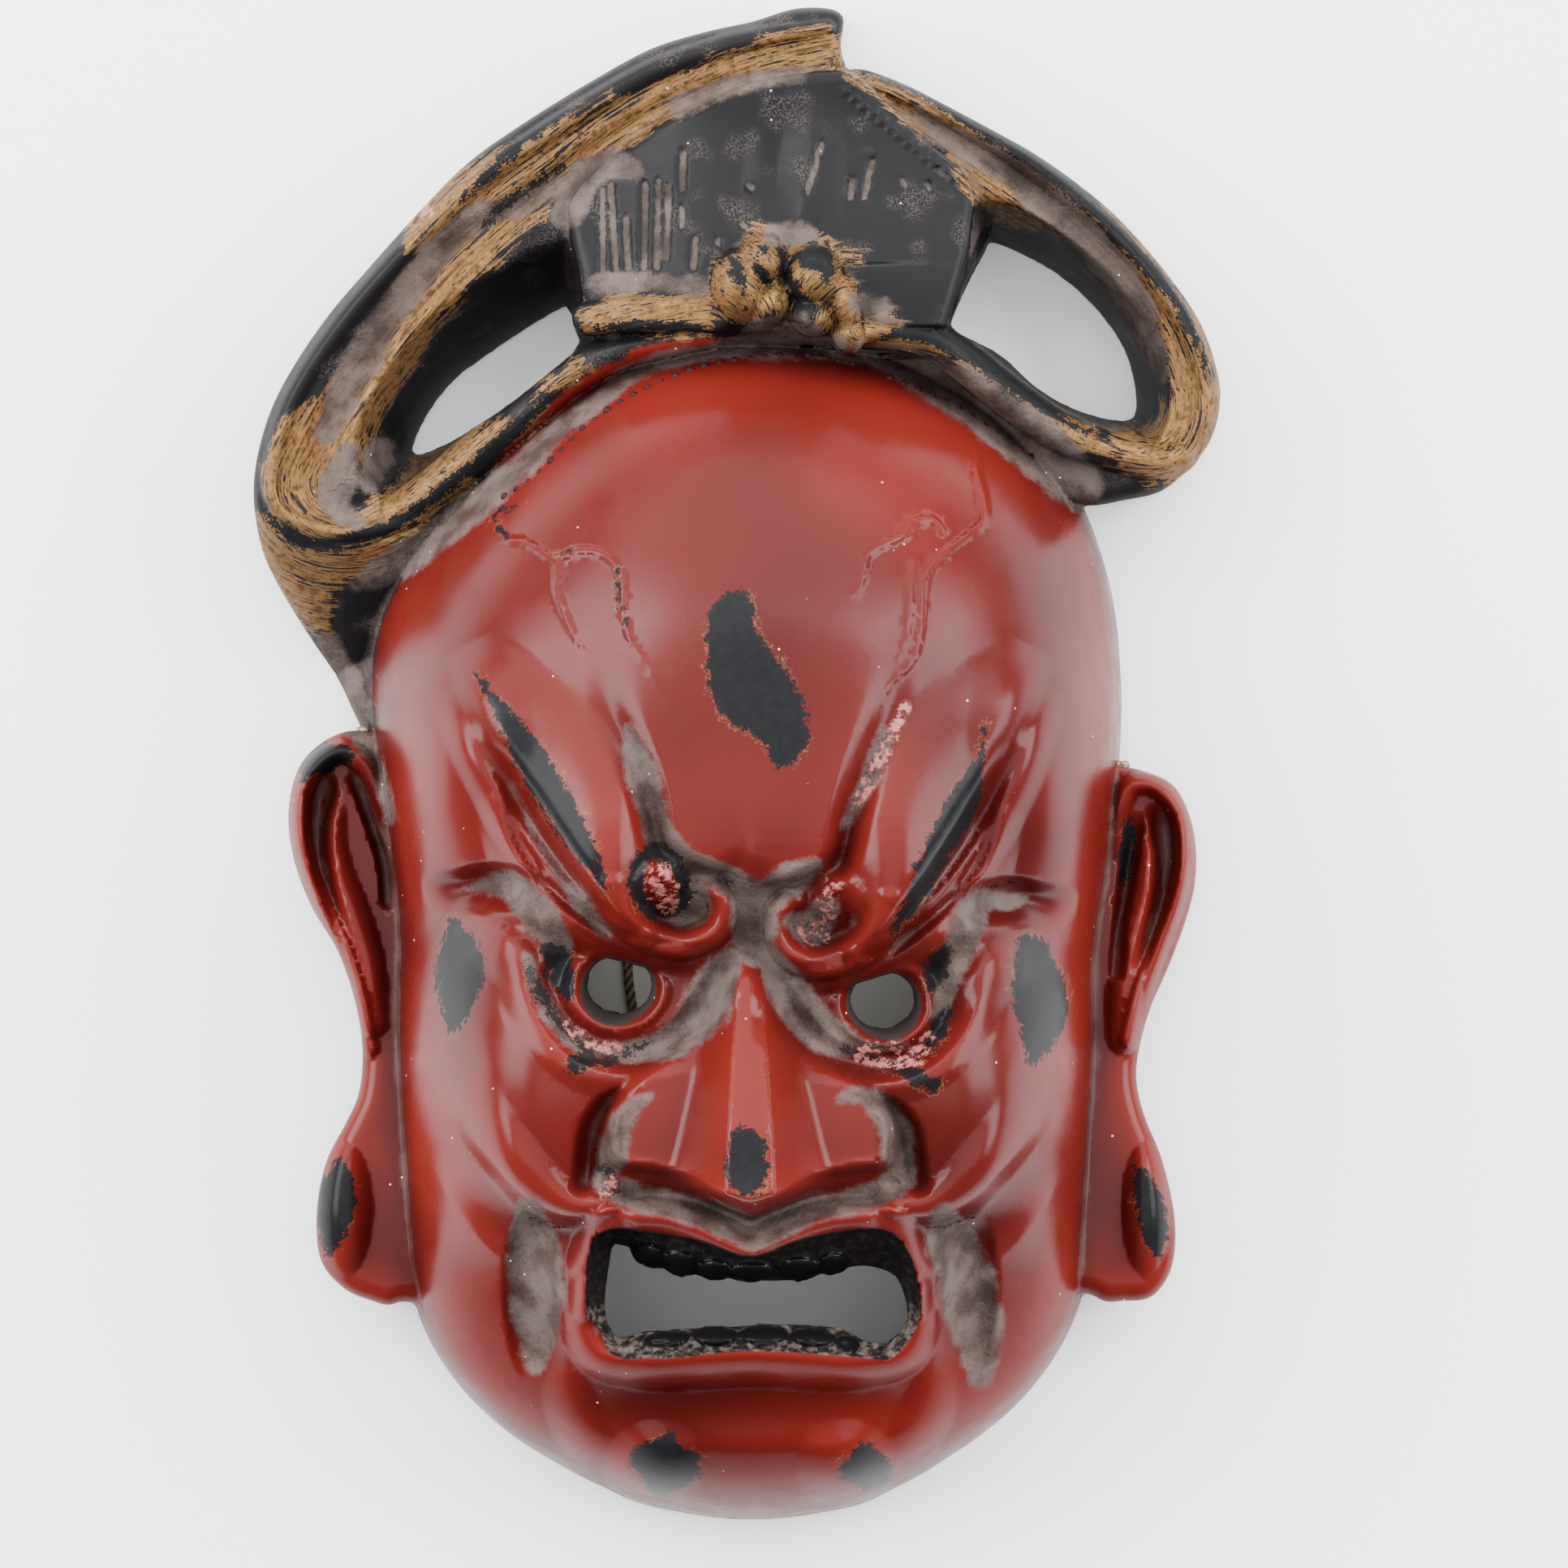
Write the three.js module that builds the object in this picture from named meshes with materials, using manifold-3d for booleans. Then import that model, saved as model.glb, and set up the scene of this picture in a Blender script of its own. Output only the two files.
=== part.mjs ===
// A scowling guardian mask of lacquered shell with long ears, a topknot and a looped ribbon.
// Millimetres. It lies face up on its rim: +Z out of the face, +Y to the crown, +X to the viewer's right.
import * as THREE from 'three';
import Module from 'manifold-3d';
import { mergeVertices } from 'three/addons/utils/BufferGeometryUtils.js';
import { edgeTable, triTable } from 'three/addons/objects/MarchingCubes.js';

// Driving dimensions
const VIEW_HEIGHT = 1300; // outlines are drawn as seen from this height over the rim's plane
const AXIS = -8.4; // the face's middle line in the drawing
const HUB = [-8.8, -36.8]; // centre of the head's outline
const DOME_SCALE = 95; // depth over which the dome's field falls to nothing
const DOME_POWER = 2.2; // roundness of the dome from front to rim
const SHELL_WALL = 6.5;
const LEAST_WALL = 3.2;
const COLLAR = 13; // extra depth of the wall round the mouth
const EAR_TOP = 24;
const EAR_UNDER = 5; // height of an ear's underside at its root
const EAR_UNDER_SLOPE = 0.4;
const EAR_ROOT = 90; // an ear's root lies this far out from the middle line
const EDGE_ROUND = 5;
const NOSE_LENGTH = 60;
const NOSE_RISE = 18;
const WING_RISE = 7.5; // how far a wing of the nose stands over the cheek
const CELL = 2.1; // spacing of the lattice that the form is sampled on
const MASK_TRIANGLES = 8250;
const LEAST_BEND = 4e-5; // share of a form's size under which its planes count as parallel
const LENGTH_COST = 1e-4; // what a long edge adds to the cost of closing it
const SLIVER = 0.04; // a face's doubled area over its longest edge squared is never less
const LEAST_TURN = 0.35; // cosine of the most that a face may turn
const CORD_RADIUS = 1.2;
const CORD_HOLE = 1.9;
const CORD_SIDES = 6;
const CORD_STEPS = 60;
const KNOT_RADIUS = 2.2;
const KNOT_TURNS = 6;
const KNOT_DIP = 0.1; // depth between two turns of the cord, as a share of the radius
const KNOT_ROOM = 0.4;
const BORE_LENGTH = 26;

const smooth = (from, to, x) => {
  const t = Math.min(1, Math.max(0, (x - from) / (to - from)));
  return t * t * (3 - 2 * t);
};

const softMax = (a, b, k) => {
  const t = Math.min(1, Math.max(0, 0.5 + (0.5 * (a - b)) / k));
  return b + (a - b) * t + k * t * (1 - t);
};

const softMin = (a, b, k) => -softMax(-a, -b, k);

// Piecewise straight curve through [place, value] rows, places rising
function along(place, rows) {
  if (place <= rows[0][0]) return rows[0][1];
  for (let i = 1; i < rows.length; i += 1) {
    if (place <= rows[i][0]) {
      const [a, b] = [rows[i - 1], rows[i]];
      return a[1] + ((b[1] - a[1]) * (place - a[0])) / (b[0] - a[0]);
    }
  }
  return rows[rows.length - 1][1];
}

// A smooth line through control rows [u, v, ...values]; every column is carried along
function line(rows, closed = false, per = 6) {
  const at = (i) => {
    if (closed) return rows[(i + rows.length) % rows.length];
    if (i < 0) return rows[0].map((x, c) => 2 * x - rows[1][c]);
    if (i >= rows.length) return rows[i - 1].map((x, c) => 2 * x - rows[i - 2][c]);
    return rows[i];
  };
  const points = [];
  const spans = closed ? rows.length : rows.length - 1;
  for (let i = 0; i < spans; i += 1) {
    const [a, b, c, d] = [at(i - 1), at(i), at(i + 1), at(i + 2)];
    for (let k = 0; k < per; k += 1) {
      const t = k / per;
      points.push(b.map((x, n) => 0.5 * (2 * x + (c[n] - a[n]) * t
        + (2 * a[n] - 5 * x + 4 * c[n] - d[n]) * t * t
        + (3 * x - a[n] - 3 * c[n] + d[n]) * t * t * t)));
    }
  }
  points.push(closed ? points[0] : rows[rows.length - 1]);
  const us = points.map((p) => p[0]);
  const vs = points.map((p) => p[1]);
  const box = [Math.min(...us), Math.min(...vs), Math.max(...us), Math.max(...vs)];
  return { points, box };
}

const beyond = (box, u, v, reach) => u < box[0] - reach || v < box[1] - reach
  || u > box[2] + reach || v > box[3] + reach;

// Nearest point of a line: distance, side (1 on the left of its way) and carried values there
function nearest(path, u, v) {
  let best = Infinity;
  let found = null;
  const { points } = path;
  for (let i = 0; i + 1 < points.length; i += 1) {
    const [a, b] = [points[i], points[i + 1]];
    const [du, dv] = [b[0] - a[0], b[1] - a[1]];
    const size = du * du + dv * dv || 1e-12;
    const t = Math.min(1, Math.max(0, ((u - a[0]) * du + (v - a[1]) * dv) / size));
    const [ou, ov] = [u - a[0] - t * du, v - a[1] - t * dv];
    const far = ou * ou + ov * ov;
    if (far < best) {
      best = far;
      found = [a, b, t, du * ov - dv * ou];
    }
  }
  const [a, b, t, turn] = found;
  return {
    distance: Math.sqrt(best),
    side: turn >= 0 ? 1 : -1,
    value: (n) => a[n] + t * (b[n] - a[n]),
  };
}

// A raised roll along rows [u, v, half width, height]
function ridge(rows, power) {
  const path = line(rows);
  const reach = Math.max(...rows.map((row) => row[2]));
  return (u, v) => {
    if (beyond(path.box, u, v, reach)) return 0;
    const hit = nearest(path, u, v);
    const q = hit.distance / Math.max(hit.value(2), 1e-6);
    return q < 1 ? hit.value(3) * (1 - q * q) ** power : 0;
  };
}

// The same with its own half width on the left and right of the way: [u, v, left, right, height]
function leaningRidge(rows, power) {
  const path = line(rows);
  const reach = Math.max(...rows.map((row) => Math.max(row[2], row[3])));
  return (u, v) => {
    if (beyond(path.box, u, v, reach)) return 0;
    const hit = nearest(path, u, v);
    const q = hit.distance / Math.max(hit.value(hit.side > 0 ? 2 : 3), 1e-6);
    return q < 1 ? hit.value(4) * (1 - q * q) ** power : 0;
  };
}

// An oval swelling of height 1
function swelling([cu, cv], [ru, rv], degrees, power) {
  const turn = THREE.MathUtils.degToRad(degrees);
  const [cos, sin] = [Math.cos(turn), Math.sin(turn)];
  return (u, v) => {
    const [x, y] = [u - cu, v - cv];
    const q = ((x * cos + y * sin) / ru) ** 2 + ((y * cos - x * sin) / rv) ** 2;
    return q < 1 ? (1 - q) ** power : 0;
  };
}

// Signed distance to a closed outline, positive inside, cut off at reach
function region(rows, per = 6, reach = 60) {
  const path = line(rows, true, per);
  return (u, v) => {
    if (beyond(path.box, u, v, reach)) return -reach;
    const { points } = path;
    let odd = false;
    for (let i = 0; i + 1 < points.length; i += 1) {
      const [a, b] = [points[i], points[i + 1]];
      if (a[1] > v !== b[1] > v && u < a[0] + ((v - a[1]) * (b[0] - a[0])) / (b[1] - a[1])) odd = !odd;
    }
    return (odd ? 1 : -1) * nearest(path, u, v).distance;
  };
}

// The head: an egg-shaped dome on its outline
const HEAD_OUTLINE = [
  [78.4, -36.8], [80.4, -6.8], [82.8, 23.2], [80.2, 49.2], [70, 75.2], [49.8, 97.2], [20.8, 112.8],
  [-7.2, 118.8], [-35.2, 113.2], [-61.2, 97.2], [-84.2, 71.2], [-98.2, 47.2], [-101.8, 23.2],
  [-99.8, 1.2], [-96.8, -18.8], [-96.8, -36.8], [-97.6, -56.8], [-96.4, -86.8], [-94.2, -116.8],
  [-87.6, -138.8], [-73.2, -156.8], [-53.2, -169.8], [-29.2, -178], [-6.2, -180.4], [16.8, -177.2],
  [38.8, -168], [58.8, -152.8], [71.2, -134.8], [75.8, -116.8], [77.2, -86.8], [78, -62.8],
];
const DOME_HEIGHTS = line(
  [
    [-180.4, 88], [-126.8, 89], [-86.8, 90], [-44.8, 92], [-14.8, 99], [13.2, 101], [43.2, 101],
    [73.2, 100], [117.2, 98],
  ],
  false, 8).points;
// How far the viewer's right half sits lower than the left half
const LOP = line(
  [
    [-126.8, 0], [-86.8, 2], [-68.8, 15], [-49.8, 25], [-32.8, 18], [-6.8, 15], [21.2, 0], [65.2, 10],
    [133.2, 0],
  ].map(([v, drop]) => [v, drop / 5]),
  false, 8).points;

const outlineRadius = (() => {
  const { points } = line(HEAD_OUTLINE, true, 12);
  const rows = points.slice(0, -1).map(([u, v]) => [
    Math.atan2(v - HUB[1], u - HUB[0]), Math.hypot(u - HUB[0], v - HUB[1])]);
  rows.sort((a, b) => a[0] - b[0]);
  const first = [rows[0][0] + 2 * Math.PI, rows[0][1]];
  const last = [rows[rows.length - 1][0] - 2 * Math.PI, rows[rows.length - 1][1]];
  return (angle) => along(angle, [last, ...rows, first]);
})();

function dome(u, v) {
  const [du, dv] = [u - HUB[0], v - HUB[1]];
  const angle = Math.atan2(dv, du);
  const out = Math.hypot(du, dv) / outlineRadius(angle);
  const power = 3 - 0.35 * Math.max(Math.sin(angle), 0) ** 2 + 1.2 * Math.max(-Math.sin(angle), 0) ** 4;
  return { rim: out ** power, height: along(v, DOME_HEIGHTS) };
}

// Coordinates out from the middle line and up, in which the face's two halves are one drawing
const half = (u, v) => [Math.sqrt((u - AXIS) ** 2 + 0.3), v + along(v, LOP) * smooth(-6, 6, u - AXIS)];

const sum = (list) => (a, b) => list.reduce((total, [scale, shape]) => total + scale * shape(a, b), 0);

const carving = sum([
  // Broad forms of the face
  [4, swelling([0, 41.2], [58, 74], 0, 2)], // forehead
  [6, swelling([76.8, 0.2], [24, 46], 6, 2)], // temple
  [-3.5, swelling([53.8, -3.8], [24, 44], 24, 2)], // hollow outside the brow
  [-10, swelling([29.8, -48.8], [34, 25], 0, 1.6)], // eye socket
  [11, swelling([60.4, -70.8], [33, 50], 12, 1.6)], // cheek
  [-5, swelling([76.8, -86.8], [18, 46], -10, 2)], // hollow outside the cheek
  [-5, swelling([55.8, -124.8], [24, 34], -8, 2)], // hollow of the lower cheek
  [4, swelling([0, -126.8], [60, 34], 0, 2)], // muzzle
  [-4.5, swelling([0, -151.2], [52, 14], 0, 2)], // under the lower lip
  [5.5, swelling([0, -166.8], [52, 24], 0, 2)], // chin
  [-5.5, swelling([0, -32.8], [15, 18], 0, 1.6)], // between the brows
  // Brow, its inner groove and its curl
  [-1, ridge([
    [37.2, 30.2, 5, 0], [34.4, 20.2, 6, 0.8], [29.2, 7.2, 6.4, 2.2], [25.2, -3.8, 6, 3.4],
    [22.4, -14.8, 5.4, 4], [16.4, -20.4, 5, 4], [6.8, -23.8, 4.4, 3.2],
  ], 2)],
  [1, leaningRidge([
    [70.4, 34.2, 6, 10, 0], [64.8, 23.2, 8, 16, 2.5], [56.4, 9.2, 9.5, 21, 5.5],
    [46.8, -6.8, 10, 23, 8.2], [39.6, -17.8, 9.5, 20, 9.8], [35, -26.4, 8, 14, 10],
    [31.2, -32.8, 6.5, 8.5, 8.5], [26.8, -36.4, 5, 5, 4],
  ], 1.5)],
  [-5.5, swelling([17.2, -29.2], [12.5, 9.5], 15, 1.3)], // hollow of the curl
  [1, ridge([
    [34.4, -26.4, 4.6, 1], [31.2, -32.8, 4.8, 4.5], [24.8, -37.2, 4.6, 7], [16.4, -39.2, 4.4, 7.4],
    [9.4, -36.4, 4.2, 7.4], [6.8, -30.8, 3.9, 7], [8.6, -26.4, 3.2, 5.6], [12, -24.8, 2.2, 2],
  ], 0.9)],
  [4, swelling([21.8, -24.8], [7, 9.5], 20, 1.2)], // knob in the curl
  // Folds of the lids and the crease at the temple's foot
  [1, leaningRidge([
    [75.2, 23.2, 5, 5, 0], [65.2, 2.2, 6.5, 5, 2.6], [54.8, -15.2, 6.5, 4.6, 3.8],
    [44.4, -27.6, 6, 4, 4.2], [34.8, -35.2, 5, 3.6, 3.4], [26.8, -39.2, 4, 3, 1.5],
  ], 1.8)],
  [-1, ridge([
    [64.8, 11.2, 3.4, 0], [55.2, -5.8, 4, 2.6], [44.8, -21.2, 3.8, 3.4], [36.8, -31.2, 3.2, 3.2],
    [29.8, -37.2, 2.4, 1.5],
  ], 1.6)],
  [1, leaningRidge([
    [64, -1.8, 5, 3, 0], [58.8, -17.2, 6.4, 4.2, 2.8], [50, -30, 6.4, 4.2, 4.2],
    [39.2, -37.6, 5.6, 4, 5], [28.4, -41.4, 4.8, 3.8, 5], [18.8, -42.8, 4, 3.4, 3.4],
    [10.8, -43.2, 3, 3, 0],
  ], 1.5)],
  [-1, ridge([
    [61.6, -3.8, 2.4, 0], [55.8, -15.8, 2.8, 2.2], [46.8, -26.8, 2.8, 2.8], [37.8, -34.4, 2.4, 2.4],
    [29.8, -38.4, 2, 0.8],
  ], 1.5)],
  [-1, leaningRidge([
    [80.8, -25.6, 5, 4, 0], [71.8, -24.8, 8, 5, 3.5], [62.8, -24, 8.5, 5.5, 5.5],
    [53.8, -26, 7, 5, 4.5], [44.8, -30.8, 4, 4, 1],
  ], 1.6)],
  // Hollow under the eye, the lens beside it and the cheek's upper edge
  [-1, ridge([
    [54.4, -42, 3, 0], [52, -49.8, 4, 2.2], [46.8, -58.4, 4.6, 3.2], [39.4, -64.8, 4.8, 3.6],
    [28.4, -66.8, 4.8, 3.6], [17.2, -61.6, 5, 3.6], [10, -52.8, 5, 3.6], [5.6, -44.8, 4.4, 2.6],
  ], 1.5)],
  [-2.2, swelling([47.6, -46], [4.4, 9.5], 18, 1.3)], // lens beside the eye
  [1, leaningRidge([
    [72.8, -34.8, 7, 5, 0], [64.8, -36.8, 9, 5, 2.4], [56.8, -42.8, 9, 5, 3], [51.2, -54.8, 9, 4.4, 3],
    [44, -66, 8, 4, 2.6], [32.8, -71.2, 7, 4, 1.8], [20.8, -68.8, 6, 4, 0.6],
  ], 1.6)],
  // Cheek's lower fold, the nose's wing and the hook of the nostril
  [1, leaningRidge([
    [71.6, -70.8, 5, 8, 0], [67.2, -82.8, 6, 9, 1.6], [59.6, -93.2, 6, 9, 3],
    [51.2, -101.2, 6, 8, 4.4], [42.4, -104.4, 5.4, 6, 5], [34.4, -102, 4.4, 4, 4],
    [30.4, -99.2, 2.4, 2.4, 0],
  ], 1.4)],
  [-1, leaningRidge([
    [73.6, -86.8, 8, 4, 0], [64, -99.6, 10, 5, 3.4], [55.2, -107.6, 11, 5, 5],
    [44.8, -110.8, 9, 4.6, 4.6], [32.8, -108.4, 5, 4, 2],
  ], 1.5)],
  [1, ridge([
    [32, -75.8, 2, 0], [33.8, -81.6, 2.6, 1], [34, -88, 2.8, 1.4], [32.6, -93.2, 2.8, 1.6],
    [24.8, -94.8, 2.6, 1.2], [15.8, -96.8, 2.4, 0.8], [7.8, -100.8, 2, 0],
  ], 1.5)],
  [-1, ridge([
    [24.8, -74.8, 1.6, 0], [30.8, -76.8, 2.6, 1.6], [36, -79.6, 3.2, 4], [39, -85.2, 3.8, 5.4],
    [39.8, -91.2, 4, 5.6], [40.4, -96, 3.8, 4.8], [42, -99.2, 3, 2], [44.4, -100.8, 2, 0],
  ], 1.3)],
  // Channel under the nose, lips, laugh line and chin
  [-1, ridge([
    [35.8, -100, 3.4, 1.5], [24.8, -101.6, 4.2, 3], [12.8, -104.4, 4.8, 4], [4.8, -108, 5.2, 5],
    [0, -109.6, 5.4, 5.4],
  ], 1.4)],
  [1, ridge([
    [40.4, -128.8, 4.4, 2.5], [40.4, -117.2, 5, 4.6], [36.4, -109.6, 5, 6], [28.8, -106.6, 5, 6.6],
    [18.4, -107.4, 5, 6.6], [8.4, -111, 5.2, 6.8], [0, -115, 5.4, 7],
  ], 1.2)],
  [1, ridge([
    [30.4, -103.2, 2, 0], [18.8, -103.6, 2.4, 1.6], [8.8, -106.6, 2.4, 1.8], [1.8, -110.2, 2, 1],
  ], 1.5)],
  [1, ridge([
    [40.8, -124.8, 4.4, 2.5], [41.6, -134.8, 5, 4.4], [36.8, -141.4, 5.6, 5.6], [24.8, -143.6, 6, 6.6],
    [12.8, -143, 6.4, 7], [0, -142.2, 6.4, 7],
  ], 1.2)],
  [-1, ridge([
    [53.6, -104, 4, 0], [54.4, -114.8, 6.5, 3], [53.8, -126.8, 7.5, 4], [52.6, -136.8, 7.2, 3.6],
    [51.2, -146, 6, 0],
  ], 1.1)],
  [4, swelling([23.6, -168], [13, 12], 0, 1.5)], // chin boss
  [1, ridge([[44, -142, 4, 0], [44.8, -150.8, 7, 1.8], [40, -161.2, 7, 1.8], [32, -166.8, 5, 0]], 1.6)],
]);

const NOSE_ROOT = -42.8;
const NOSE_START = 6;
const NOSE_FOOT = [[0, -104.8], [8, -101.6], [16.8, -98.2], [26.8, -95.8], [36, -94.8]];
function nose(a, b) {
  const down = NOSE_ROOT - b;
  const t = Math.min(1.2, Math.max(0, down / NOSE_LENGTH));
  const bridge = 3.2 + 3 * t; // half width of the flat top
  const foot = 9.5 + 14 * t ** 1.3; // half width where the nose meets the cheeks
  const q = Math.min(1, Math.max(0, (a - bridge) / (foot - bridge)));
  const profile = 0.82 * (1 - q) ** 1.7 + 0.18 * (1 - smooth(0, 1, q));
  const ends = smooth(-5, 3, down) * smooth(-3.2, 0.8, b - along(a, NOSE_FOOT));
  return (NOSE_START + NOSE_RISE * t) * profile * ends;
}

// The nose's sides spread into two flat wings whose outer edges stand over the cheeks
const wing = region([
  [-10, -52.8], [0, -54], [10.8, -59.2], [20.8, -66.4], [28, -72.4], [32.6, -76.8], [34.6, -82.4],
  [34.8, -89.2], [33.4, -93.8], [24.8, -95.4], [15.8, -97.4], [7.8, -101.8], [0, -104.2],
  [-10, -104.2],
], 6, 20);
const wings = (a, b) => WING_RISE * smooth(-1.3, 2.2, wing(a, b)) * smooth(-54, -74, b);

// The forehead swells out over the channel between the brows and ends there in a keel
const VEE_STEP = 2.4;
const KEEL_RISE = 1.3;
const VEE = [
  [0, 81.2], [20.8, 65.2], [35.2, 41.2], [34.4, 23.2], [29.2, 8.2], [24.4, -4.8], [21.2, -15.2],
  [13.8, -20], [0, -24.4],
];
const vee = region([...VEE, ...VEE.slice(1, -1).reverse().map(([a, b]) => [-a, b])], 6, 30);
function forehead(a, b) {
  const edge = vee(a, b);
  const step = VEE_STEP * smooth(29.2, -6.8, b) * (smooth(-1.2, 3, edge) - 0.5);
  return step + KEEL_RISE * Math.exp(-((a / 2) ** 2)) * smooth(-2.8, -21.8, b) * smooth(-0.5, 1, edge);
}

// Each eye: its centre, how far it leans over its depth, and the upper lid's height there and tilt
const EYES = [
  { at: [-40.8, -48.8], lean: [0, -2.4], lid: -43.6, tilt: -0.247 },
  { at: [24.4, -52.8], lean: [0, -2], lid: -47.2, tilt: 0.306 },
];
const EYE_HOLE = [7.6, 6.6];
const EYE_FRONT = [9.4, 8.6];
const LID_RING = [11.2, 10];
const LID_RISE = 2.8;
const LID_WIDTH = 0.16; // in shares of the ring's radius
const belowLid = ({ at, lid, tilt }, u, v) => (lid + tilt * (u - at[0]) - v) / Math.hypot(1, tilt);

function lidRings(u, v) {
  return EYES.reduce((total, eye) => {
    const { at, lean } = eye;
    const q = Math.hypot((u - at[0] - lean[0] / 2) / LID_RING[0], (v - at[1] - lean[1] / 2) / LID_RING[1]);
    const roll = LID_RISE * Math.exp(-(((q - 1) / LID_WIDTH) ** 2));
    return total + roll * smooth(-2, 3, belowLid(eye, u, v));
  }, 0);
}

// Openings of the face
const mouthHole = region([
  [-41.8, -113.2], [-37.2, -114.8], [-33.2, -117.8], [-23.2, -119.8], [-13.2, -121.8], [-1.2, -122.4],
  [8.8, -120.8], [14.8, -119.2], [20.8, -118.8], [26.8, -120.8], [29.2, -124.8], [30.4, -130.8],
  [28.8, -134.8], [24.8, -137.8], [18.8, -136.8], [14.8, -134.4], [2.8, -133.2], [-13.2, -133.8],
  [-33.2, -134.8], [-40.2, -136.4], [-43.6, -132.8], [-44.2, -126.8], [-43.2, -118.8],
]);
const mouthRecess = region([
  [-47.6, -114.8], [-42.8, -110], [-33.2, -110.8], [-21.2, -112.8], [-8.4, -116.8], [3.8, -112.8],
  [18.8, -110], [27.8, -112], [32.4, -122], [32.8, -134.8], [28.8, -141.2], [14.8, -140.4],
  [-8.4, -139.2], [-33.2, -141.2], [-44.2, -139.6], [-48.2, -130.8],
]);
const MOUTH_FLOOR = 72;
const EYE_DEPTHS = [72, 90];

function openings({ hole, recess }, u, v, z) {
  let open = Math.max(hole, Math.min(recess, z - MOUTH_FLOOR - 1.4 * Math.max(-hole, 0)));
  const t = smooth(EYE_DEPTHS[0], EYE_DEPTHS[1], z);
  for (const eye of EYES) {
    const { at, lean } = eye;
    const radius = EYE_HOLE.map((r, n) => r + t * (EYE_FRONT[n] - r));
    const q = Math.hypot((u - at[0] - t * lean[0]) / radius[0], (v - at[1] - t * lean[1]) / radius[1]);
    open = Math.max(open, Math.min(radius[1] * (1 - q), belowLid(eye, u, v)));
  }
  return open;
}

// Slabs: the ears and the headdress are raised from the rim's plane to a top that varies over the drawing
const slab = (side, top, z, round) => {
  const [p, q] = [round - side, round - (top - z)];
  return p > 0 && q > 0 ? round - Math.hypot(p, q) : Math.min(side, top - z);
};

const EARS = [
  {
    outline: region([
      [-105.2, 13.2], [-113.2, 10.8], [-119.6, 4.2], [-122.2, -6.8], [-120.8, -18.8], [-116.2, -30.8],
      [-110.2, -40.8], [-106, -52.8], [-104, -64.8], [-104.8, -75.8], [-108.2, -83.8], [-112.8, -92.8],
      [-115.2, -104.8], [-114.4, -116.8], [-109.2, -123.8], [-102.2, -127.2], [-95.2, -127.8],
      [-85.2, -118.8], [-85.2, -46.8], [-89.2, -6.8], [-97.2, 9.2],
    ]),
    relief: sum([
      [1, ridge([
        [-96, -18.8, 2, 0], [-99.2, -6.8, 2.6, 4], [-102.8, 4.2, 3, 5], [-109.2, 8.2, 3, 6],
        [-115.6, 4.2, 3, 6], [-119.2, -4.8, 2.8, 6], [-118.4, -16.8, 2.6, 6], [-114, -28.8, 2.6, 5.5],
        [-109.2, -39.8, 2.6, 4.5], [-105.2, -52.8, 2.8, 4], [-102.8, -64.8, 3, 3],
      ], 0.8)],
      [-1, ridge([
        [-113.6, 3.2, 3, 0], [-114, -1.8, 4, 5], [-114.8, -10.8, 3.6, 5.5], [-113.6, -20.8, 3, 5],
        [-110.8, -30.8, 2.4, 3], [-107.2, -39.8, 2, 0],
      ], 0.8)],
      [-1, ridge([
        [-106.8, 3.2, 2, 0], [-104, -1.8, 2.4, 4], [-100.8, -10.8, 2.4, 5], [-98.4, -19.8, 2, 5],
        [-97.6, -28.8, 2, 4],
      ], 0.8)],
      [1, ridge([
        [-109.2, -3.8, 2, 0], [-111.2, -10.8, 3, 3], [-110.4, -20.8, 4, 4], [-106.4, -32.8, 4.6, 4.5],
        [-102.8, -44.8, 4.4, 4], [-101.6, -58.8, 4, 3],
      ], 1)],
      [5, swelling([-108.4, -104.8], [7, 17], 0, 1)],
    ]),
  },
  {
    outline: region([
      [81.8, 4.2], [88.8, 3.2], [96.4, -0.8], [100.8, -10.8], [101.4, -22.8], [99.2, -32.8],
      [94.8, -44.8], [90.4, -54.8], [87.6, -64.8], [86.8, -72.8], [88.8, -81.8], [93.2, -92.8],
      [96.2, -106.8], [95.6, -118.8], [90.8, -126.2], [83.8, -127.4], [76.8, -126.4], [66.8, -114.8],
      [66.8, -46.8], [70.8, -6.8], [75.8, 2.2],
    ]),
    relief: sum([
      [1, ridge([
        [81.2, -18.8, 2, 0], [82.4, -6.8, 2.6, 4], [85.2, -0.4, 3, 5], [91.8, -0.4, 3, 6],
        [97.2, -6.8, 3, 6], [98.4, -16.8, 2.8, 6], [96.8, -27.8, 2.6, 5.5], [92.8, -38.8, 2.6, 4.5],
        [88.4, -50.8, 2.8, 4], [85.2, -62.8, 3, 3],
      ], 0.8)],
      [-1, ridge([
        [90.8, -4.8, 3, 0], [93.2, -9.8, 3.6, 5], [94, -18.8, 3.6, 5.5], [92.4, -28.8, 3, 5],
        [89.2, -38.8, 2.4, 3], [86.4, -47.8, 2, 0],
      ], 0.8)],
      [-1, ridge([
        [87.6, -6.8, 2, 0], [86, -12.8, 2.4, 4], [84.4, -22.8, 2.4, 5], [82.8, -34.8, 2, 4],
        [82, -46.8, 2, 3],
      ], 0.8)],
      [1, ridge([
        [89.2, -12.8, 2, 0], [90, -18.8, 3, 3], [88.8, -28.8, 4, 4], [86, -38.8, 4.6, 4.5],
        [84, -50.8, 4.4, 4], [83.6, -62.8, 4, 3],
      ], 1)],
      [5, swelling([89.2, -104.8], [6, 17], 0, 1)],
    ]),
  },
];

const earUnder = (u) => EAR_UNDER + EAR_UNDER_SLOPE * Math.max(0, Math.abs(u - AXIS) - EAR_ROOT);

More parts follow.
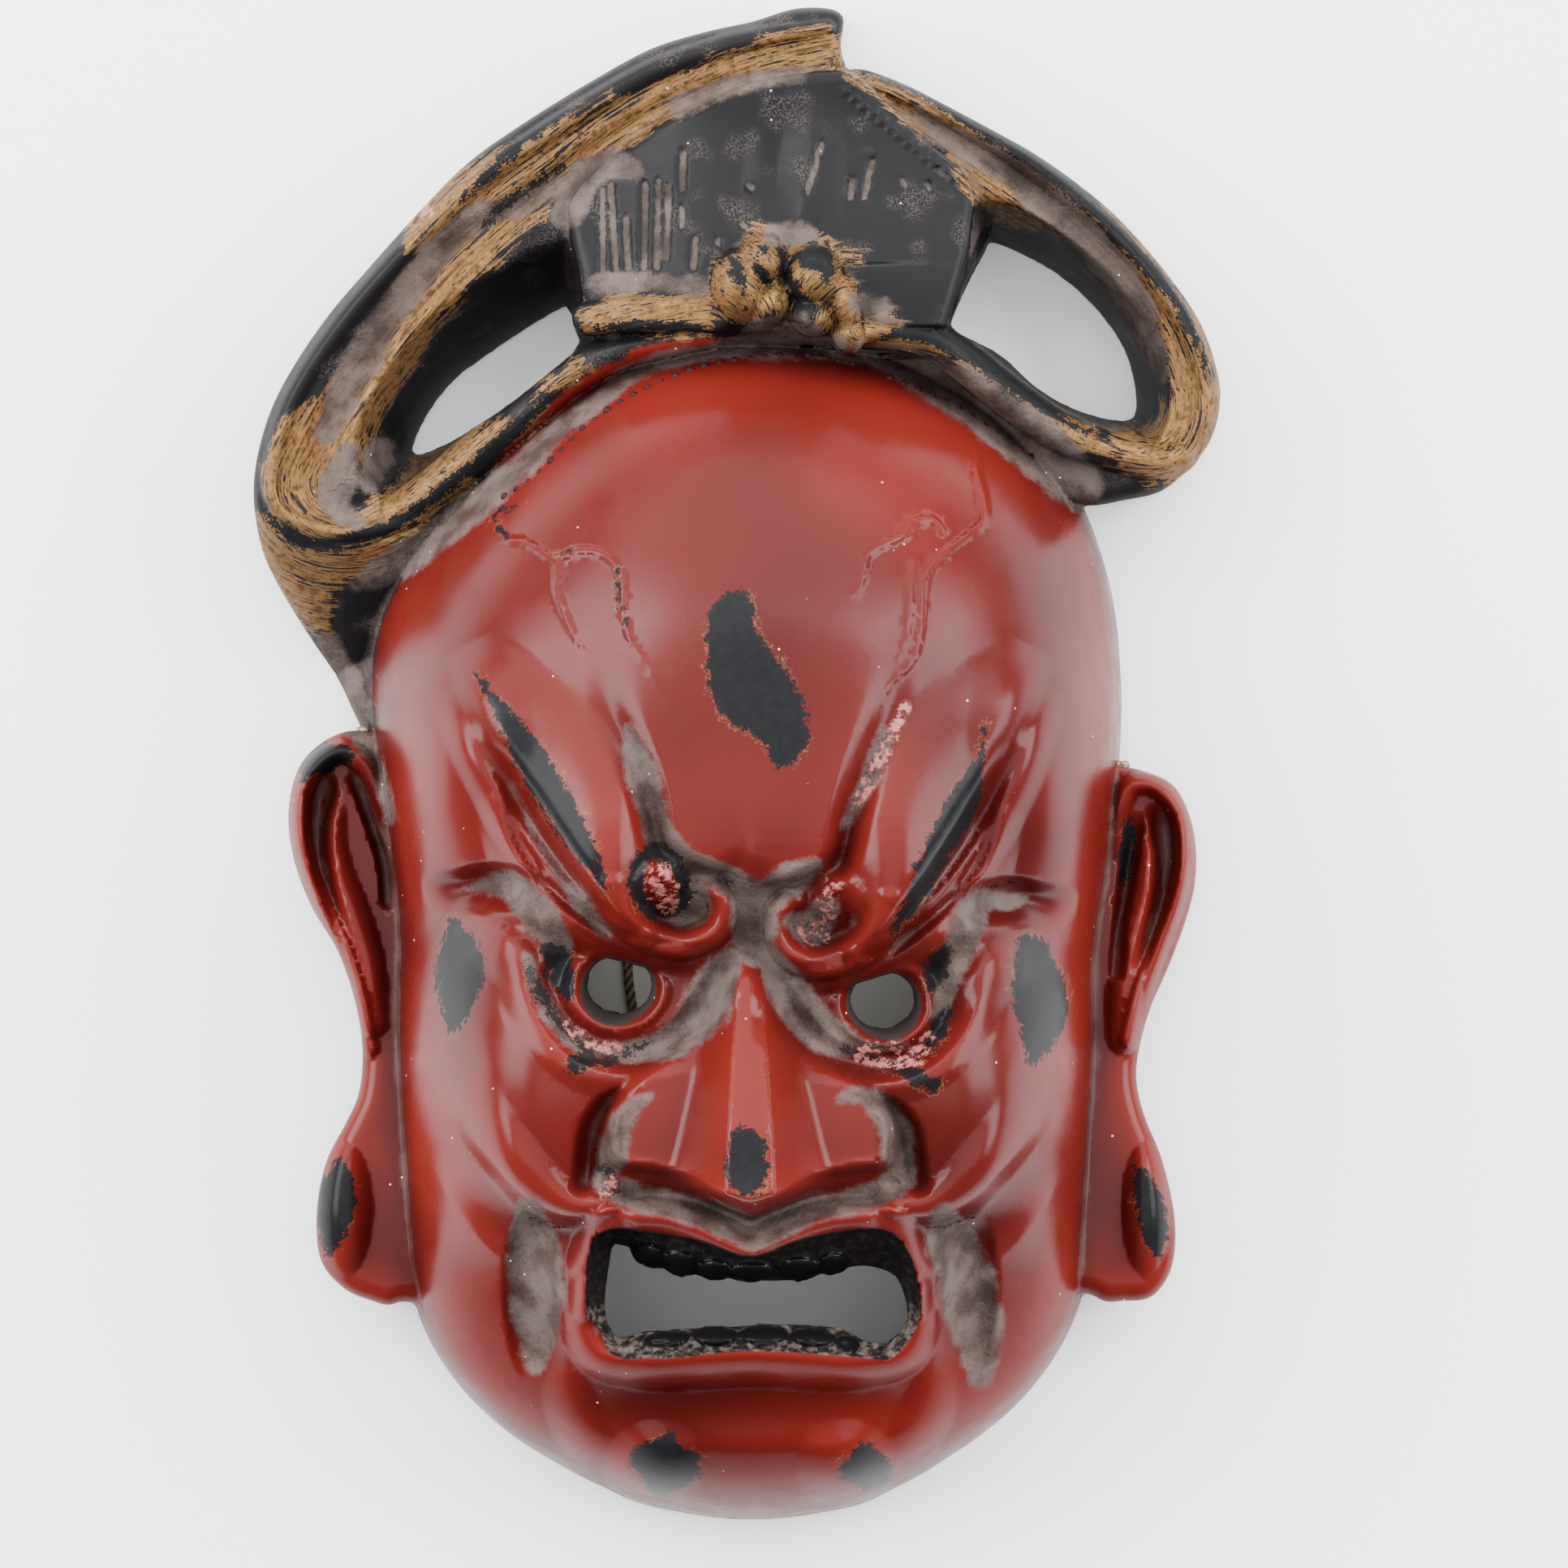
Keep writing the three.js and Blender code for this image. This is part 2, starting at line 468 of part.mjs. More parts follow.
// The ribbon's two loops, each with its hole, a raised outer hem and an inner wall sloping to the hole
const LOOPS = [
  {
    outline: region([
      [14, 190], [3.8, 191.4], [-8.2, 188], [-19.2, 185.6], [-33.2, 181.2], [-49.2, 172.4],
      [-65.2, 162.4], [-78, 153.2], [-89.2, 142], [-103.2, 126.4], [-113.6, 114], [-123.2, 99.2],
      [-128.4, 86.8], [-130.8, 73.2], [-129.2, 59.8], [-125.2, 50], [-117.6, 37.4], [-110, 26],
      [-105.2, 16], [-102.4, 13.2], [-93.2, 21.2], [-69.2, 65.2], [-33.2, 93.2], [-7.2, 97.2],
      [6.8, 113.2], [16.8, 133.2], [18.8, 153.2], [16.8, 171.2], [14, 181.2],
    ]),
    hole: region([
      [-53.4, 117.6], [-61.2, 113.6], [-73.2, 105.6], [-82, 98.8], [-88.8, 89.2], [-91, 81.6],
      [-81.2, 85.2], [-69.2, 92.6], [-55.2, 103.6], [-50.8, 108.2], [-52, 113.6],
    ]),
    steep: region([
      [-93.2, 73.2], [-81.2, 81.2], [-65.2, 91.2], [-49.2, 105.2], [-33.2, 105.2], [-33.2, 53.2],
      [-93.2, 53.2],
    ], 1),
    hem: ridge([
      [10.8, 186.8, 2, 1.6], [-7.2, 184, 3, 2.2], [-19.2, 180.8, 3, 2.4], [-33.2, 175.6, 3, 2.6],
      [-52, 164.8, 3, 2.6], [-72, 151.2, 3, 2.6], [-91.6, 133.6, 3, 2.6], [-107.6, 115.6, 3, 2.6],
      [-120.8, 96, 2.8, 2.6], [-126, 80, 2.6, 2.6], [-126, 70.8, 2.4, 2.6], [-120.8, 65.2, 2.4, 2.6],
      [-109.2, 62.2, 2.4, 2.4], [-93.2, 65.2, 2.4, 2], [-81.2, 73.2, 2.4, 1.6], [-65.2, 85.2, 2.4, 1],
    ], 0.8),
    trough: ridge([
      [6.8, 176.4, 1, 0], [-13.2, 173.2, 2.4, 0.8], [-33.2, 164.8, 3.4, 1.6], [-53.2, 150.8, 4.6, 2.6],
      [-69.2, 138.8, 5.4, 3.2], [-84.2, 128.8, 6, 3.6], [-96.2, 114.8, 6.4, 3.8],
      [-105.2, 101.2, 6.4, 3.8], [-112.2, 87.2, 6, 3.6], [-114.2, 75.2, 6, 3.4],
      [-109.2, 68.8, 5, 2.6], [-99.2, 68.8, 3.4, 0],
    ], 1.4),
    fall: region([
      [-133.2, 73.2], [-127.2, 65.2], [-117.2, 60.8], [-105.2, 59.6], [-93.2, 62], [-81.2, 69.2],
      [-65.2, 81.2], [-53.2, 53.2], [-101.2, -6.8], [-143.2, 13.2],
    ], 4),
    top: (v) => 33 + 9 * smooth(20, 190, v),
    slope: 2.2,
  },
  {
    outline: region([
      [18.4, 176.4], [28.8, 173], [38.8, 168], [50.8, 161.6], [62.8, 154.8], [76, 145.2], [85.8, 136],
      [95.8, 124], [102.8, 113.2], [106.6, 102.2], [107.4, 94.2], [105.4, 85.6], [100.8, 79],
      [93.2, 72.4], [83.8, 70], [74.8, 68.8], [66.8, 72.4], [46.8, 89.2], [18.8, 97.2], [6.8, 109.2],
      [6.8, 133.2], [10.8, 157.2], [14.8, 173.2],
    ]),
    hole: region([
      [52, 133.2], [64.8, 127.2], [74.8, 119.2], [82.8, 108.8], [86, 99.2], [86.4, 91.6], [82.8, 89.8],
      [72.8, 92.2], [62.8, 97.6], [52.8, 106.4], [41.2, 112.8], [44.4, 121.2], [49.4, 130.8],
    ]),
    steep: region([
      [40.8, 117.2], [46.8, 109.2], [66.8, 93.2], [86.8, 87.2], [106.8, 53.2], [26.8, 53.2],
    ], 1),
    hem: ridge([
      [21.8, 173.2, 2, 1.6], [32.8, 168.8, 2.8, 2.4], [46, 162, 3, 2.6], [61.2, 152.4, 3, 2.6],
      [75.8, 140.8, 3, 2.6], [87.2, 129.6, 3, 2.6], [96.8, 116.4, 3, 2.6], [103.2, 103.2, 3, 2.4],
      [104, 92.2, 3, 2.2], [99.2, 82.8, 3, 1.6],
    ], 0.8),
    trough: ridge([
      [28.8, 167.6, 1, 0], [38.8, 161.2, 3, 1.6], [49.8, 155.2, 4.6, 3], [59.8, 148.4, 5.2, 3.6],
      [69.2, 140, 5.4, 3.8], [78, 130.4, 5.2, 3.8], [85.6, 119.6, 5, 3.4], [90.8, 108.2, 4.4, 2.6],
      [94, 97.2, 3, 0],
    ], 1.4),
    fall: () => 0,
    top: (v) => 32 + 10 * smooth(90, 175, v),
    slope: 3.4,
  },
];
const STEEP = 6;
const HOLE_LIP = 4; // how high the wall about a loop's hole starts
const FALL_SLOPE = 0.9;

function loopField(loop, u, v) {
  const out = -loop.hole(u, v);
  const fallen = FALL_SLOPE * Math.max(loop.fall(u, v) - 1, 0);
  const face = loop.top(v) + loop.hem(u, v) - loop.trough(u, v) - fallen;
  const wall = Math.max(HOLE_LIP / 2, HOLE_LIP + (loop.steep(u, v) > 0 ? STEEP : loop.slope) * out);
  return { side: Math.min(loop.outline(u, v), out), top: softMin(face, wall, 3), round: EDGE_ROUND };
}

// Round strips along rows [u, v, half width, top]
function strip(rows, drop, power) {
  const path = line(rows);
  const reach = Math.max(...rows.map((row) => row[2])) + 4;
  return (u, v) => {
    if (beyond(path.box, u, v, reach)) return null;
    const hit = nearest(path, u, v);
    const q = Math.min(1, hit.distance / hit.value(2));
    return {
      side: hit.value(2) - hit.distance,
      top: hit.value(3) - drop + drop * (1 - q ** power) ** (1 / power),
      round: 0.5,
    };
  };
}

const RETURNS = [
  strip([
    [-99.2, 65.2, 4, 36], [-89.2, 70.8, 5, 39], [-73.2, 83.6, 5.4, 44], [-63.2, 92.2, 5.4, 47],
    [-53.2, 100.8, 5.2, 50], [-41.2, 106.8, 4.6, 54], [-29.2, 109.2, 4, 57], [-18.8, 110.4, 3, 60],
  ], 8, 2),
  strip([
    [17.2, 111.6, 3.4, 63], [27.8, 111.6, 4.4, 62], [36.8, 109.6, 4.8, 60], [44.8, 104, 5, 57],
    [54.8, 96, 5, 52], [66.8, 87.6, 5, 46], [78.8, 82.8, 5, 41], [90.8, 80, 5, 38],
    [97.8, 81.2, 4, 36],
  ], 8, 2),
];
const HAIR_BAND = strip([
  [-48.8, 114.8, 4, 57], [-41.2, 115.6, 4.6, 59], [-31.2, 116, 4.6, 61], [-17.2, 115.6, 4.6, 63],
], 6, 4);

const TOPKNOT = {
  outline: region([
    [-53.2, 142.8], [-44.2, 153.2], [-33.2, 161.6], [-23.2, 167.2], [-12.2, 171.6], [-1.2, 174.4],
    [14.8, 176], [21.8, 171.2], [34.8, 158.8], [47.2, 145.6], [40.4, 114.2], [32.8, 99.2],
    [12.8, 97.2], [-19.2, 97.2], [-41.2, 99.2], [-47.6, 113.2], [-50.8, 127.2],
  ], 2),
  facet: region([
    [45.8, 146], [49.8, 143.6], [50.4, 134.8], [44.8, 124.2], [40.4, 112.8], [34.8, 117.2],
  ], 2),
  relief: sum([
    [-1, ridge([
      [0.4, 169.2, 6, 0], [-1.2, 159.2, 8, 1.6], [-2.8, 147.2, 8, 2.2], [-4, 135.2, 7, 0],
    ], 1)], // crease
    [1, ridge([
      [6.8, 171.2, 6, 0], [7.2, 159.2, 8, 1.2], [6.8, 147.2, 9, 1.6], [4.8, 133.2, 8, 0],
    ], 1)], // crest
  ]),
};
const TOPKNOT_TOP = 50;
const TOPKNOT_RISE = 12; // more of it toward the ribbon's knot
const TOPKNOT_LEAN = 9; // less of it toward the left
const TOPKNOT_FOOT = 113.2; // below this it dives into the head
const TOPKNOT_FOOT_SLOPE = 3.5;
const FACET_TOP = 44;
const FACET_EDGE = 42.8;
const FACET_SLOPE = 3;

function topknotTop(u, v) {
  const crown = TOPKNOT_TOP + TOPKNOT_RISE * smooth(170, 115, v) - TOPKNOT_LEAN * smooth(-13.2, -53.2, u);
  return crown + TOPKNOT.relief(u, v) - TOPKNOT_FOOT_SLOPE * Math.max(0, TOPKNOT_FOOT - v);
}

// The knot of the ribbon: [centre, radii, turn, rise] of each lobe
const BOW_BASE = 56;
const BOW_LOBES = [
  [[-10.8, 122.8], [8, 10], 10, 16], [[-5.2, 128.8], [7, 7.5], 0, 16], [[-3.2, 118.8], [6, 7.5], -30, 15],
  [[7.2, 124.8], [8.5, 8.5], 0, 17], [[6.8, 115.6], [7, 5.5], -20, 15], [[14.8, 118.8], [5, 9], 15, 14],
  [[16, 111.2], [5, 5], 0, 12],
].map(([centre, radii, turn, rise]) => [swelling(centre, radii, turn, 0.5), rise]);

function bowField(u, v) {
  let top = -Infinity;
  for (const [lobe, rise] of BOW_LOBES) {
    const b = lobe(u, v);
    if (b > 0) top = Math.max(top, BOW_BASE + rise * b);
  }
  return top > 0 ? { side: 4, top, round: 0 } : null;
}

// The hollow: where it follows the face's broad forms, and its room under the topknot
const roomForms = sum([
  [-7, swelling([29.8, -49.8], [38, 26], 0, 1.2)], // eye socket
  [5, swelling([59.2, -72.8], [24, 36], 12, 1.2)], // cheek
  [10, swelling([0, -76.8], [13, 26], 0, 1.2)], // nose
  [-4, swelling([56.8, -122.8], [20, 26], -8, 1.2)], // hollow of the lower cheek
  [-4, swelling([0, -106.8], [40, 12], 0, 1.2)], // under the nose
  [-3, swelling([0, -151.2], [46, 12], 0, 1.2)], // under the lower lip
]);
const crownRoom = region([
  [-40.2, 140.8], [-23.2, 153.2], [-1.2, 160.2], [16.8, 160.2], [33.8, 140.8], [30.8, 113.2],
  [26.8, 81.2], [-33.2, 81.2], [-38.2, 113.2],
]);
const CROWN_CEILING = 44;

// Everything that depends on the drawing's place alone
function column(u, v) {
  const [a, b] = half(u, v);
  const relief = carving(a, b) + nose(a, b) + wings(a, b) + forehead(a, b) + lidRings(u, v);
  const slabs = LOOPS.map((loop) => loopField(loop, u, v));
  slabs.push({ side: TOPKNOT.outline(u, v), top: topknotTop(u, v), round: 3 });
  const facetTop = FACET_TOP - FACET_SLOPE * Math.max(0, u - FACET_EDGE);
  slabs.push({ side: TOPKNOT.facet(u, v), top: facetTop, round: 1 });
  const raised = [...RETURNS.map((shape) => shape(u, v)), HAIR_BAND(u, v), bowField(u, v)].filter(Boolean);
  const clear = Math.min(...LOOPS.map((loop) => -loop.hole(u, v)));
  raised.forEach((part) => slabs.push({ ...part, side: Math.min(part.side, clear) }));
  const ears = EARS.map((ear) => ({ side: ear.outline(u, v), top: EAR_TOP + ear.relief(u, v), round: 5 }));
  const [hole, recess] = [mouthHole(u, v), mouthRecess(u, v)];
  const wall = SHELL_WALL + COLLAR * (1 - smooth(3, 8, -recess)) - roomForms(a, b);
  return { ...dome(u, v), relief, slabs, ears, wall, hole, recess, crown: crownRoom(u, v) };
}

// The form's field: positive in the material, zero on its surface
function field(place, u, v, z) {
  const round = (place.rim + (Math.max(z, 0) / place.height) ** DOME_POWER) ** (1 / DOME_POWER);
  const egg = DOME_SCALE * (1 - round);
  let out = egg + place.relief;
  for (const part of place.slabs) {
    if (part.side > -6) out = softMax(out, slab(part.side, part.top, z, part.round), 1.2);
  }
  for (const ear of place.ears) {
    if (ear.side > -6) {
      out = softMax(out, softMin(slab(ear.side, ear.top, z, ear.round), z - earUnder(u), 3), 2);
    }
  }
  const hollow = Math.max(egg - place.wall, slab(place.crown, CROWN_CEILING, z, 8));
  return Math.min(out, -Math.min(hollow, out - LEAST_WALL), -openings(place, u, v, z), z);
}

const LEAST_SHARE = 0.03; // a point keeps this share of an edge from the edge's ends
const LATTICE = { from: [-134, -184, -CELL / 2], to: [112, 196, 122] };

// The surface where the field is zero, as a closed mesh in drawing coordinates
function surface() {
  const count = LATTICE.from.map((low, n) => Math.ceil((LATTICE.to[n] - low) / CELL) + 1);
  const [nu, nv, nz] = count;
  const stride = [1, nu, nu * nv];
  const at = (n, i) => LATTICE.from[n] + i * CELL;
  const values = new Float32Array(nu * nv * nz);
  for (let j = 0; j < nv; j += 1) {
    for (let i = 0; i < nu; i += 1) {
      const [u, v] = [at(0, i), at(1, j)];
      const place = column(u, v);
      for (let k = 0; k < nz; k += 1) values[i + j * nu + k * stride[2]] = field(place, u, v, at(2, k));
    }
  }
  // the cube's corners and edges in the tables' order
  const corner = [[0, 0, 0], [1, 0, 0], [1, 1, 0], [0, 1, 0], [0, 0, 1], [1, 0, 1], [1, 1, 1], [0, 1, 1]];
  const edges = [
    [0, 1], [1, 2], [3, 2], [0, 3], [4, 5], [5, 6], [7, 6], [4, 7], [0, 4], [1, 5], [2, 6], [3, 7],
  ];
  const offset = corner.map((c) => c[0] + c[1] * stride[1] + c[2] * stride[2]);
  const known = new Map();
  const points = [];
  const faces = [];
  const crossing = (cell, edge) => {
    const [a, b] = edges[edge].map((c) => cell + offset[c]);
    const axis = stride.indexOf(b - a);
    const key = a * 3 + axis;
    if (!known.has(key)) {
      const t = Math.min(1 - LEAST_SHARE, Math.max(LEAST_SHARE, values[a] / (values[a] - values[b])));
      const start = [a % nu, Math.floor(a / nu) % nv, Math.floor(a / stride[2])];
      known.set(key, points.length);
      points.push(start.map((i, n) => at(n, i + (n === axis ? t : 0))));
    }
    return known.get(key);
  };
  for (let k = 0; k + 1 < nz; k += 1) {
    for (let j = 0; j + 1 < nv; j += 1) {
      for (let i = 0; i + 1 < nu; i += 1) {
        const cell = i + j * nu + k * stride[2];
        let code = 0;
        for (let c = 0; c < 8; c += 1) if (values[cell + offset[c]] < 0) code |= 1 << c;
        if (edgeTable[code]) {
          for (let n = code * 16; triTable[n] !== -1; n += 3) {
            faces.push([0, 1, 2].map((c) => crossing(cell, triTable[n + c])));
          }
        }
      }
    }
  }
  return { points, faces };
}

// Drawing coordinates back to real ones, along the lines of sight
const real = ([u, v, z]) => {
  const near = (VIEW_HEIGHT - z) / VIEW_HEIGHT;
  return [u * near, v * near, z];
};

const cross = (a, b) => [a[1] * b[2] - a[2] * b[1], a[2] * b[0] - a[0] * b[2], a[0] * b[1] - a[1] * b[0]];
const less = (a, b) => [a[0] - b[0], a[1] - b[1], a[2] - b[2]];
const dot = (a, b) => a[0] * b[0] + a[1] * b[1] + a[2] * b[2];
const facing = (a, b, c) => cross(less(b, a), less(c, a));

// Squared distance to the plane of a face, times its area, as the ten numbers of a symmetric form
function planeForm(normal, through) {
  const area = Math.hypot(...normal) || 1e-12;
  const [x, y, z] = normal.map((s) => s / area);
  const d = -dot([x, y, z], through);
  return [x * x, x * y, x * z, x * d, y * y, y * z, y * d, z * z, z * d, d * d].map((s) => s * area);
}

const formAt = (q, [x, y, z]) => q[0] * x * x + q[4] * y * y + q[7] * z * z + q[9]
  + 2 * (q[1] * x * y + q[2] * x * z + q[5] * y * z + q[3] * x + q[6] * y + q[8] * z);

// Where a form is least, or null where its planes are too nearly parallel to meet in a point
function leastPoint(q) {
  const rows = [[q[0], q[1], q[2]], [q[1], q[4], q[5]], [q[2], q[5], q[7]]];
  const right = [-q[3], -q[6], -q[8]];
  const whole = dot(rows[0], cross(rows[1], rows[2]));
  if (Math.abs(whole) < LEAST_BEND * (q[0] + q[4] + q[7]) ** 3) return null;
  return [
    dot(right, cross(rows[1], rows[2])) / whole,
    dot(rows[0], cross(right, rows[2])) / whole,
    dot(rows[0], cross(rows[1], right)) / whole,
  ];
}

// Entries with a cost, the cheapest taken first
class Queue {
  entries = [];

  add(entry) {
    const { entries } = this;
    let i = entries.push(entry) - 1;
    while (i > 0) {
      const parent = (i - 1) >> 1;
      if (entries[parent].cost <= entry.cost) break;
      entries[i] = entries[parent];
      i = parent;
    }
    entries[i] = entry;
  }

  take() {
    const { entries } = this;
    const first = entries[0];
    const last = entries.pop();
    if (!entries.length) return first;
    let i = 0;
    for (;;) {
      let child = 2 * i + 1;
      if (child + 1 < entries.length && entries[child + 1].cost < entries[child].cost) child += 1;
      if (child >= entries.length || entries[child].cost >= last.cost) break;
      entries[i] = entries[child];
      i = child;
    }
    entries[i] = last;
    return first;
  }
}

// Fewer faces: the edge whose loss bends the surface least is closed up, again and again
function thinned({ points, faces }, wanted) {
  const place = points.map((p) => [...p]);
  const around = place.map(() => new Set());
  const bend = place.map(() => new Float64Array(10));
  const mark = place.map(() => 0); // goes up when a point moves, so that old entries are known
  const queue = new Queue();
  const grounded = (p) => Math.abs(place[p][2]) < 1e-6;

  const offer = (a, b) => {
    const form = bend[a].map((s, n) => s + bend[b][n]);
    const length = Math.hypot(...less(place[a], place[b]));
    const choices = [];
    if (grounded(a) === grounded(b)) {
      const middle = place[a].map((s, n) => (s + place[b][n]) / 2);
      const best = leastPoint(form);
      choices.push(place[a], place[b], middle);
      if (best && grounded(a)) best[2] = 0;
      if (best && Math.hypot(...less(best, middle)) < 2 * length) choices.push(best);
    } else {
      choices.push(place[grounded(a) ? a : b]);
    }
    const costs = choices.map((choice) => formAt(form, choice));
    const least = Math.min(...costs);
    const cost = Math.max(least, 0) + LENGTH_COST * length ** 3;
    queue.add({ a, b, marks: [mark[a], mark[b]], cost, to: choices[costs.indexOf(least)] });
  };

  const ring = (p) => {
    const found = new Set([...around[p]].flatMap((f) => faces[f]));
    found.delete(p);
    return found;
  };

  // whether a face about p would turn over or become a sliver
  const spoils = (p, other, to) => [...around[p]].some((f) => {
    if (faces[f].includes(other)) return false;
    const corners = faces[f].map((x) => (x === p ? to : place[x]));
    const before = facing(...faces[f].map((x) => place[x]));
    const after = facing(...corners);
    const [was, area] = [Math.hypot(...before), Math.hypot(...after)];
    const longest = Math.max(...corners.map((c, n) => Math.hypot(...less(c, corners[(n + 1) % 3]))));
    return area < SLIVER * longest ** 2 + 1e-3 || dot(before, after) < LEAST_TURN * was * area;
  });

  faces.forEach((face, f) => {
    const [a, b, c] = face.map((p) => place[p]);
    const form = planeForm(facing(a, b, c), a);
    face.forEach((p) => {
      around[p].add(f);
      form.forEach((s, n) => { bend[p][n] += s; });
    });
  });
  faces.forEach((face) => face.forEach((p, n) => {
    const next = face[(n + 1) % 3];
    if (p < next) offer(p, next);
  }));

  const live = new Set(faces.keys());
  while (live.size > wanted && queue.entries.length) {
    const { a, b, marks, to } = queue.take();
    if (mark[a] !== marks[0] || mark[b] !== marks[1]) continue;
    const near = ring(b);
    const shared = [...ring(a)].filter((x) => near.has(x)).length;
    if (shared !== 2 || spoils(a, b, to) || spoils(b, a, to)) continue;
    place[a] = to;
    bend[a] = bend[a].map((s, n) => s + bend[b][n]);
    for (const f of [...around[b]]) {
      if (faces[f].includes(a)) {
        live.delete(f);
        faces[f].forEach((x) => around[x].delete(f));
      } else {
        faces[f] = faces[f].map((x) => (x === b ? a : x));
        around[a].add(f);
      }
    }
    around[b].clear();
    mark[a] += 1;
    mark[b] = -1;
    ring(a).forEach((x) => offer(Math.min(a, x), Math.max(a, x)));
  }
  const kept = [...new Set([...live].flatMap((f) => faces[f]))];
  const index = new Map(kept.map((p, n) => [p, n]));
  const left = [...live].map((f) => faces[f].map((p) => index.get(p)));
  return { points: kept.map((p) => place[p]), faces: left };
}

function toGeometry(positions, triangles) {
  const geometry = new THREE.BufferGeometry();
  geometry.setAttribute('position', new THREE.BufferAttribute(new Float32Array(positions), 3));
  geometry.setIndex([...triangles]);
  geometry.computeVertexNormals();
  return geometry;
}

const wasm = await Module();
wasm.setup();

function toSolid(geometry) {
  const bare = geometry.clone();
  bare.deleteAttribute('normal');
  bare.deleteAttribute('uv');
  const merged = mergeVertices(bare, 1e-4);
  return new wasm.Manifold(new wasm.Mesh({
    numProp: 3,
    vertProperties: new Float32Array(merged.attributes.position.array),
    triVerts: new Uint32Array(merged.index.array),
  }));
}

function fromSolid(solid) {
  const mesh = solid.getMesh();
  return toGeometry(mesh.vertProperties, mesh.triVerts);
}

// The cord, from a knot outside one wall over the ground inside the hollow to a knot outside the other
const CORD_HEIGHT = 17;
const KNOTS = [{ name: 'cord_knot_left', at: [-103.8, 12.6] }, { name: 'cord_knot_right', at: [83.4, 4.2] }]
  .map(({ name, at }) => ({ name, at: real([...at, CORD_HEIGHT]) }));
const GROUND = CORD_RADIUS + 0.2;
const cordRoute = [
  [KNOTS[0].at[0] + KNOT_RADIUS + 0.3, KNOTS[0].at[1], CORD_HEIGHT],
  [-92, KNOTS[0].at[1], CORD_HEIGHT],
  [-84, 12, 16],
  [-76, 10, 9],
  [-69, 7, 4.4],
  [-63, 3.5, 2.4],
  [-57, -1.5, GROUND + 0.3],
  [-47, -13, GROUND],
  [-39, -32, GROUND],
  [-38, -50, GROUND],
  [-33, -70, GROUND],
  [-18, -86, GROUND],
  [4, -90, GROUND],
  [26, -86, GROUND],
  [44, -70, GROUND],
  [52, -48, GROUND],
  [54.5, -28, GROUND],
  [57, -12, GROUND + 0.3],
  [59, -5, 2.4],
  [62, 0, 5.4],
  [67, 3, 12],
  [73, KNOTS[1].at[1], CORD_HEIGHT],
  [KNOTS[1].at[0] - KNOT_RADIUS - 0.3, KNOTS[1].at[1], CORD_HEIGHT],
];

const CORD_OUTLINE = new THREE.Shape(Array.from({ length: CORD_SIDES }, (_, n) => {
  const angle = (2 * Math.PI * (n + 0.5)) / CORD_SIDES;
  return new THREE.Vector2(CORD_RADIUS * Math.cos(angle), CORD_RADIUS * Math.sin(angle));
}));

function cordGeometry() {
  const places = cordRoute.map((p) => new THREE.Vector3(...p));
  const extrudePath = new THREE.CatmullRomCurve3(places, false, 'centripetal');
  return new THREE.ExtrudeGeometry(CORD_OUTLINE, { steps: CORD_STEPS, extrudePath, bevelEnabled: false });
}

// A knot is a ball with the turns of the cord standing out on it
function knotGeometry() {
  const ball = new THREE.SphereGeometry(KNOT_RADIUS, 12, 8);
  const spot = new THREE.Vector3();
  const { position } = ball.attributes;
  for (let n = 0; n < position.count; n += 1) {
    spot.fromBufferAttribute(position, n);
    const turn = KNOT_TURNS * Math.atan2(spot.y, spot.x) + spot.z;
    const dip = KNOT_DIP * (1 - Math.cos(turn)) * (1 - (spot.z / KNOT_RADIUS) ** 2);
    position.setXYZ(n, ...spot.multiplyScalar(1 - dip).toArray());
  }
  return ball;
}

// Room for a knot, and the bore through the side wall behind it, along X
function cordSeat([x, y, z], inward) {
  const bore = new THREE.CylinderGeometry(CORD_HOLE, CORD_HOLE, BORE_LENGTH, 12);
  bore.rotateZ(Math.PI / 2);
  bore.translate(x + inward * (BORE_LENGTH / 2 - 1), y, z);
  const seat = new THREE.SphereGeometry(KNOT_RADIUS + KNOT_ROOM, 14, 10);
  seat.translate(x, y, z);
  return toSolid(bore).add(toSolid(seat));
}

function maskGeometry() {
  const whole = surface();
  whole.points = whole.points.map(real);
  const few = thinned(whole, MASK_TRIANGLES);
  let solid = toSolid(toGeometry(few.points.flat(), few.faces.flat()));
  KNOTS.forEach(({ at }, n) => { solid = solid.subtract(cordSeat(at, n ? -1 : 1)); });
  return fromSolid(solid);
}

const LACQUER = new THREE.MeshStandardMaterial({ color: 0x8a2c22, roughness: 0.28, metalness: 0 });
const HEMP = new THREE.MeshStandardMaterial({ color: 0x8d8371, roughness: 0.9, metalness: 0 });

function piece(name, geometry, material, at = [0, 0, 0]) {
  const mesh = new THREE.Mesh(geometry, material);
  mesh.name = name;
  mesh.position.set(...at);
  return mesh;
}

const mask = maskGeometry();
mask.computeBoundingBox();
const middle = mask.boundingBox.getCenter(new THREE.Vector3());

const group = new THREE.Group();
group.add(piece('mask', mask, LACQUER));
group.add(piece('cord', cordGeometry(), HEMP));
KNOTS.forEach(({ name, at }) => group.add(piece(name, knotGeometry(), HEMP, at)));
// the origin is under the middle of the mask, on the plane of its rim
group.position.set(-middle.x, -middle.y, 0);

export default group;
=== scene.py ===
# %% [markdown]
# # A lacquered dance mask
# The mask is one shell of wood or hemp cloth under lacquer: a scowling face with long ears, a topknot
# and a looped ribbon. It lies face up on its rim. Everything here is in metres in the frame of the
# solid model, and the form itself is worked out in millimetres and then moved into that frame.

# %% The frame
import math

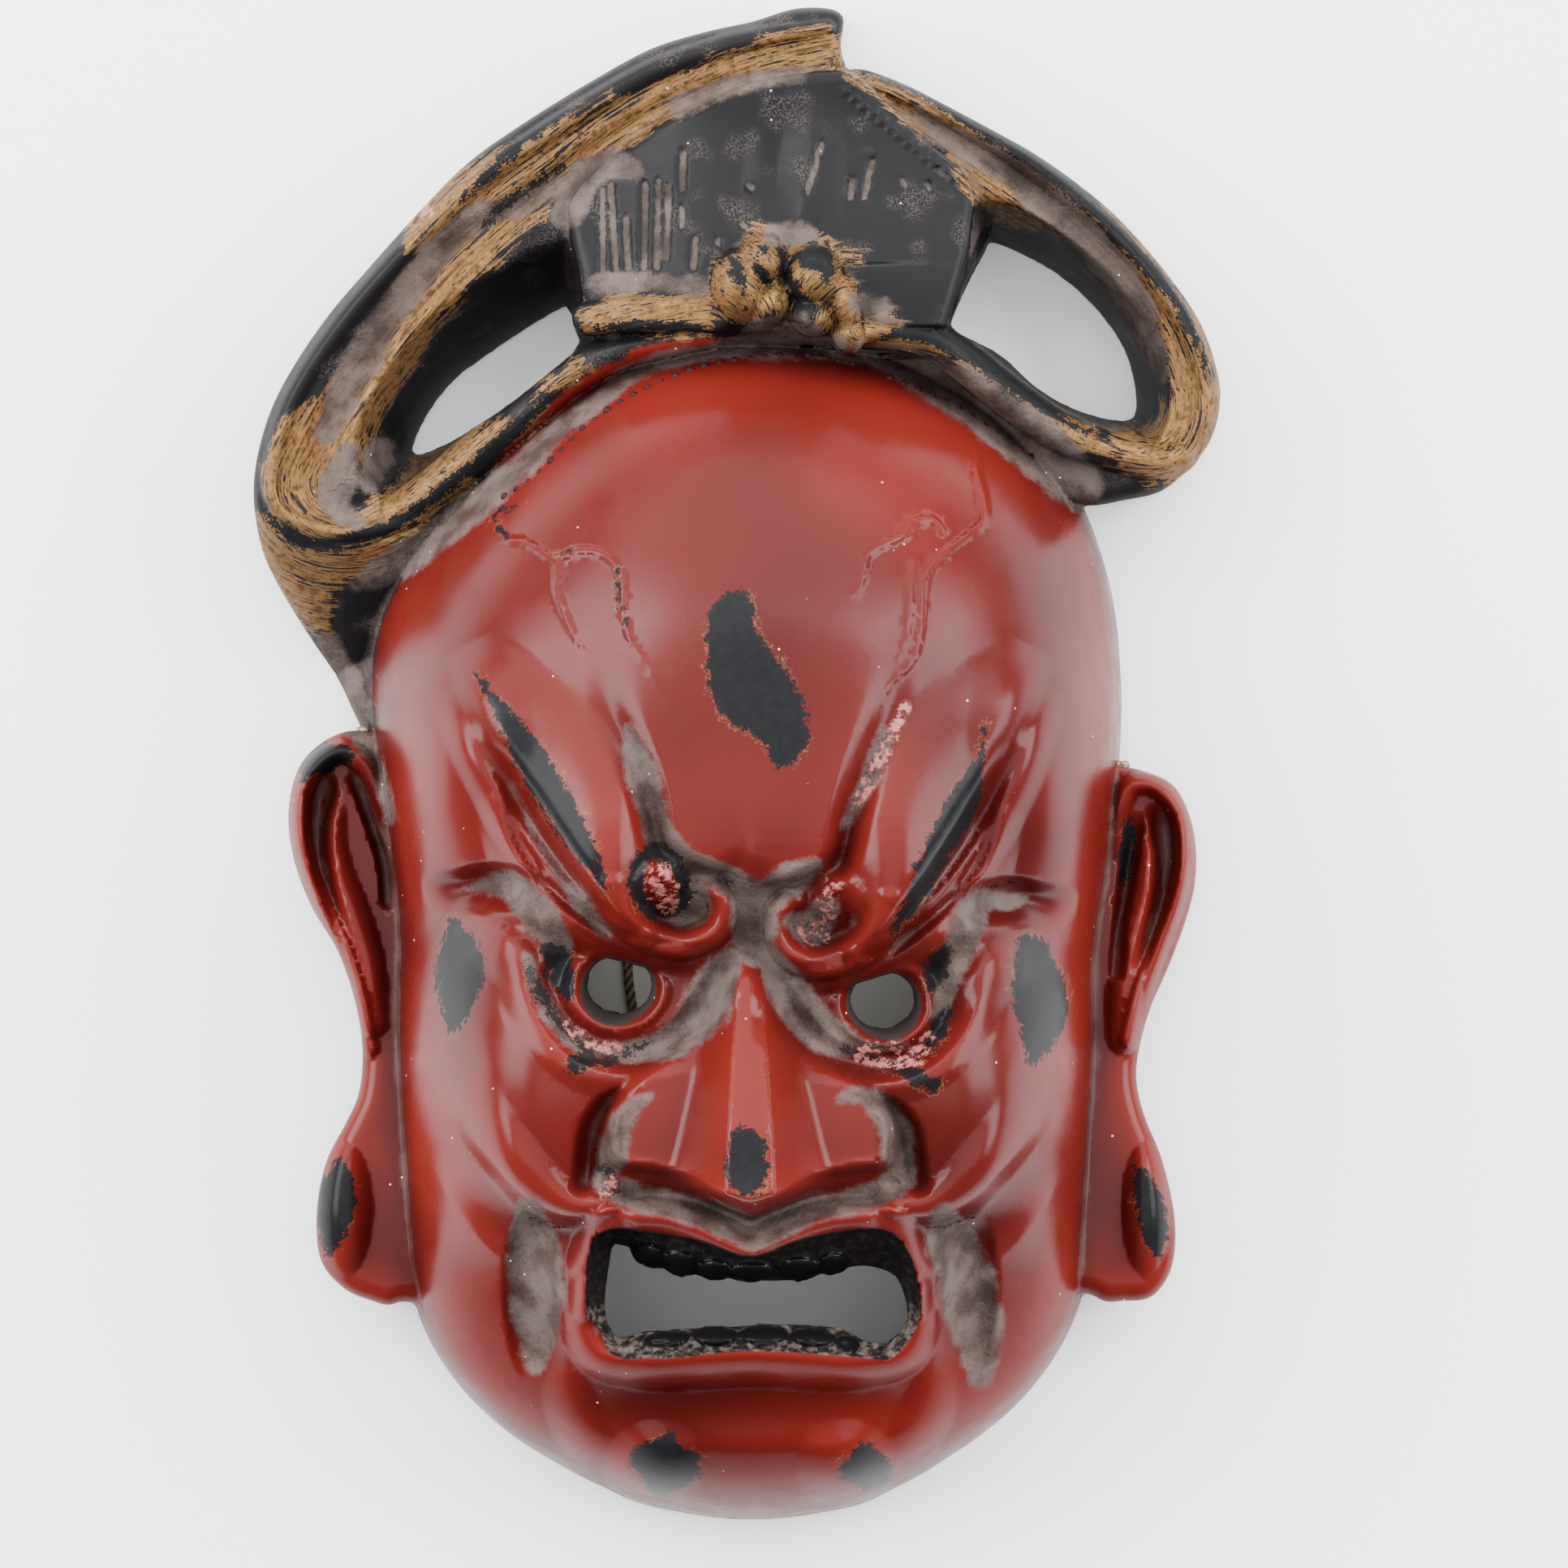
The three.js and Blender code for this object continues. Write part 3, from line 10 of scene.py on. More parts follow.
import bpy
import numpy as np
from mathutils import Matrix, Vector


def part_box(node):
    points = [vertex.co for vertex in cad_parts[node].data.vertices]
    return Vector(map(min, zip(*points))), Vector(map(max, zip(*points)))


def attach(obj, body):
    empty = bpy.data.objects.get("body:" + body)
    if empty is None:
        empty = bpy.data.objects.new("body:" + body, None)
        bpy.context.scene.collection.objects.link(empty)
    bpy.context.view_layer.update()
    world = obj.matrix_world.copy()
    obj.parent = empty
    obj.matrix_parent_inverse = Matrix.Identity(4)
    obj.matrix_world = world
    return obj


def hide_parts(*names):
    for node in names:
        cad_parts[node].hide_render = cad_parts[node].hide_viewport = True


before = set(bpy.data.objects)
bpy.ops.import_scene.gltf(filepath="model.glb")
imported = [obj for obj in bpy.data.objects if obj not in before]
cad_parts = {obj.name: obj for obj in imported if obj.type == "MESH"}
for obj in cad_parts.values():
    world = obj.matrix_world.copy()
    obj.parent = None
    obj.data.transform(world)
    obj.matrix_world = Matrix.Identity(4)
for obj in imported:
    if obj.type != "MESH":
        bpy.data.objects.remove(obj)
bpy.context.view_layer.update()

MM = 0.001


def put_in_scene(name, data):
    obj = bpy.data.objects.new(name, data)
    bpy.context.collection.objects.link(obj)
    return obj


print("nodes:", sorted(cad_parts))

# %% [markdown]
# ## Camera
# The outlines in this file are drawn as someone sees them who looks straight down on the mask from
# VIEW_HEIGHT over its rim. A drawing place (u, v) is where the line of sight meets the ground, so a
# point at height z lies nearer the middle by (VIEW_HEIGHT - z) / VIEW_HEIGHT. A camera could also be
# set by eye, but this rule lets one drawing serve the solid, the skin and the paint. The knot of the
# cord, which the frame already holds, gives the shift from the drawing to the frame.

# %% The camera and the drawing's place in the frame
VIEW_HEIGHT = 1300.0
FRAME_HALF = 193.2
SENSOR = 36.0
KNOT_HEIGHT = 17.0
KNOT_DRAWN = (-103.8, 12.6)


def nearer(z):
    return (VIEW_HEIGHT - z) / VIEW_HEIGHT


low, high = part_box("cord_knot_left")
knot_x, knot_y = (place * nearer(KNOT_HEIGHT) for place in KNOT_DRAWN)
SHIFT = ((low[0] + high[0]) / 2 - knot_x * MM, (low[1] + high[1]) / 2 - knot_y * MM)

camera = put_in_scene("camera", bpy.data.cameras.new("camera"))
camera.data.sensor_width = SENSOR
camera.data.lens = SENSOR / 2 * VIEW_HEIGHT / FRAME_HALF
camera.data.clip_start = 0.05
camera.location = (SHIFT[0], SHIFT[1], VIEW_HEIGHT * MM)
bpy.context.scene.camera = camera
print("drawing shift in mm:", [round(s / MM, 2) for s in SHIFT])

# %% [markdown]
# ## Head cord
# A hemp cord runs from a hole in front of one ear, over the ground inside the hollow, to the other
# ear, and an overhand knot outside each wall holds it. A bevelled curve would give a smooth tube. The
# real one is twisted from three strands, so its section here is a trefoil that turns along the line,
# swept as a mesh: the twist is then real and not only painted.

# %% Where the cord lies
CORD_RADIUS = 1.2
KNOT_RADIUS = 2.2
KNOT_STRAND = 0.75
GROUND = CORD_RADIUS + 0.2
RIGHT_KNOT_DRAWN = (83.4, 4.2)
left_knot, right_knot = ([c * nearer(KNOT_HEIGHT) for c in place] for place in (KNOT_DRAWN, RIGHT_KNOT_DRAWN))
KNOT_GAP = 0.3
CORD_LAY, KNOT_LAY = 7.5, 4.0
ROUTE = [
    (left_knot[0] + KNOT_RADIUS + KNOT_GAP, left_knot[1], KNOT_HEIGHT), (-92, left_knot[1], KNOT_HEIGHT),
    (-84, 12, 16), (-76, 10, 9), (-69, 7, 4.4), (-63, 3.5, 2.4), (-57, -1.5, GROUND + 0.3),
    (-47, -13, GROUND), (-39, -32, GROUND), (-38, -50, GROUND), (-33, -70, GROUND), (-18, -86, GROUND),
    (4, -90, GROUND), (26, -86, GROUND), (44, -70, GROUND), (52, -48, GROUND), (54.5, -28, GROUND),
    (57, -12, GROUND + 0.3), (59, -5, 2.4), (62, 0, 5.4), (67, 3, 12),
    (73, right_knot[1], KNOT_HEIGHT), (right_knot[0] - KNOT_RADIUS - KNOT_GAP, right_knot[1], KNOT_HEIGHT),
]

# %% Even points along a line
def even_line(rows, spacing):
    """Points at even spacing along a centripetal Catmull-Rom line"""
    r = np.asarray(rows, float)
    r = np.vstack([2 * r[0] - r[1], r, 2 * r[-1] - r[-2]])
    parts = []
    for a, b, c, d in zip(r[:-3], r[1:-2], r[2:-1], r[3:]):
        t0 = 0.0
        t1 = t0 + np.linalg.norm(b - a) ** 0.5
        t2 = t1 + np.linalg.norm(c - b) ** 0.5
        t3 = t2 + np.linalg.norm(d - c) ** 0.5
        t = np.linspace(t1, t2, 24, endpoint=False)[:, None]
        ends = ((a, b, t0, t1), (b, c, t1, t2), (c, d, t2, t3))
        ab, bc, cd = (((stop - t) * p + (t - start) * q) / (stop - start) for p, q, start, stop in ends)
        abc, bcd = ((t2 - t) * ab + (t - t0) * bc) / (t2 - t0), ((t3 - t) * bc + (t - t1) * cd) / (t3 - t1)
        parts.append(((t2 - t) * abc + (t - t1) * bcd) / (t2 - t1))
    whole = np.vstack(parts + [r[-2:-1]])
    lengths = np.concatenate([[0], np.cumsum(np.linalg.norm(np.diff(whole, axis=0), axis=1))])
    at = np.linspace(0, lengths[-1], max(2, round(lengths[-1] / spacing)))
    return np.stack([np.interp(at, lengths, whole[:, n]) for n in range(3)], axis=1), lengths[-1]


route, cord_length = even_line(ROUTE, 0.8)
route = route * MM + (*SHIFT, 0)
print("cord:", round(cord_length, 1), "mm in", len(route), "points")

# %% A twisted tube along a line
STRANDS = 3
GROOVE = 0.16
RING = 21


def carried_frames(path, closed):
    """Two directions across the line at each of its points, carried along with the least turning"""
    ahead = np.roll(path, -1, axis=0) - np.roll(path, 1, axis=0)
    if not closed:
        ahead[0], ahead[-1] = path[1] - path[0], path[-1] - path[-2]
    ahead /= np.linalg.norm(ahead, axis=1, keepdims=True)
    side = np.cross(ahead[0], (0.3, 0.5, 0.8))
    sides = []
    for direction in ahead:
        side = side - direction * side.dot(direction)
        side = side / np.linalg.norm(side)
        sides.append(side)
    sides = np.array(sides)
    return sides, np.cross(ahead, sides)


def twisted_tube(name, path, radius, lay, closed=False):
    """A rope's mesh: its section has one lobe for each strand and turns once in every lay"""
    across, up = carried_frames(path, closed)
    run = np.concatenate([[0], np.cumsum(np.linalg.norm(np.diff(path, axis=0), axis=1))])
    turns = max(1, round((run[-1] if closed else 0) / lay)) * run / run[-1] if closed else run / lay
    angle = np.linspace(0, 2 * np.pi, RING, endpoint=False)
    lobe = np.abs(np.cos(STRANDS / 2 * (angle[None, :] - 2 * np.pi * turns[:, None])))
    reach = radius * (1 - GROOVE + GROOVE * lobe)[:, :, None]
    ring = np.cos(angle)[None, :, None] * across[:, None] + np.sin(angle)[None, :, None] * up[:, None]
    points = (path[:, None] + reach * ring).reshape(-1, 3)
    rows = len(path)
    faces = []
    for i in range(rows if closed else rows - 1):
        here, ahead = i * RING, (i + 1) % rows * RING
        for j in range(RING):
            k = (j + 1) % RING
            faces.append((here + j, here + k, ahead + k, ahead + j))
    if not closed:
        faces += [tuple(range(RING))[::-1], tuple((rows - 1) * RING + j for j in range(RING))]
    tube = bpy.data.meshes.new(name)
    tube.from_pydata(points.tolist(), [], faces)
    tube.shade_smooth()
    tube.attributes.new("lobe", "FLOAT", "POINT").data.foreach_set("value", lobe.astype(np.float32).ravel())
    return put_in_scene(name, tube)

# %% The cord takes its solid's place
cord = twisted_tube("cord_twist", route, CORD_RADIUS * MM, CORD_LAY * MM)
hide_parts("cord")
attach(cord, "root")
list(route[0])
print("cord's mesh:", len(cord.data.polygons), "faces")

# %% Knots of the cord
def overhand(radius, turns=200):
    """A trefoil line: the shape of an overhand knot pulled tight"""
    t = np.linspace(0, 2 * np.pi, turns, endpoint=False)
    wave = [np.sin(t) + 2 * np.sin(2 * t), np.cos(t) - 2 * np.cos(2 * t), -1.6 * np.sin(3 * t)]
    return np.stack(wave, axis=1) * radius / 3.6


knots = []
for side in ("left", "right"):
    low, high = (np.array(c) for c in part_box(f"cord_knot_{side}"))
    shape = overhand(KNOT_RADIUS - KNOT_STRAND - 0.05) * MM + (low + high) / 2
    knot = twisted_tube(f"knot_{side}", shape, KNOT_STRAND * MM, KNOT_LAY * MM, closed=True)
    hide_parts(f"cord_knot_{side}")
    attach(knot, "root")
    knots.append(knot)
print("knots:", [knot.name for knot in knots])

# %% [markdown]
# ## Materials are graphs
# A material is a graph of shader nodes. Written out in full, each node takes four or five lines, so
# this helper makes a node, sets what goes into it and hands back its result in one call. Colours are
# given as a painter would read them off a chart, in steps of 0 to 255.

# %% A short way to write shader nodes
class Graph:
    """Nodes of one material; an input is a number, a colour or another node's output"""

    def __init__(self, name):
        self.material = bpy.data.materials.new(name)
        self.material.use_nodes = True
        self.tree = self.material.node_tree
        self.tree.nodes.clear()

    def put(self, kind, inputs=(), out=0, **settings):
        node = self.tree.nodes.new("ShaderNode" + kind)
        for name, value in settings.items():
            setattr(node, name, value)
        for name, value in dict(inputs).items():
            if isinstance(value, bpy.types.NodeSocket):
                self.tree.links.new(value, node.inputs[name])
            else:
                node.inputs[name].default_value = value
        return node.outputs[out] if node.outputs else node

    def attribute(self, name, out="Fac"):
        return self.put("Attribute", attribute_name=name, out=out)

    def math(self, operation, a, b=0.0, c=0.0):
        return self.put("Math", {0: a, 1: b, 2: c}, operation=operation)

    def chain(self, operation, values):
        result = values[0]
        for value in values[1:]:
            result = self.math(operation, result, value)
        return result

    def add(self, *values):
        return self.chain("ADD", values)

    def times(self, *values):
        return self.chain("MULTIPLY", values)

    def most(self, *values):
        return self.chain("MAXIMUM", values)

    def rest_of(self, share):
        return self.math("SUBTRACT", 1.0, share)

    def swing(self, noise, size):
        """A noise about zero in place of a half, made larger"""
        return self.times(self.add(noise, -0.5), size)

    def step(self, low, high, x):
        return self.put("MapRange", {0: x, 1: low, 2: high, 3: 0.0, 4: 1.0}, interpolation_type="SMOOTHSTEP")

    def mix(self, share, a, b):
        return self.put("Mix", {0: share, 6: a, 7: b}, out=2, data_type="RGBA")

    def stretch(self, vector, scale):
        return self.put("VectorMath", {0: vector, 1: scale}, operation="MULTIPLY")

    def noise(self, vector, scale, detail=3.0, rough=0.55):
        return self.put("TexNoise", {"Vector": vector, "Scale": scale, "Detail": detail, "Roughness": rough})

    def surface(self, colour, rough, **more):
        return self.put("BsdfPrincipled", {"Base Color": colour, "Roughness": rough, **more})

    def bump(self, height, distance):
        return self.put("Bump", {"Strength": 1.0, "Distance": distance, "Height": height})

    def millimetres(self):
        """Where a point lies on the object, in millimetres"""
        return self.stretch(self.put("TexCoord", out="Object"), (1000.0, 1000.0, 1000.0))

    def finish(self, shader):
        self.put("OutputMaterial", {"Surface": shader})
        return self.material


def rgb(red, green, blue):
    """A colour as the eye reads it on a screen, 0 to 255, in the renderer's linear values"""
    channels = (red, green, blue)
    return (*(((c / 255 + 0.055) / 1.055) ** 2.4 if c > 10 else c / 3295 for c in channels), 1.0)

# %% Hemp
def hemp_material():
    g = Graph("hemp")
    place = g.millimetres()
    fibre = g.noise(place, 2.6, 4.0, 0.7)
    # the grooves between the strands are painted darker and their crowns lighter: painted shade and painted
    # light, mixed with the fibre's own random tone
    shade = g.add(g.times(g.attribute("lobe"), 0.7), g.swing(fibre, 0.9))
    colour = g.mix(g.step(0.1, 0.9, shade), rgb(74, 62, 46), rgb(184, 170, 142))
    return g.finish(g.surface(colour, 0.9, Normal=g.bump(fibre, 0.0003)))


hemp = hemp_material()
for piece in [cord, *knots]:
    piece.data.materials.append(hemp)

# %% [markdown]
# ## Floor and light
# The mask lies on pale paper under studio lamps. One wide box hangs over it, two stand to its left and
# right and one behind the topknot, so the lacquer shines on the slopes that face them while the chin
# stays deep, and a small lamp lets some light in under the shell. A picture of a studio could light
# the scene too, but a few boxes are plain to read and to move.

# %% Floor
HALF_FLOOR = 3.0
# where the paper starts to darken with distance and where it is darkest: painted shade of the lamps' fall-off
FLOOR_SHADE_FROM, FLOOR_SHADE_FULL = 450, 900


def floor_material():
    g = Graph("paper")
    place = g.millimetres()
    fibre = g.noise(place, 0.4, 1.0)
    colour = g.mix(fibre, rgb(247, 248, 250), rgb(252, 253, 254))
    far = g.put("VectorMath", {0: place}, operation="LENGTH", out=1)
    # far from the mask the paper is painted grey, darker with distance: painted shade where the lamps' light
    # falls off
    colour = g.mix(g.step(FLOOR_SHADE_FROM, FLOOR_SHADE_FULL, far), colour, rgb(120, 120, 124))
    return g.finish(g.surface(colour, 0.85))


floor_mesh = bpy.data.meshes.new("floor")
corners = [(x * HALF_FLOOR, y * HALF_FLOOR, 0) for x, y in ((-1, -1), (1, -1), (1, 1), (-1, 1))]
floor_mesh.from_pydata(corners, [], [(0, 1, 2, 3)])
floor_mesh.materials.append(floor_material())
floor = put_in_scene("floor", floor_mesh)
print("floor:", 2 * HALF_FLOOR, "m square")

# %% Lights
def soft_box(name, place, toward, size, power, colour=(1.0, 1.0, 1.0)):
    light = bpy.data.lights.new(name, "AREA")
    light.shape = "RECTANGLE"
    light.size, light.size_y = size
    light.energy = power
    light.color = colour
    obj = put_in_scene(name, light)
    obj.location = place
    obj.rotation_euler = (Vector(toward) - Vector(place)).to_track_quat("-Z", "Y").to_euler()


FACE = (0, 0, 0.03)
WARM = (1.0, 0.94, 0.86)
soft_box("box_left", (-1.5, 0.5, 1.0), FACE, (1.8, 1.1), 105)
soft_box("box_right", (1.5, 0.45, 1.0), FACE, (1.8, 1.1), 92)
soft_box("box_over", (0.0, 0.35, 2.6), FACE, (3.4, 3.4), 104)
soft_box("box_top", (-0.1, 1.8, 1.15), FACE, (3.2, 2.0), 98)
soft_box("under_nose", (0.002, -0.03, 0.05), (0.002, -0.04, 0), (0.05, 0.03), 0.006, WARM)
world = bpy.data.worlds.new("studio")
world.use_nodes = True
sky = world.node_tree.nodes["Background"]
sky.inputs["Color"].default_value = (0.95, 0.97, 1.0, 1.0)
sky.inputs["Strength"].default_value = 0.52
bpy.context.scene.world = world

# %% [markdown]
# ## Tools of the drawing
# The mask is one skin with no seams, and its forms flow into each other. It could be sculpted by hand
# or put together from many meshes, but then each form would have to be joined to its neighbours. Here
# a number is worked out for every point in space, positive inside the wood and negative outside, and
# the skin is where it is zero. Forms are added to that number, so they blend by themselves.

# %% Drawing tools
def smooth(low, high, x):
    t = np.clip((x - low) / (high - low), 0, 1)
    return t * t * (3 - 2 * t)


def soft_max(a, b, k):
    t = np.clip(0.5 + 0.5 * (a - b) / k, 0, 1)
    return b + (a - b) * t + k * t * (1 - t)


def soft_min(a, b, k):
    return -soft_max(-a, -b, k)


def line(rows, closed=False, per=6):
    """A smooth line through rows of u, v and any further values, with per points for each span"""
    r = np.asarray(rows, float)
    if closed:
        r = np.vstack([r[-1:], r, r[:2]])
    else:
        r = np.vstack([2 * r[0] - r[1], r, 2 * r[-1] - r[-2]])
    t = np.arange(per)[:, None] / per
    spans = [
        0.5 * (2 * b + (c - a) * t + (2 * a - 5 * b + 4 * c - d) * t**2 + (3 * b - a - 3 * c + d) * t**3)
        for a, b, c, d in zip(r[:-3], r[1:-2], r[2:-1], r[3:])
    ]
    return np.vstack(spans + [r[-2:-1]])

# %% Outlines and distances
def nearest(u, v, path, reach):
    """Which places lie within reach of a path: their indices, distance, side, run and carried values"""
    low, high = path[:, :2].min(0) - reach, path[:, :2].max(0) + reach
    where = np.nonzero((u > low[0]) & (u < high[0]) & (v > low[1]) & (v < high[1]))[0]
    p, q = u[where], v[where]
    best = np.full(len(where), np.inf)
    values = np.zeros((len(where), path.shape[1] - 2))
    side, run, gone = np.ones(len(where)), np.zeros(len(where)), 0.0
    for a, b in zip(path[:-1], path[1:]):
        du, dv = b[:2] - a[:2]
        length = math.hypot(du, dv)
        if length < 1e-9:
            continue
        t = np.clip(((p - a[0]) * du + (q - a[1]) * dv) / length**2, 0, 1)
        ou, ov = p - a[0] - t * du, q - a[1] - t * dv
        far = ou * ou + ov * ov
        closer = far < best
        best[closer] = far[closer]
        values[closer] = a[2:] + t[closer, None] * (b[2:] - a[2:])
        side[closer] = np.sign(du * ov - dv * ou)[closer]
        run[closer] = gone + t[closer] * length
        gone += length
    return where, np.sqrt(best), side, run, values


def roll(u, v, path, left, right, height, power):
    """A raised line whose half width on each side and height are carried columns of the path"""
    reach = np.abs(path[:, [left, right]]).max()
    where, distance, side, _, values = nearest(u, v, path, reach)
    width = np.where(side >= 0, values[:, left - 2], values[:, right - 2])
    q = distance / np.maximum(width, 1e-6)
    out = np.zeros_like(u)
    out[where] = np.where(q < 1, values[:, height - 2] * np.maximum(0, 1 - q * q) ** power, 0)
    return out


def ridge(u, v, rows, power):
    """rows: u, v, half width, height"""
    return roll(u, v, line(rows), 2, 2, 3, power)

# %% Swells and ridges
def lean(u, v, rows, power):
    """rows: u, v, half width on the left of the way, on the right, height"""
    return roll(u, v, line(rows), 2, 3, 4, power)


def swell(u, v, centre, radii, degrees, power):
    turn = math.radians(degrees)
    x, y = u - centre[0], v - centre[1]
    x, y = x * math.cos(turn) + y * math.sin(turn), y * math.cos(turn) - x * math.sin(turn)
    return np.maximum(0, 1 - (x / radii[0]) ** 2 - (y / radii[1]) ** 2) ** power


def inside(u, v, rows, per=6, reach=60.0):
    """Signed distance to a closed outline, positive inside, cut off at reach"""
    path = line(rows, closed=True, per=per)[:, :2]
    where, distance, _, _, _ = nearest(u, v, path, reach)
    p, q = u[where], v[where]
    odd = np.zeros(len(where), bool)
    for a, b in zip(path[:-1], path[1:]):
        crosses = (a[1] > q) != (b[1] > q)
        if crosses.any():
            odd ^= crosses & (p < a[0] + (q - a[1]) / (b[1] - a[1] + 1e-300) * (b[0] - a[0]))
    out = np.full_like(u, -reach)
    out[where] = np.where(odd, distance, -distance).clip(-reach, reach)
    return out


def total(u, v, forms):
    out = np.zeros_like(u)
    for scale, shape, *sizes in forms:
        out += scale * shape(u, v, *sizes)
    return out

# %% [markdown]
# ## Head
# The head is an egg cut off at the ground. Its outline is drawn, and its height over each place comes
# from a rule between the outline and the crown, so the dome has no points of its own to keep smooth.

# %% The head's outline and dome
AXIS, AXIS_SOFT = -8.4, 0.3
HUB = (-8.8, -36.8)
DOME_SCALE = 95.0
DOME_POWER = 2.2
HEAD_OUTLINE = [
    (78.4, -36.8), (80.4, -6.8), (82.8, 23.2), (80.2, 49.2), (70, 75.2), (49.8, 97.2), (20.8, 112.8),
    (-7.2, 118.8), (-35.2, 113.2), (-61.2, 97.2), (-84.2, 71.2), (-98.2, 47.2), (-101.8, 23.2),
    (-99.8, 1.2), (-96.8, -18.8), (-96.8, -36.8), (-97.6, -56.8), (-96.4, -86.8), (-94.2, -116.8),
    (-87.6, -138.8), (-73.2, -156.8), (-53.2, -169.8), (-29.2, -178), (-6.2, -180.4), (16.8, -177.2),
    (38.8, -168), (58.8, -152.8), (71.2, -134.8), (75.8, -116.8), (77.2, -86.8), (78, -62.8),
]
DOME_HEIGHTS = [
    (-180.4, 88), (-126.8, 89), (-86.8, 90), (-44.8, 92), (-14.8, 99), (13.2, 101), (43.2, 101),
    (73.2, 100), (117.2, 98),
]
# how much lower the face's right half sits, by height in the drawing
LOP = [
    (-126.8, 0), (-86.8, 0.4), (-68.8, 3), (-49.8, 5), (-32.8, 3.6), (-6.8, 3), (21.2, 0), (65.2, 2),
    (133.2, 0),
]


def along(v, rows):
    table = line(rows, per=8)
    return np.interp(v, table[:, 0], table[:, 1])


def outline_radius(angle):
    path = line(HEAD_OUTLINE, closed=True, per=12)[:-1] - HUB
    angles, radii = np.arctan2(path[:, 1], path[:, 0]), np.hypot(path[:, 0], path[:, 1])
    order = np.argsort(angles)
    angles, radii = angles[order], radii[order]
    angles = np.concatenate([angles[-3:] - 2 * np.pi, angles, angles[:3] + 2 * np.pi])
    return np.interp(angle, angles, np.concatenate([radii[-3:], radii, radii[:3]]))


def dome(u, v):
    """How far out to the rim a place is, as a power, and the dome's height there"""
    angle = np.arctan2(v - HUB[1], u - HUB[0])
    out = np.hypot(u - HUB[0], v - HUB[1]) / outline_radius(angle)
    power = 3 - 0.35 * np.maximum(np.sin(angle), 0) ** 2 + 1.2 * np.maximum(-np.sin(angle), 0) ** 4
    return out**power, along(v, DOME_HEIGHTS)


def half(u, v):
    """Places out from the middle line and up, in which the face's two halves are one drawing"""
    return np.sqrt((u - AXIS) ** 2 + AXIS_SOFT), v + along(v, LOP) * smooth(-6, 6, u - AXIS)

# %% [markdown]
# ## Face
# The carver's forms are few: swells for the forehead, cheeks and chin, ridges for brows, lids and
# lips, and grooves between them. Each is one row with its place, size and turn. The face is nearly
# the same on both sides, so a row is written once for the left half and mirrored about a line that
# leans.

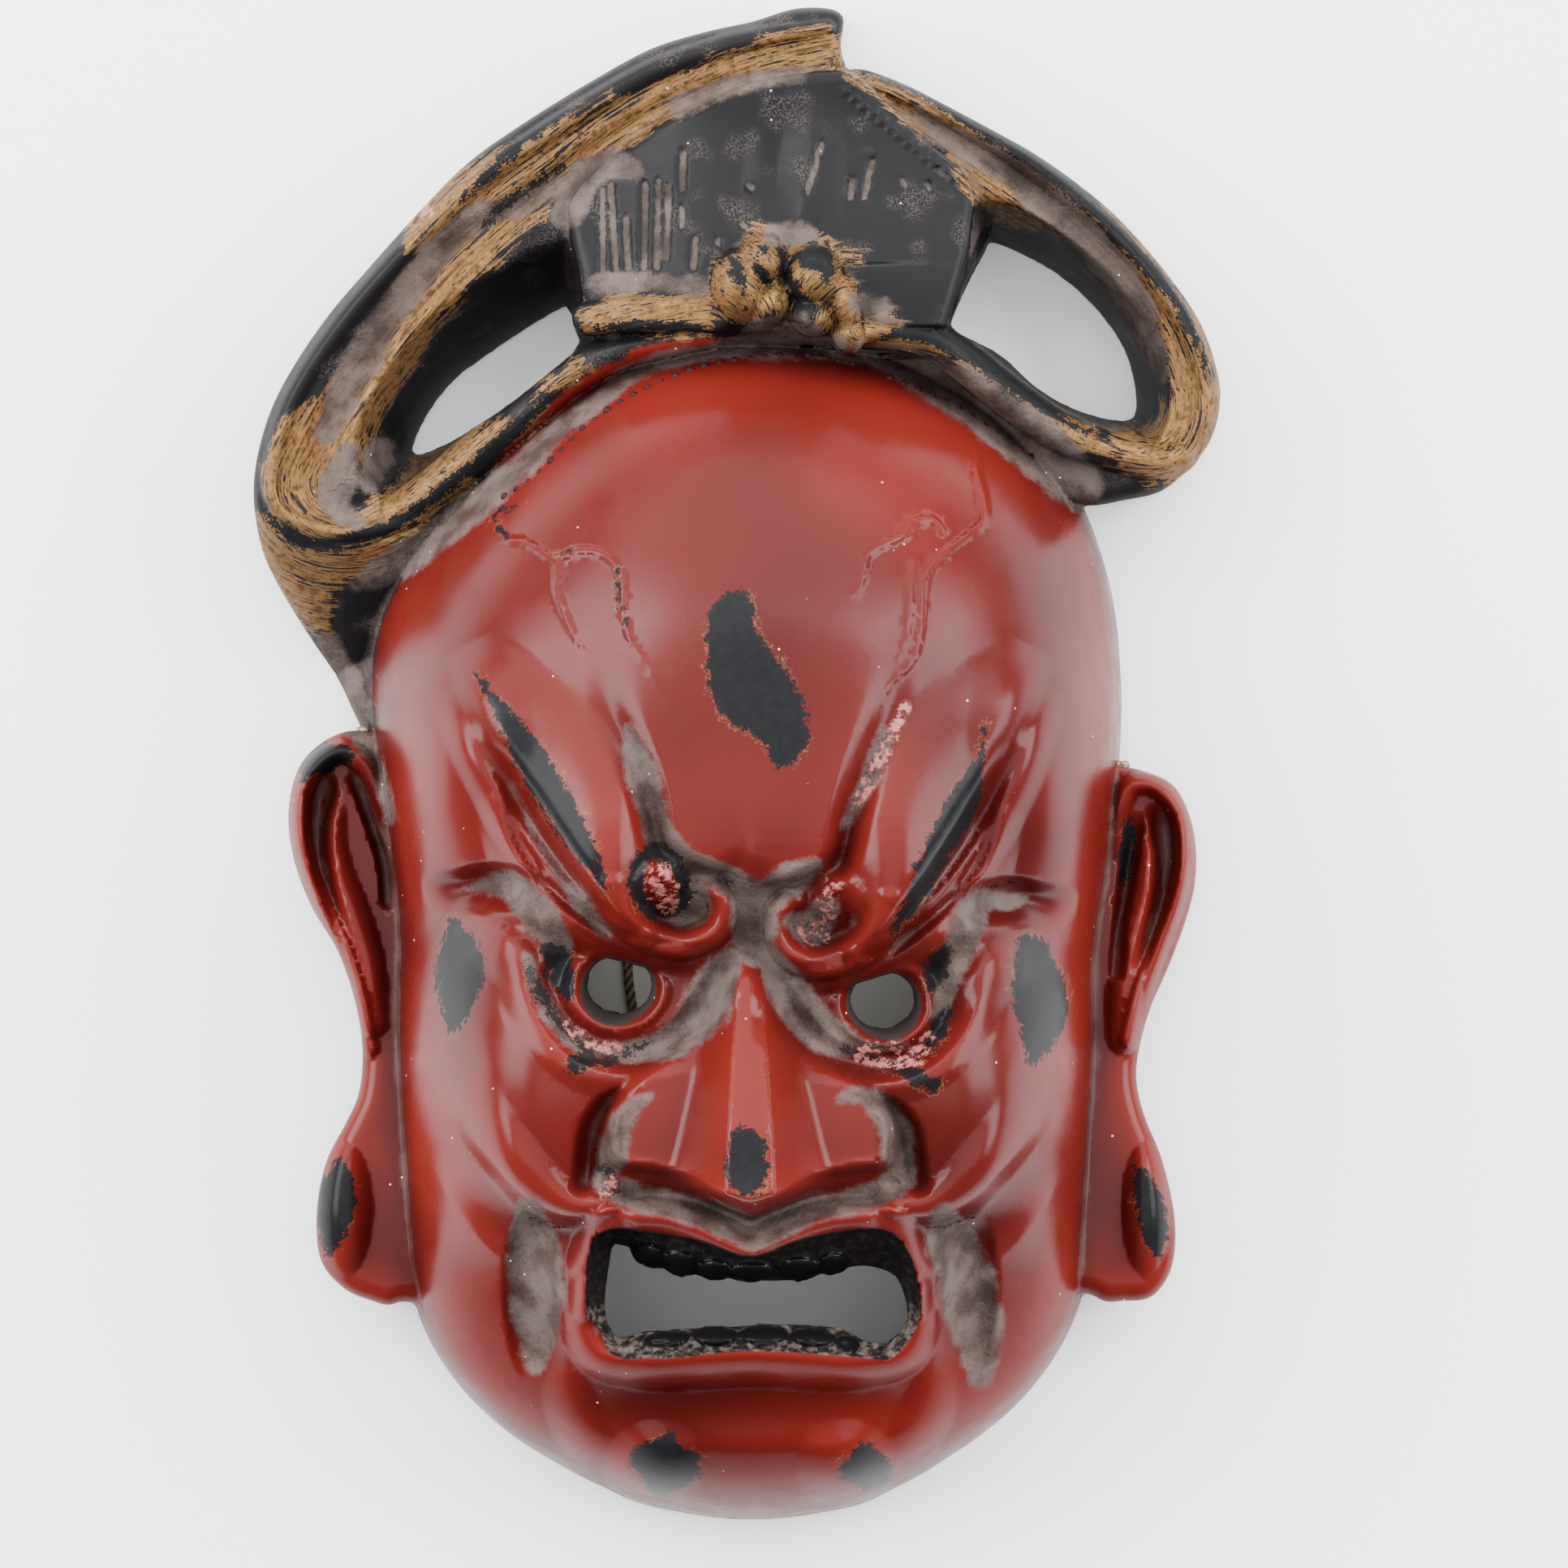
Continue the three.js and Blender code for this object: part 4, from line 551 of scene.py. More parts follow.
# %% The face's relief
RELIEF = [
    # Broad forms of the face
    (4, swell, (0, 41.2), (58, 74), 0, 2),  # forehead
    (6, swell, (76.8, 0.2), (24, 46), 6, 2),  # temple
    (-3.5, swell, (53.8, -3.8), (24, 44), 24, 2),  # hollow outside the brow
    (-10, swell, (29.8, -48.8), (34, 25), 0, 1.6),  # eye socket
    (11, swell, (60.4, -70.8), (33, 50), 12, 1.6),  # cheek
    (-5, swell, (76.8, -86.8), (18, 46), -10, 2),  # hollow outside the cheek
    (-5, swell, (55.8, -124.8), (24, 34), -8, 2),  # hollow of the lower cheek
    (4, swell, (0, -126.8), (60, 34), 0, 2),  # muzzle
    (-4.5, swell, (0, -151.2), (52, 14), 0, 2),  # under the lower lip
    (5.5, swell, (0, -166.8), (52, 24), 0, 2),  # chin
    (-5.5, swell, (0, -32.8), (15, 18), 0, 1.6),  # between the brows
    # Brow, its inner groove and its curl
    (-1, ridge, [
        (37.2, 30.2, 5, 0), (34.4, 20.2, 6, 0.8), (29.2, 7.2, 6.4, 2.2), (25.2, -3.8, 6, 3.4),
        (22.4, -14.8, 5.4, 4), (16.4, -20.4, 5, 4), (6.8, -23.8, 4.4, 3.2),
    ], 2),
    (1, lean, [
        (70.4, 34.2, 6, 10, 0), (64.8, 23.2, 8, 16, 2.5), (56.4, 9.2, 9.5, 21, 5.5),
        (46.8, -6.8, 10, 23, 8.2), (39.6, -17.8, 9.5, 20, 9.8), (35, -26.4, 8, 14, 10),
        (31.2, -32.8, 6.5, 8.5, 8.5), (26.8, -36.4, 5, 5, 4),
    ], 1.5),
    (-5.5, swell, (17.2, -29.2), (12.5, 9.5), 15, 1.3),  # hollow of the curl
    (1, ridge, [
        (34.4, -26.4, 4.6, 1), (31.2, -32.8, 4.8, 4.5), (24.8, -37.2, 4.6, 7), (16.4, -39.2, 4.4, 7.4),
        (9.4, -36.4, 4.2, 7.4), (6.8, -30.8, 3.9, 7), (8.6, -26.4, 3.2, 5.6), (12, -24.8, 2.2, 2),
    ], 0.9),
    (4, swell, (21.8, -24.8), (7, 9.5), 20, 1.2),  # knob in the curl
    # Folds of the lids and the crease at the temple's foot
    (1, lean, [
        (75.2, 23.2, 5, 5, 0), (65.2, 2.2, 6.5, 5, 2.6), (54.8, -15.2, 6.5, 4.6, 3.8),
        (44.4, -27.6, 6, 4, 4.2), (34.8, -35.2, 5, 3.6, 3.4), (26.8, -39.2, 4, 3, 1.5),
    ], 1.8),
    (-1, ridge, [
        (64.8, 11.2, 3.4, 0), (55.2, -5.8, 4, 2.6), (44.8, -21.2, 3.8, 3.4), (36.8, -31.2, 3.2, 3.2),
        (29.8, -37.2, 2.4, 1.5),
    ], 1.6),
    (1, lean, [
        (64, -1.8, 5, 3, 0), (58.8, -17.2, 6.4, 4.2, 2.8), (50, -30, 6.4, 4.2, 4.2),
        (39.2, -37.6, 5.6, 4, 5), (28.4, -41.4, 4.8, 3.8, 5), (18.8, -42.8, 4, 3.4, 3.4),
        (10.8, -43.2, 3, 3, 0),
    ], 1.5),
    (-1, ridge, [
        (61.6, -3.8, 2.4, 0), (55.8, -15.8, 2.8, 2.2), (46.8, -26.8, 2.8, 2.8),
        (37.8, -34.4, 2.4, 2.4), (29.8, -38.4, 2, 0.8),
    ], 1.5),
    (-1, lean, [
        (80.8, -25.6, 5, 4, 0), (71.8, -24.8, 8, 5, 3.5), (62.8, -24, 8.5, 5.5, 5.5),
        (53.8, -26, 7, 5, 4.5), (44.8, -30.8, 4, 4, 1),
    ], 1.6),
    # Hollow under the eye, the lens beside it and the cheek's upper edge
    (-1, ridge, [
        (54.4, -42, 3, 0), (52, -49.8, 4, 2.2), (46.8, -58.4, 4.6, 3.2), (39.4, -64.8, 4.8, 3.6),
        (28.4, -66.8, 4.8, 3.6), (17.2, -61.6, 5, 3.6), (10, -52.8, 5, 3.6), (5.6, -44.8, 4.4, 2.6),
    ], 1.5),
    (-2.2, swell, (47.6, -46), (4.4, 9.5), 18, 1.3),  # lens beside the eye
    (1, lean, [
        (72.8, -34.8, 7, 5, 0), (64.8, -36.8, 9, 5, 2.4), (56.8, -42.8, 9, 5, 3),
        (51.2, -54.8, 9, 4.4, 3), (44, -66, 8, 4, 2.6), (32.8, -71.2, 7, 4, 1.8),
        (20.8, -68.8, 6, 4, 0.6),
    ], 1.6),
    # Cheek's lower fold, the nose's wing and the hook of the nostril
    (1, lean, [
        (71.6, -70.8, 5, 8, 0), (67.2, -82.8, 6, 9, 1.6), (59.6, -93.2, 6, 9, 3),
        (51.2, -101.2, 6, 8, 4.4), (42.4, -104.4, 5.4, 6, 5), (34.4, -102, 4.4, 4, 4),
        (30.4, -99.2, 2.4, 2.4, 0),
    ], 1.4),
    (-1, lean, [
        (73.6, -86.8, 8, 4, 0), (64, -99.6, 10, 5, 3.4), (55.2, -107.6, 11, 5, 5),
        (44.8, -110.8, 9, 4.6, 4.6), (32.8, -108.4, 5, 4, 2),
    ], 1.5),
    (1, ridge, [
        (32, -75.8, 2, 0), (33.8, -81.6, 2.6, 1), (34, -88, 2.8, 1.4), (32.6, -93.2, 2.8, 1.6),
        (24.8, -94.8, 2.6, 1.2), (15.8, -96.8, 2.4, 0.8), (7.8, -100.8, 2, 0),
    ], 1.5),
    (-1, ridge, [
        (24.8, -74.8, 1.6, 0), (30.8, -76.8, 2.6, 1.6), (36, -79.6, 3.2, 4), (39, -85.2, 3.8, 5.4),
        (39.8, -91.2, 4, 5.6), (40.4, -96, 3.8, 4.8), (42, -99.2, 3, 2), (44.4, -100.8, 2, 0),
    ], 1.3),
    # Channel under the nose, lips, laugh line and chin
    (-1, ridge, [
        (35.8, -100, 3.4, 1.5), (24.8, -101.6, 4.2, 3), (12.8, -104.4, 4.8, 4), (4.8, -108, 5.2, 5),
        (0, -109.6, 5.4, 5.4),
    ], 1.4),
    (1, ridge, [
        (40.4, -128.8, 4.4, 2.5), (40.4, -117.2, 5, 4.6), (36.4, -109.6, 5, 6), (28.8, -106.6, 5, 6.6),
        (18.4, -107.4, 5, 6.6), (8.4, -111, 5.2, 6.8), (0, -115, 5.4, 7),
    ], 1.2),
    (1, ridge, [
        (30.4, -103.2, 2, 0), (18.8, -103.6, 2.4, 1.6), (8.8, -106.6, 2.4, 1.8), (1.8, -110.2, 2, 1),
    ], 1.5),
    (1, ridge, [
        (40.8, -124.8, 4.4, 2.5), (41.6, -134.8, 5, 4.4), (36.8, -141.4, 5.6, 5.6),
        (24.8, -143.6, 6, 6.6), (12.8, -143, 6.4, 7), (0, -142.2, 6.4, 7),
    ], 1.2),
    (-1, ridge, [
        (53.6, -104, 4, 0), (54.4, -114.8, 6.5, 3), (53.8, -126.8, 7.5, 4), (52.6, -136.8, 7.2, 3.6),
        (51.2, -146, 6, 0),
    ], 1.1),
    (4, swell, (23.6, -168), (13, 12), 0, 1.5),  # chin boss
    (1, ridge, [(44, -142, 4, 0), (44.8, -150.8, 7, 1.8), (40, -161.2, 7, 1.8), (32, -166.8, 5, 0)], 1.6),
]

# %% The nose and its wings
NOSE_ROOT = -42.8
NOSE_LENGTH = 60.0
NOSE_RISE = 18.0
NOSE_FOOT = [(0, -104.8), (8, -101.6), (16.8, -98.2), (26.8, -95.8), (36, -94.8)]


def nose(a, b):
    down = NOSE_ROOT - b
    t = np.clip(down / NOSE_LENGTH, 0, 1.2)
    flat, foot = 3.2 + 3 * t, 9.5 + 14 * t**1.3
    q = np.clip((a - flat) / (foot - flat), 0, 1)
    profile = 0.82 * (1 - q) ** 1.7 + 0.18 * (1 - smooth(0, 1, q))
    edge = smooth(-3.2, 0.8, b - along(a, NOSE_FOOT))
    return (6 + NOSE_RISE * t) * profile * smooth(-5, 3, down) * edge


WING = [
    (-10, -52.8), (0, -54), (10.8, -59.2), (20.8, -66.4), (28, -72.4), (32.6, -76.8), (34.6, -82.4),
    (34.8, -89.2), (33.4, -93.8), (24.8, -95.4), (15.8, -97.4), (7.8, -101.8), (0, -104.2),
    (-10, -104.2),
]
WING_RISE = 7.5


def wings(a, b):
    """The nose's sides spread into two flat wings whose outer edges stand over the cheeks"""
    return WING_RISE * smooth(-1.3, 2.2, inside(a, b, WING, reach=20)) * smooth(-50, -88, b)

# %% The forehead's keel
VEE = [
    (0, 81.2), (20.8, 65.2), (35.2, 41.2), (34.4, 23.2), (29.2, 8.2), (24.4, -4.8), (21.2, -15.2),
    (13.8, -20), (0, -24.4),
]
VEE = VEE + [(-a, b) for a, b in VEE[-2:0:-1]]


def forehead(a, b):
    """The forehead swells out over the channel between the brows and ends there in a keel"""
    edge = inside(a, b, VEE, reach=30)
    step = smooth(29.2, -6.8, b) * (2.4 * smooth(-1.2, 3, edge) - 1.2)
    keel = 1.3 * np.exp(-((a / 2) ** 2)) * smooth(-2.8, -21.8, b) * smooth(-0.5, 1, edge)
    return step + keel

# %% Rings of the lids
# each eye: its centre, how far it leans over its depth, and the upper lid's height there and tilt
EYES = [((-40.8, -48.8), (0, -2.4), -43.6, -0.247), ((24.4, -52.8), (0, -2.0), -47.2, 0.306)]
LID_RING = (11.2, 10.0)


def below_lid(u, v, at, lid, tilt):
    return (lid + tilt * (u - at[0]) - v) / math.hypot(1, tilt)


def lid_rings(u, v):
    out = np.zeros_like(u)
    for at, drop, lid, tilt in EYES:
        q = np.hypot((u - at[0] - drop[0] / 2) / LID_RING[0], (v - at[1] - drop[1] / 2) / LID_RING[1])
        out += 2.8 * np.exp(-(((q - 1) / 0.16) ** 2)) * smooth(-2, 3, below_lid(u, v, at, lid, tilt))
    return out

# %% [markdown]
# ## Eyes and mouth
# The wearer sees and breathes through real openings. They are cut as three shapes that are taken away
# from the form: two short cones under the lids, and the mouth with its recess and upper teeth.

# %% Openings of the face
EYE_HOLE, EYE_FRONT, EYE_DEPTHS = (7.6, 6.6), (9.4, 8.6), (72.0, 90.0)
MOUTH_HOLE = [
    (-41.8, -113.2), (-37.2, -114.8), (-33.2, -117.8), (-23.2, -119.8), (-13.2, -121.8),
    (-1.2, -122.4), (8.8, -120.8), (14.8, -119.2), (20.8, -118.8), (26.8, -120.8), (29.2, -124.8),
    (30.4, -130.8), (28.8, -134.8), (24.8, -137.8), (18.8, -136.8), (14.8, -134.4), (2.8, -133.2),
    (-13.2, -133.8), (-33.2, -134.8), (-40.2, -136.4), (-43.6, -132.8), (-44.2, -126.8),
    (-43.2, -118.8),
]
MOUTH_RECESS = [
    (-47.6, -114.8), (-42.8, -110), (-33.2, -110.8), (-21.2, -112.8), (-8.4, -116.8), (3.8, -112.8),
    (18.8, -110), (27.8, -112), (32.4, -122), (32.8, -134.8), (28.8, -141.2), (14.8, -140.4),
    (-8.4, -139.2), (-33.2, -141.2), (-44.2, -139.6), (-48.2, -130.8),
]
MOUTH_FLOOR, MOUTH_SLOPE = 72.0, 1.4
TEETH = [
    ((-33.2, -116), (4.6, 3.0), -20), ((-25.6, -118), (5.0, 3.2), -12), ((-17.2, -119.6), (5.0, 2.6), -4),
    ((-8.2, -120.2), (6.5, 2.4), 0), ((3.8, -119.4), (5.4, 3.0), 6), ((12, -118), (4.4, 2.8), 12),
    ((-28.8, -136.8), (6.0, 2.2), 4), ((-17.2, -136), (6.4, 2.4), 0), ((-5.2, -135.8), (6.4, 2.6), 0),
    ((6.8, -136.4), (6.0, 2.4), -4), ((15.6, -138), (3.4, 2.2), -10),
]
TOOTH_RISE = 4.0


def teeth(u, v):
    return TOOTH_RISE * np.max([swell(u, v, *tooth, 0.5) for tooth in TEETH], axis=0)


def openings(p, z):
    """Positive in the mouth and the eyes, at places of the drawing and a height"""
    over_floor = z - (MOUTH_FLOOR + MOUTH_SLOPE * np.maximum(-p["hole"], 0) + p["teeth"])
    mouth = np.maximum(p["hole"], np.minimum(p["recess"], over_floor))
    out = np.minimum(mouth, np.maximum(over_floor, 0.5 - p["teeth"]))
    t = smooth(*EYE_DEPTHS, z)
    for at, drop, lid, tilt in EYES:
        across, up = (EYE_HOLE[n] + t * (EYE_FRONT[n] - EYE_HOLE[n]) for n in (0, 1))
        q = np.hypot((p["u"] - at[0] - t * drop[0]) / across, (p["v"] - at[1] - t * drop[1]) / up)
        out = np.maximum(out, np.minimum(up * (1 - q), below_lid(p["u"], p["v"], at, lid, tilt)))
    return out

# %% [markdown]
# ## Ears
# Each ear is a thin wing with a rolled rim and a long lobe, and its back slopes away from the ground.
# It is a slab with an outline of its own, joined to the head with a soft union.

# %% Ears
EAR_TOP, EAR_UNDER, EAR_UNDER_SLOPE, EAR_ROOT = 24.0, 5.0, 0.4, 90.0
EARS = {
    "left": (
        [
            (-105.2, 13.2), (-113.2, 10.8), (-119.6, 4.2), (-122.2, -6.8), (-120.8, -18.8),
            (-116.2, -30.8), (-110.2, -40.8), (-106, -52.8), (-104, -64.8), (-104.8, -75.8),
            (-108.2, -83.8), (-112.8, -92.8), (-115.2, -104.8), (-114.4, -116.8), (-109.2, -123.8),
            (-102.2, -127.2), (-95.2, -127.8), (-85.2, -118.8), (-85.2, -46.8), (-89.2, -6.8),
            (-97.2, 9.2),
        ],
        [
            (1, ridge, [
                (-96, -18.8, 2, 0), (-99.2, -6.8, 2.6, 4), (-102.8, 4.2, 3, 5), (-109.2, 8.2, 3, 6),
                (-115.6, 4.2, 3, 6), (-119.2, -4.8, 2.8, 6), (-118.4, -16.8, 2.6, 6),
                (-114, -28.8, 2.6, 5.5), (-109.2, -39.8, 2.6, 4.5), (-105.2, -52.8, 2.8, 4),
                (-102.8, -64.8, 3, 3),
            ], 0.8),
            (-1, ridge, [
                (-113.6, 3.2, 3, 0), (-114, -1.8, 4, 5), (-114.8, -10.8, 3.6, 5.5),
                (-113.6, -20.8, 3, 5), (-110.8, -30.8, 2.4, 3), (-107.2, -39.8, 2, 0),
            ], 0.8),
            (-1, ridge, [
                (-106.8, 3.2, 2, 0), (-104, -1.8, 2.4, 4), (-100.8, -10.8, 2.4, 5),
                (-98.4, -19.8, 2, 5), (-97.6, -28.8, 2, 4),
            ], 0.8),
            (1, ridge, [
                (-109.2, -3.8, 2, 0), (-111.2, -10.8, 3, 3), (-110.4, -20.8, 4, 4),
                (-106.4, -32.8, 4.6, 4.5), (-102.8, -44.8, 4.4, 4), (-101.6, -58.8, 4, 3),
            ], 1),
            (5, swell, (-108.4, -104.8), (7, 17), 0, 1),
        ],
    ),
    "right": (
        [
            (81.8, 4.2), (88.8, 3.2), (96.4, -0.8), (100.8, -10.8), (101.4, -22.8), (99.2, -32.8),
            (94.8, -44.8), (90.4, -54.8), (87.6, -64.8), (86.8, -72.8), (88.8, -81.8), (93.2, -92.8),
            (96.2, -106.8), (95.6, -118.8), (90.8, -126.2), (83.8, -127.4), (76.8, -126.4),
            (66.8, -114.8), (66.8, -46.8), (70.8, -6.8), (75.8, 2.2),
        ],
        [
            (1, ridge, [
                (81.2, -18.8, 2, 0), (82.4, -6.8, 2.6, 4), (85.2, -0.4, 3, 5), (91.8, -0.4, 3, 6),
                (97.2, -6.8, 3, 6), (98.4, -16.8, 2.8, 6), (96.8, -27.8, 2.6, 5.5),
                (92.8, -38.8, 2.6, 4.5), (88.4, -50.8, 2.8, 4), (85.2, -62.8, 3, 3),
            ], 0.8),
            (-1, ridge, [
                (90.8, -4.8, 3, 0), (93.2, -9.8, 3.6, 5), (94, -18.8, 3.6, 5.5), (92.4, -28.8, 3, 5),
                (89.2, -38.8, 2.4, 3), (86.4, -47.8, 2, 0),
            ], 0.8),
            (-1, ridge, [
                (87.6, -6.8, 2, 0), (86, -12.8, 2.4, 4), (84.4, -22.8, 2.4, 5), (82.8, -34.8, 2, 4),
                (82, -46.8, 2, 3),
            ], 0.8),
            (1, ridge, [
                (89.2, -12.8, 2, 0), (90, -18.8, 3, 3), (88.8, -28.8, 4, 4), (86, -38.8, 4.6, 4.5),
                (84, -50.8, 4.4, 4), (83.6, -62.8, 4, 3),
            ], 1),
            (5, swell, (89.2, -104.8), (6, 17), 0, 1),
        ],
    ),
}

# %% [markdown]
# ## Ribbon and topknot
# A stiff ribbon makes a loop on each side of the topknot and a bow in front of it. A loop is a slab
# with a hole and a hollow top that follows the ribbon's run, so the same few numbers give its outer
# edge, its hole and the trough between them.

# %% The ribbon's loops
LOOPS = {
    "left": dict(
        outline=[
            (14, 190), (3.8, 191.4), (-8.2, 188), (-19.2, 185.6), (-33.2, 181.2), (-49.2, 172.4),
            (-65.2, 162.4), (-78, 153.2), (-89.2, 142), (-103.2, 126.4), (-113.6, 114), (-123.2, 99.2),
            (-128.4, 86.8), (-130.8, 73.2), (-129.2, 59.8), (-125.2, 50), (-117.6, 37.4), (-110, 26),
            (-105.2, 16), (-102.4, 13.2), (-93.2, 21.2), (-69.2, 65.2), (-33.2, 93.2), (-7.2, 97.2),
            (6.8, 113.2), (16.8, 133.2), (18.8, 153.2), (16.8, 171.2), (14, 181.2),
        ],
        hole=[
            (-53.4, 117.6), (-61.2, 113.6), (-73.2, 105.6), (-82, 98.8), (-88.8, 89.2), (-91, 81.6),
            (-81.2, 85.2), (-69.2, 92.6), (-55.2, 103.6), (-50.8, 108.2), (-52, 113.6),
        ],
        steep=[
            (-93.2, 73.2), (-81.2, 81.2), (-65.2, 91.2), (-49.2, 105.2), (-33.2, 105.2), (-33.2, 53.2),
            (-93.2, 53.2),
        ],
        hem=[
            (10.8, 186.8, 2, 1.6), (-7.2, 184, 3, 2.2), (-19.2, 180.8, 3, 2.4), (-33.2, 175.6, 3, 2.6),
            (-52, 164.8, 3, 2.6), (-72, 151.2, 3, 2.6), (-91.6, 133.6, 3, 2.6),
            (-107.6, 115.6, 3, 2.6), (-120.8, 96, 2.8, 2.6), (-126, 80, 2.6, 2.6),
            (-126, 70.8, 2.4, 2.6), (-120.8, 65.2, 2.4, 2.6), (-109.2, 62.2, 2.4, 2.4),
            (-93.2, 65.2, 2.4, 2), (-81.2, 73.2, 2.4, 1.6), (-65.2, 85.2, 2.4, 1),
        ],
        fall=[
            (-133.2, 73.2), (-127.2, 65.2), (-117.2, 60.8), (-105.2, 59.6), (-93.2, 62), (-81.2, 69.2),
            (-65.2, 81.2), (-53.2, 53.2), (-101.2, -6.8), (-143.2, 13.2),
        ],
        trough=[
            (6.8, 176.4, 1, 0), (-13.2, 173.2, 2.4, 0.8), (-33.2, 164.8, 3.4, 1.6),
            (-53.2, 150.8, 4.6, 2.6), (-69.2, 138.8, 5.4, 3.2), (-84.2, 128.8, 6, 3.6),
            (-96.2, 114.8, 6.4, 3.8), (-105.2, 101.2, 6.4, 3.8), (-112.2, 87.2, 6, 3.6),
            (-114.2, 75.2, 6, 3.4), (-109.2, 68.8, 5, 2.6), (-99.2, 68.8, 3.4, 0),
        ],
        rise=(33.0, 9.0, 20.0, 190.0),
        slope=2.2,
    ),
    "right": dict(
        outline=[
            (18.4, 176.4), (28.8, 173), (38.8, 168), (50.8, 161.6), (62.8, 154.8), (76, 145.2),
            (85.8, 136), (95.8, 124), (102.8, 113.2), (106.6, 102.2), (107.4, 94.2), (105.4, 85.6),
            (100.8, 79), (93.2, 72.4), (83.8, 70), (74.8, 68.8), (66.8, 72.4), (46.8, 89.2),
            (18.8, 97.2), (6.8, 109.2), (6.8, 133.2), (10.8, 157.2), (14.8, 173.2),
        ],
        hole=[
            (52, 133.2), (64.8, 127.2), (74.8, 119.2), (82.8, 108.8), (86, 99.2), (86.4, 91.6),
            (82.8, 89.8), (72.8, 92.2), (62.8, 97.6), (52.8, 106.4), (41.2, 112.8), (44.4, 121.2),
            (49.4, 130.8),
        ],
        steep=[(40.8, 117.2), (46.8, 109.2), (66.8, 93.2), (86.8, 87.2), (106.8, 53.2), (26.8, 53.2)],
        hem=[
            (21.8, 173.2, 2, 1.6), (32.8, 168.8, 2.8, 2.4), (46, 162, 3, 2.6), (61.2, 152.4, 3, 2.6),
            (75.8, 140.8, 3, 2.6), (87.2, 129.6, 3, 2.6), (96.8, 116.4, 3, 2.6),
            (103.2, 103.2, 3, 2.4), (104, 92.2, 3, 2.2), (99.2, 82.8, 3, 1.6),
        ],
        fall=None,
        trough=[
            (28.8, 167.6, 1, 0), (38.8, 161.2, 3, 1.6), (49.8, 155.2, 4.6, 3), (59.8, 148.4, 5.2, 3.6),
            (69.2, 140, 5.4, 3.8), (78, 130.4, 5.2, 3.8), (85.6, 119.6, 5, 3.4),
            (90.8, 108.2, 4.4, 2.6), (94, 97.2, 3, 0),
        ],
        rise=(32.0, 10.0, 90.0, 175.0),
        slope=3.4,
    ),
}

# %% A loop's form
STEEP = 6.0
EDGE_ROUND = 5.0


def loop(u, v, shape):
    """A loop's side, top and rounding: a hem along the outside, a wall that slopes to the hole inside"""
    out = -inside(u, v, shape["hole"])
    base, more, low, high = shape["rise"]
    face = base + more * smooth(low, high, v)
    face = face + ridge(u, v, shape["hem"], 0.8) - ridge(u, v, shape["trough"], 1.4)
    if shape["fall"]:
        face = face - 0.9 * np.maximum(inside(u, v, shape["fall"], per=4) - 1, 0)
    steep = inside(u, v, shape["steep"], per=1) > 0
    wall = np.maximum(2, 4 + np.where(steep, STEEP, shape["slope"]) * out)
    side = np.minimum(inside(u, v, shape["outline"]), out)
    return side, soft_min(face, wall, 3), EDGE_ROUND

# %% Strips of the ribbon
FAR_DOWN = -99.0
STRIPS = [
    ([
        (-99.2, 65.2, 4, 36), (-89.2, 70.8, 5, 39), (-73.2, 83.6, 5.4, 44), (-63.2, 92.2, 5.4, 47),
        (-53.2, 100.8, 5.2, 50), (-41.2, 106.8, 4.6, 54), (-29.2, 109.2, 4, 57), (-18.8, 110.4, 3, 60),
    ], 8, 2),
    ([
        (17.2, 111.6, 3.4, 63), (27.8, 111.6, 4.4, 62), (36.8, 109.6, 4.8, 60), (44.8, 104, 5, 57),
        (54.8, 96, 5, 52), (66.8, 87.6, 5, 46), (78.8, 82.8, 5, 41), (90.8, 80, 5, 38),
        (97.8, 81.2, 4, 36),
    ], 8, 2),
    ([
        (-48.8, 114.8, 4, 57), (-41.2, 115.6, 4.6, 59), (-31.2, 116, 4.6, 61), (-17.2, 115.6, 4.6, 63),
    ], 6, 4),
]


def strip(u, v, rows, drop, power):
    """A round-topped strip along rows of u, v, half width, top"""
    where, distance, _, _, values = nearest(u, v, line(rows), max(row[2] for row in rows) + 4)
    side, top = np.full_like(u, FAR_DOWN), np.full_like(u, FAR_DOWN)
    side[where] = values[:, 0] - distance
    q = np.minimum(1, distance / values[:, 0])
    top[where] = values[:, 1] - drop + drop * (1 - q**power) ** (1 / power)
    return side, top, 0.5

# %% Topknot
TOPKNOT = [
    (-53.2, 142.8), (-44.2, 153.2), (-33.2, 161.6), (-23.2, 167.2), (-12.2, 171.6), (-1.2, 174.4),
    (14.8, 176), (21.8, 171.2), (34.8, 158.8), (47.2, 145.6), (40.4, 114.2), (32.8, 99.2),
    (12.8, 97.2), (-19.2, 97.2), (-41.2, 99.2), (-47.6, 113.2), (-50.8, 127.2),
]
FACET = [(45.8, 146), (49.8, 143.6), (50.4, 134.8), (44.8, 124.2), (40.4, 112.8), (34.8, 117.2)]
FACET_TOP, FACET_SLOPE, FACET_EDGE = 44, 3, 42.8
CREASE = [(0.4, 169.2, 6, 0), (-1.2, 159.2, 8, 1.6), (-2.8, 147.2, 8, 2.2), (-4, 135.2, 7, 0)]
CREST = [(6.8, 171.2, 6, 0), (7.2, 159.2, 8, 1.2), (6.8, 147.2, 9, 1.6), (4.8, 133.2, 8, 0)]
TOPKNOT_FOOT, TOPKNOT_FOOT_SLOPE = 113.2, 3.5


def topknot(u, v):
    top = 50 + 12 * smooth(170, 115, v) - 9 * smooth(-13.2, -53.2, u)
    top = top + ridge(u, v, CREST, 1) - ridge(u, v, CREASE, 1) - comb_marks(u, v) + 0.7 * crest_beads(u, v)
    return inside(u, v, TOPKNOT, per=2), top - TOPKNOT_FOOT_SLOPE * np.maximum(0, TOPKNOT_FOOT - v), 3


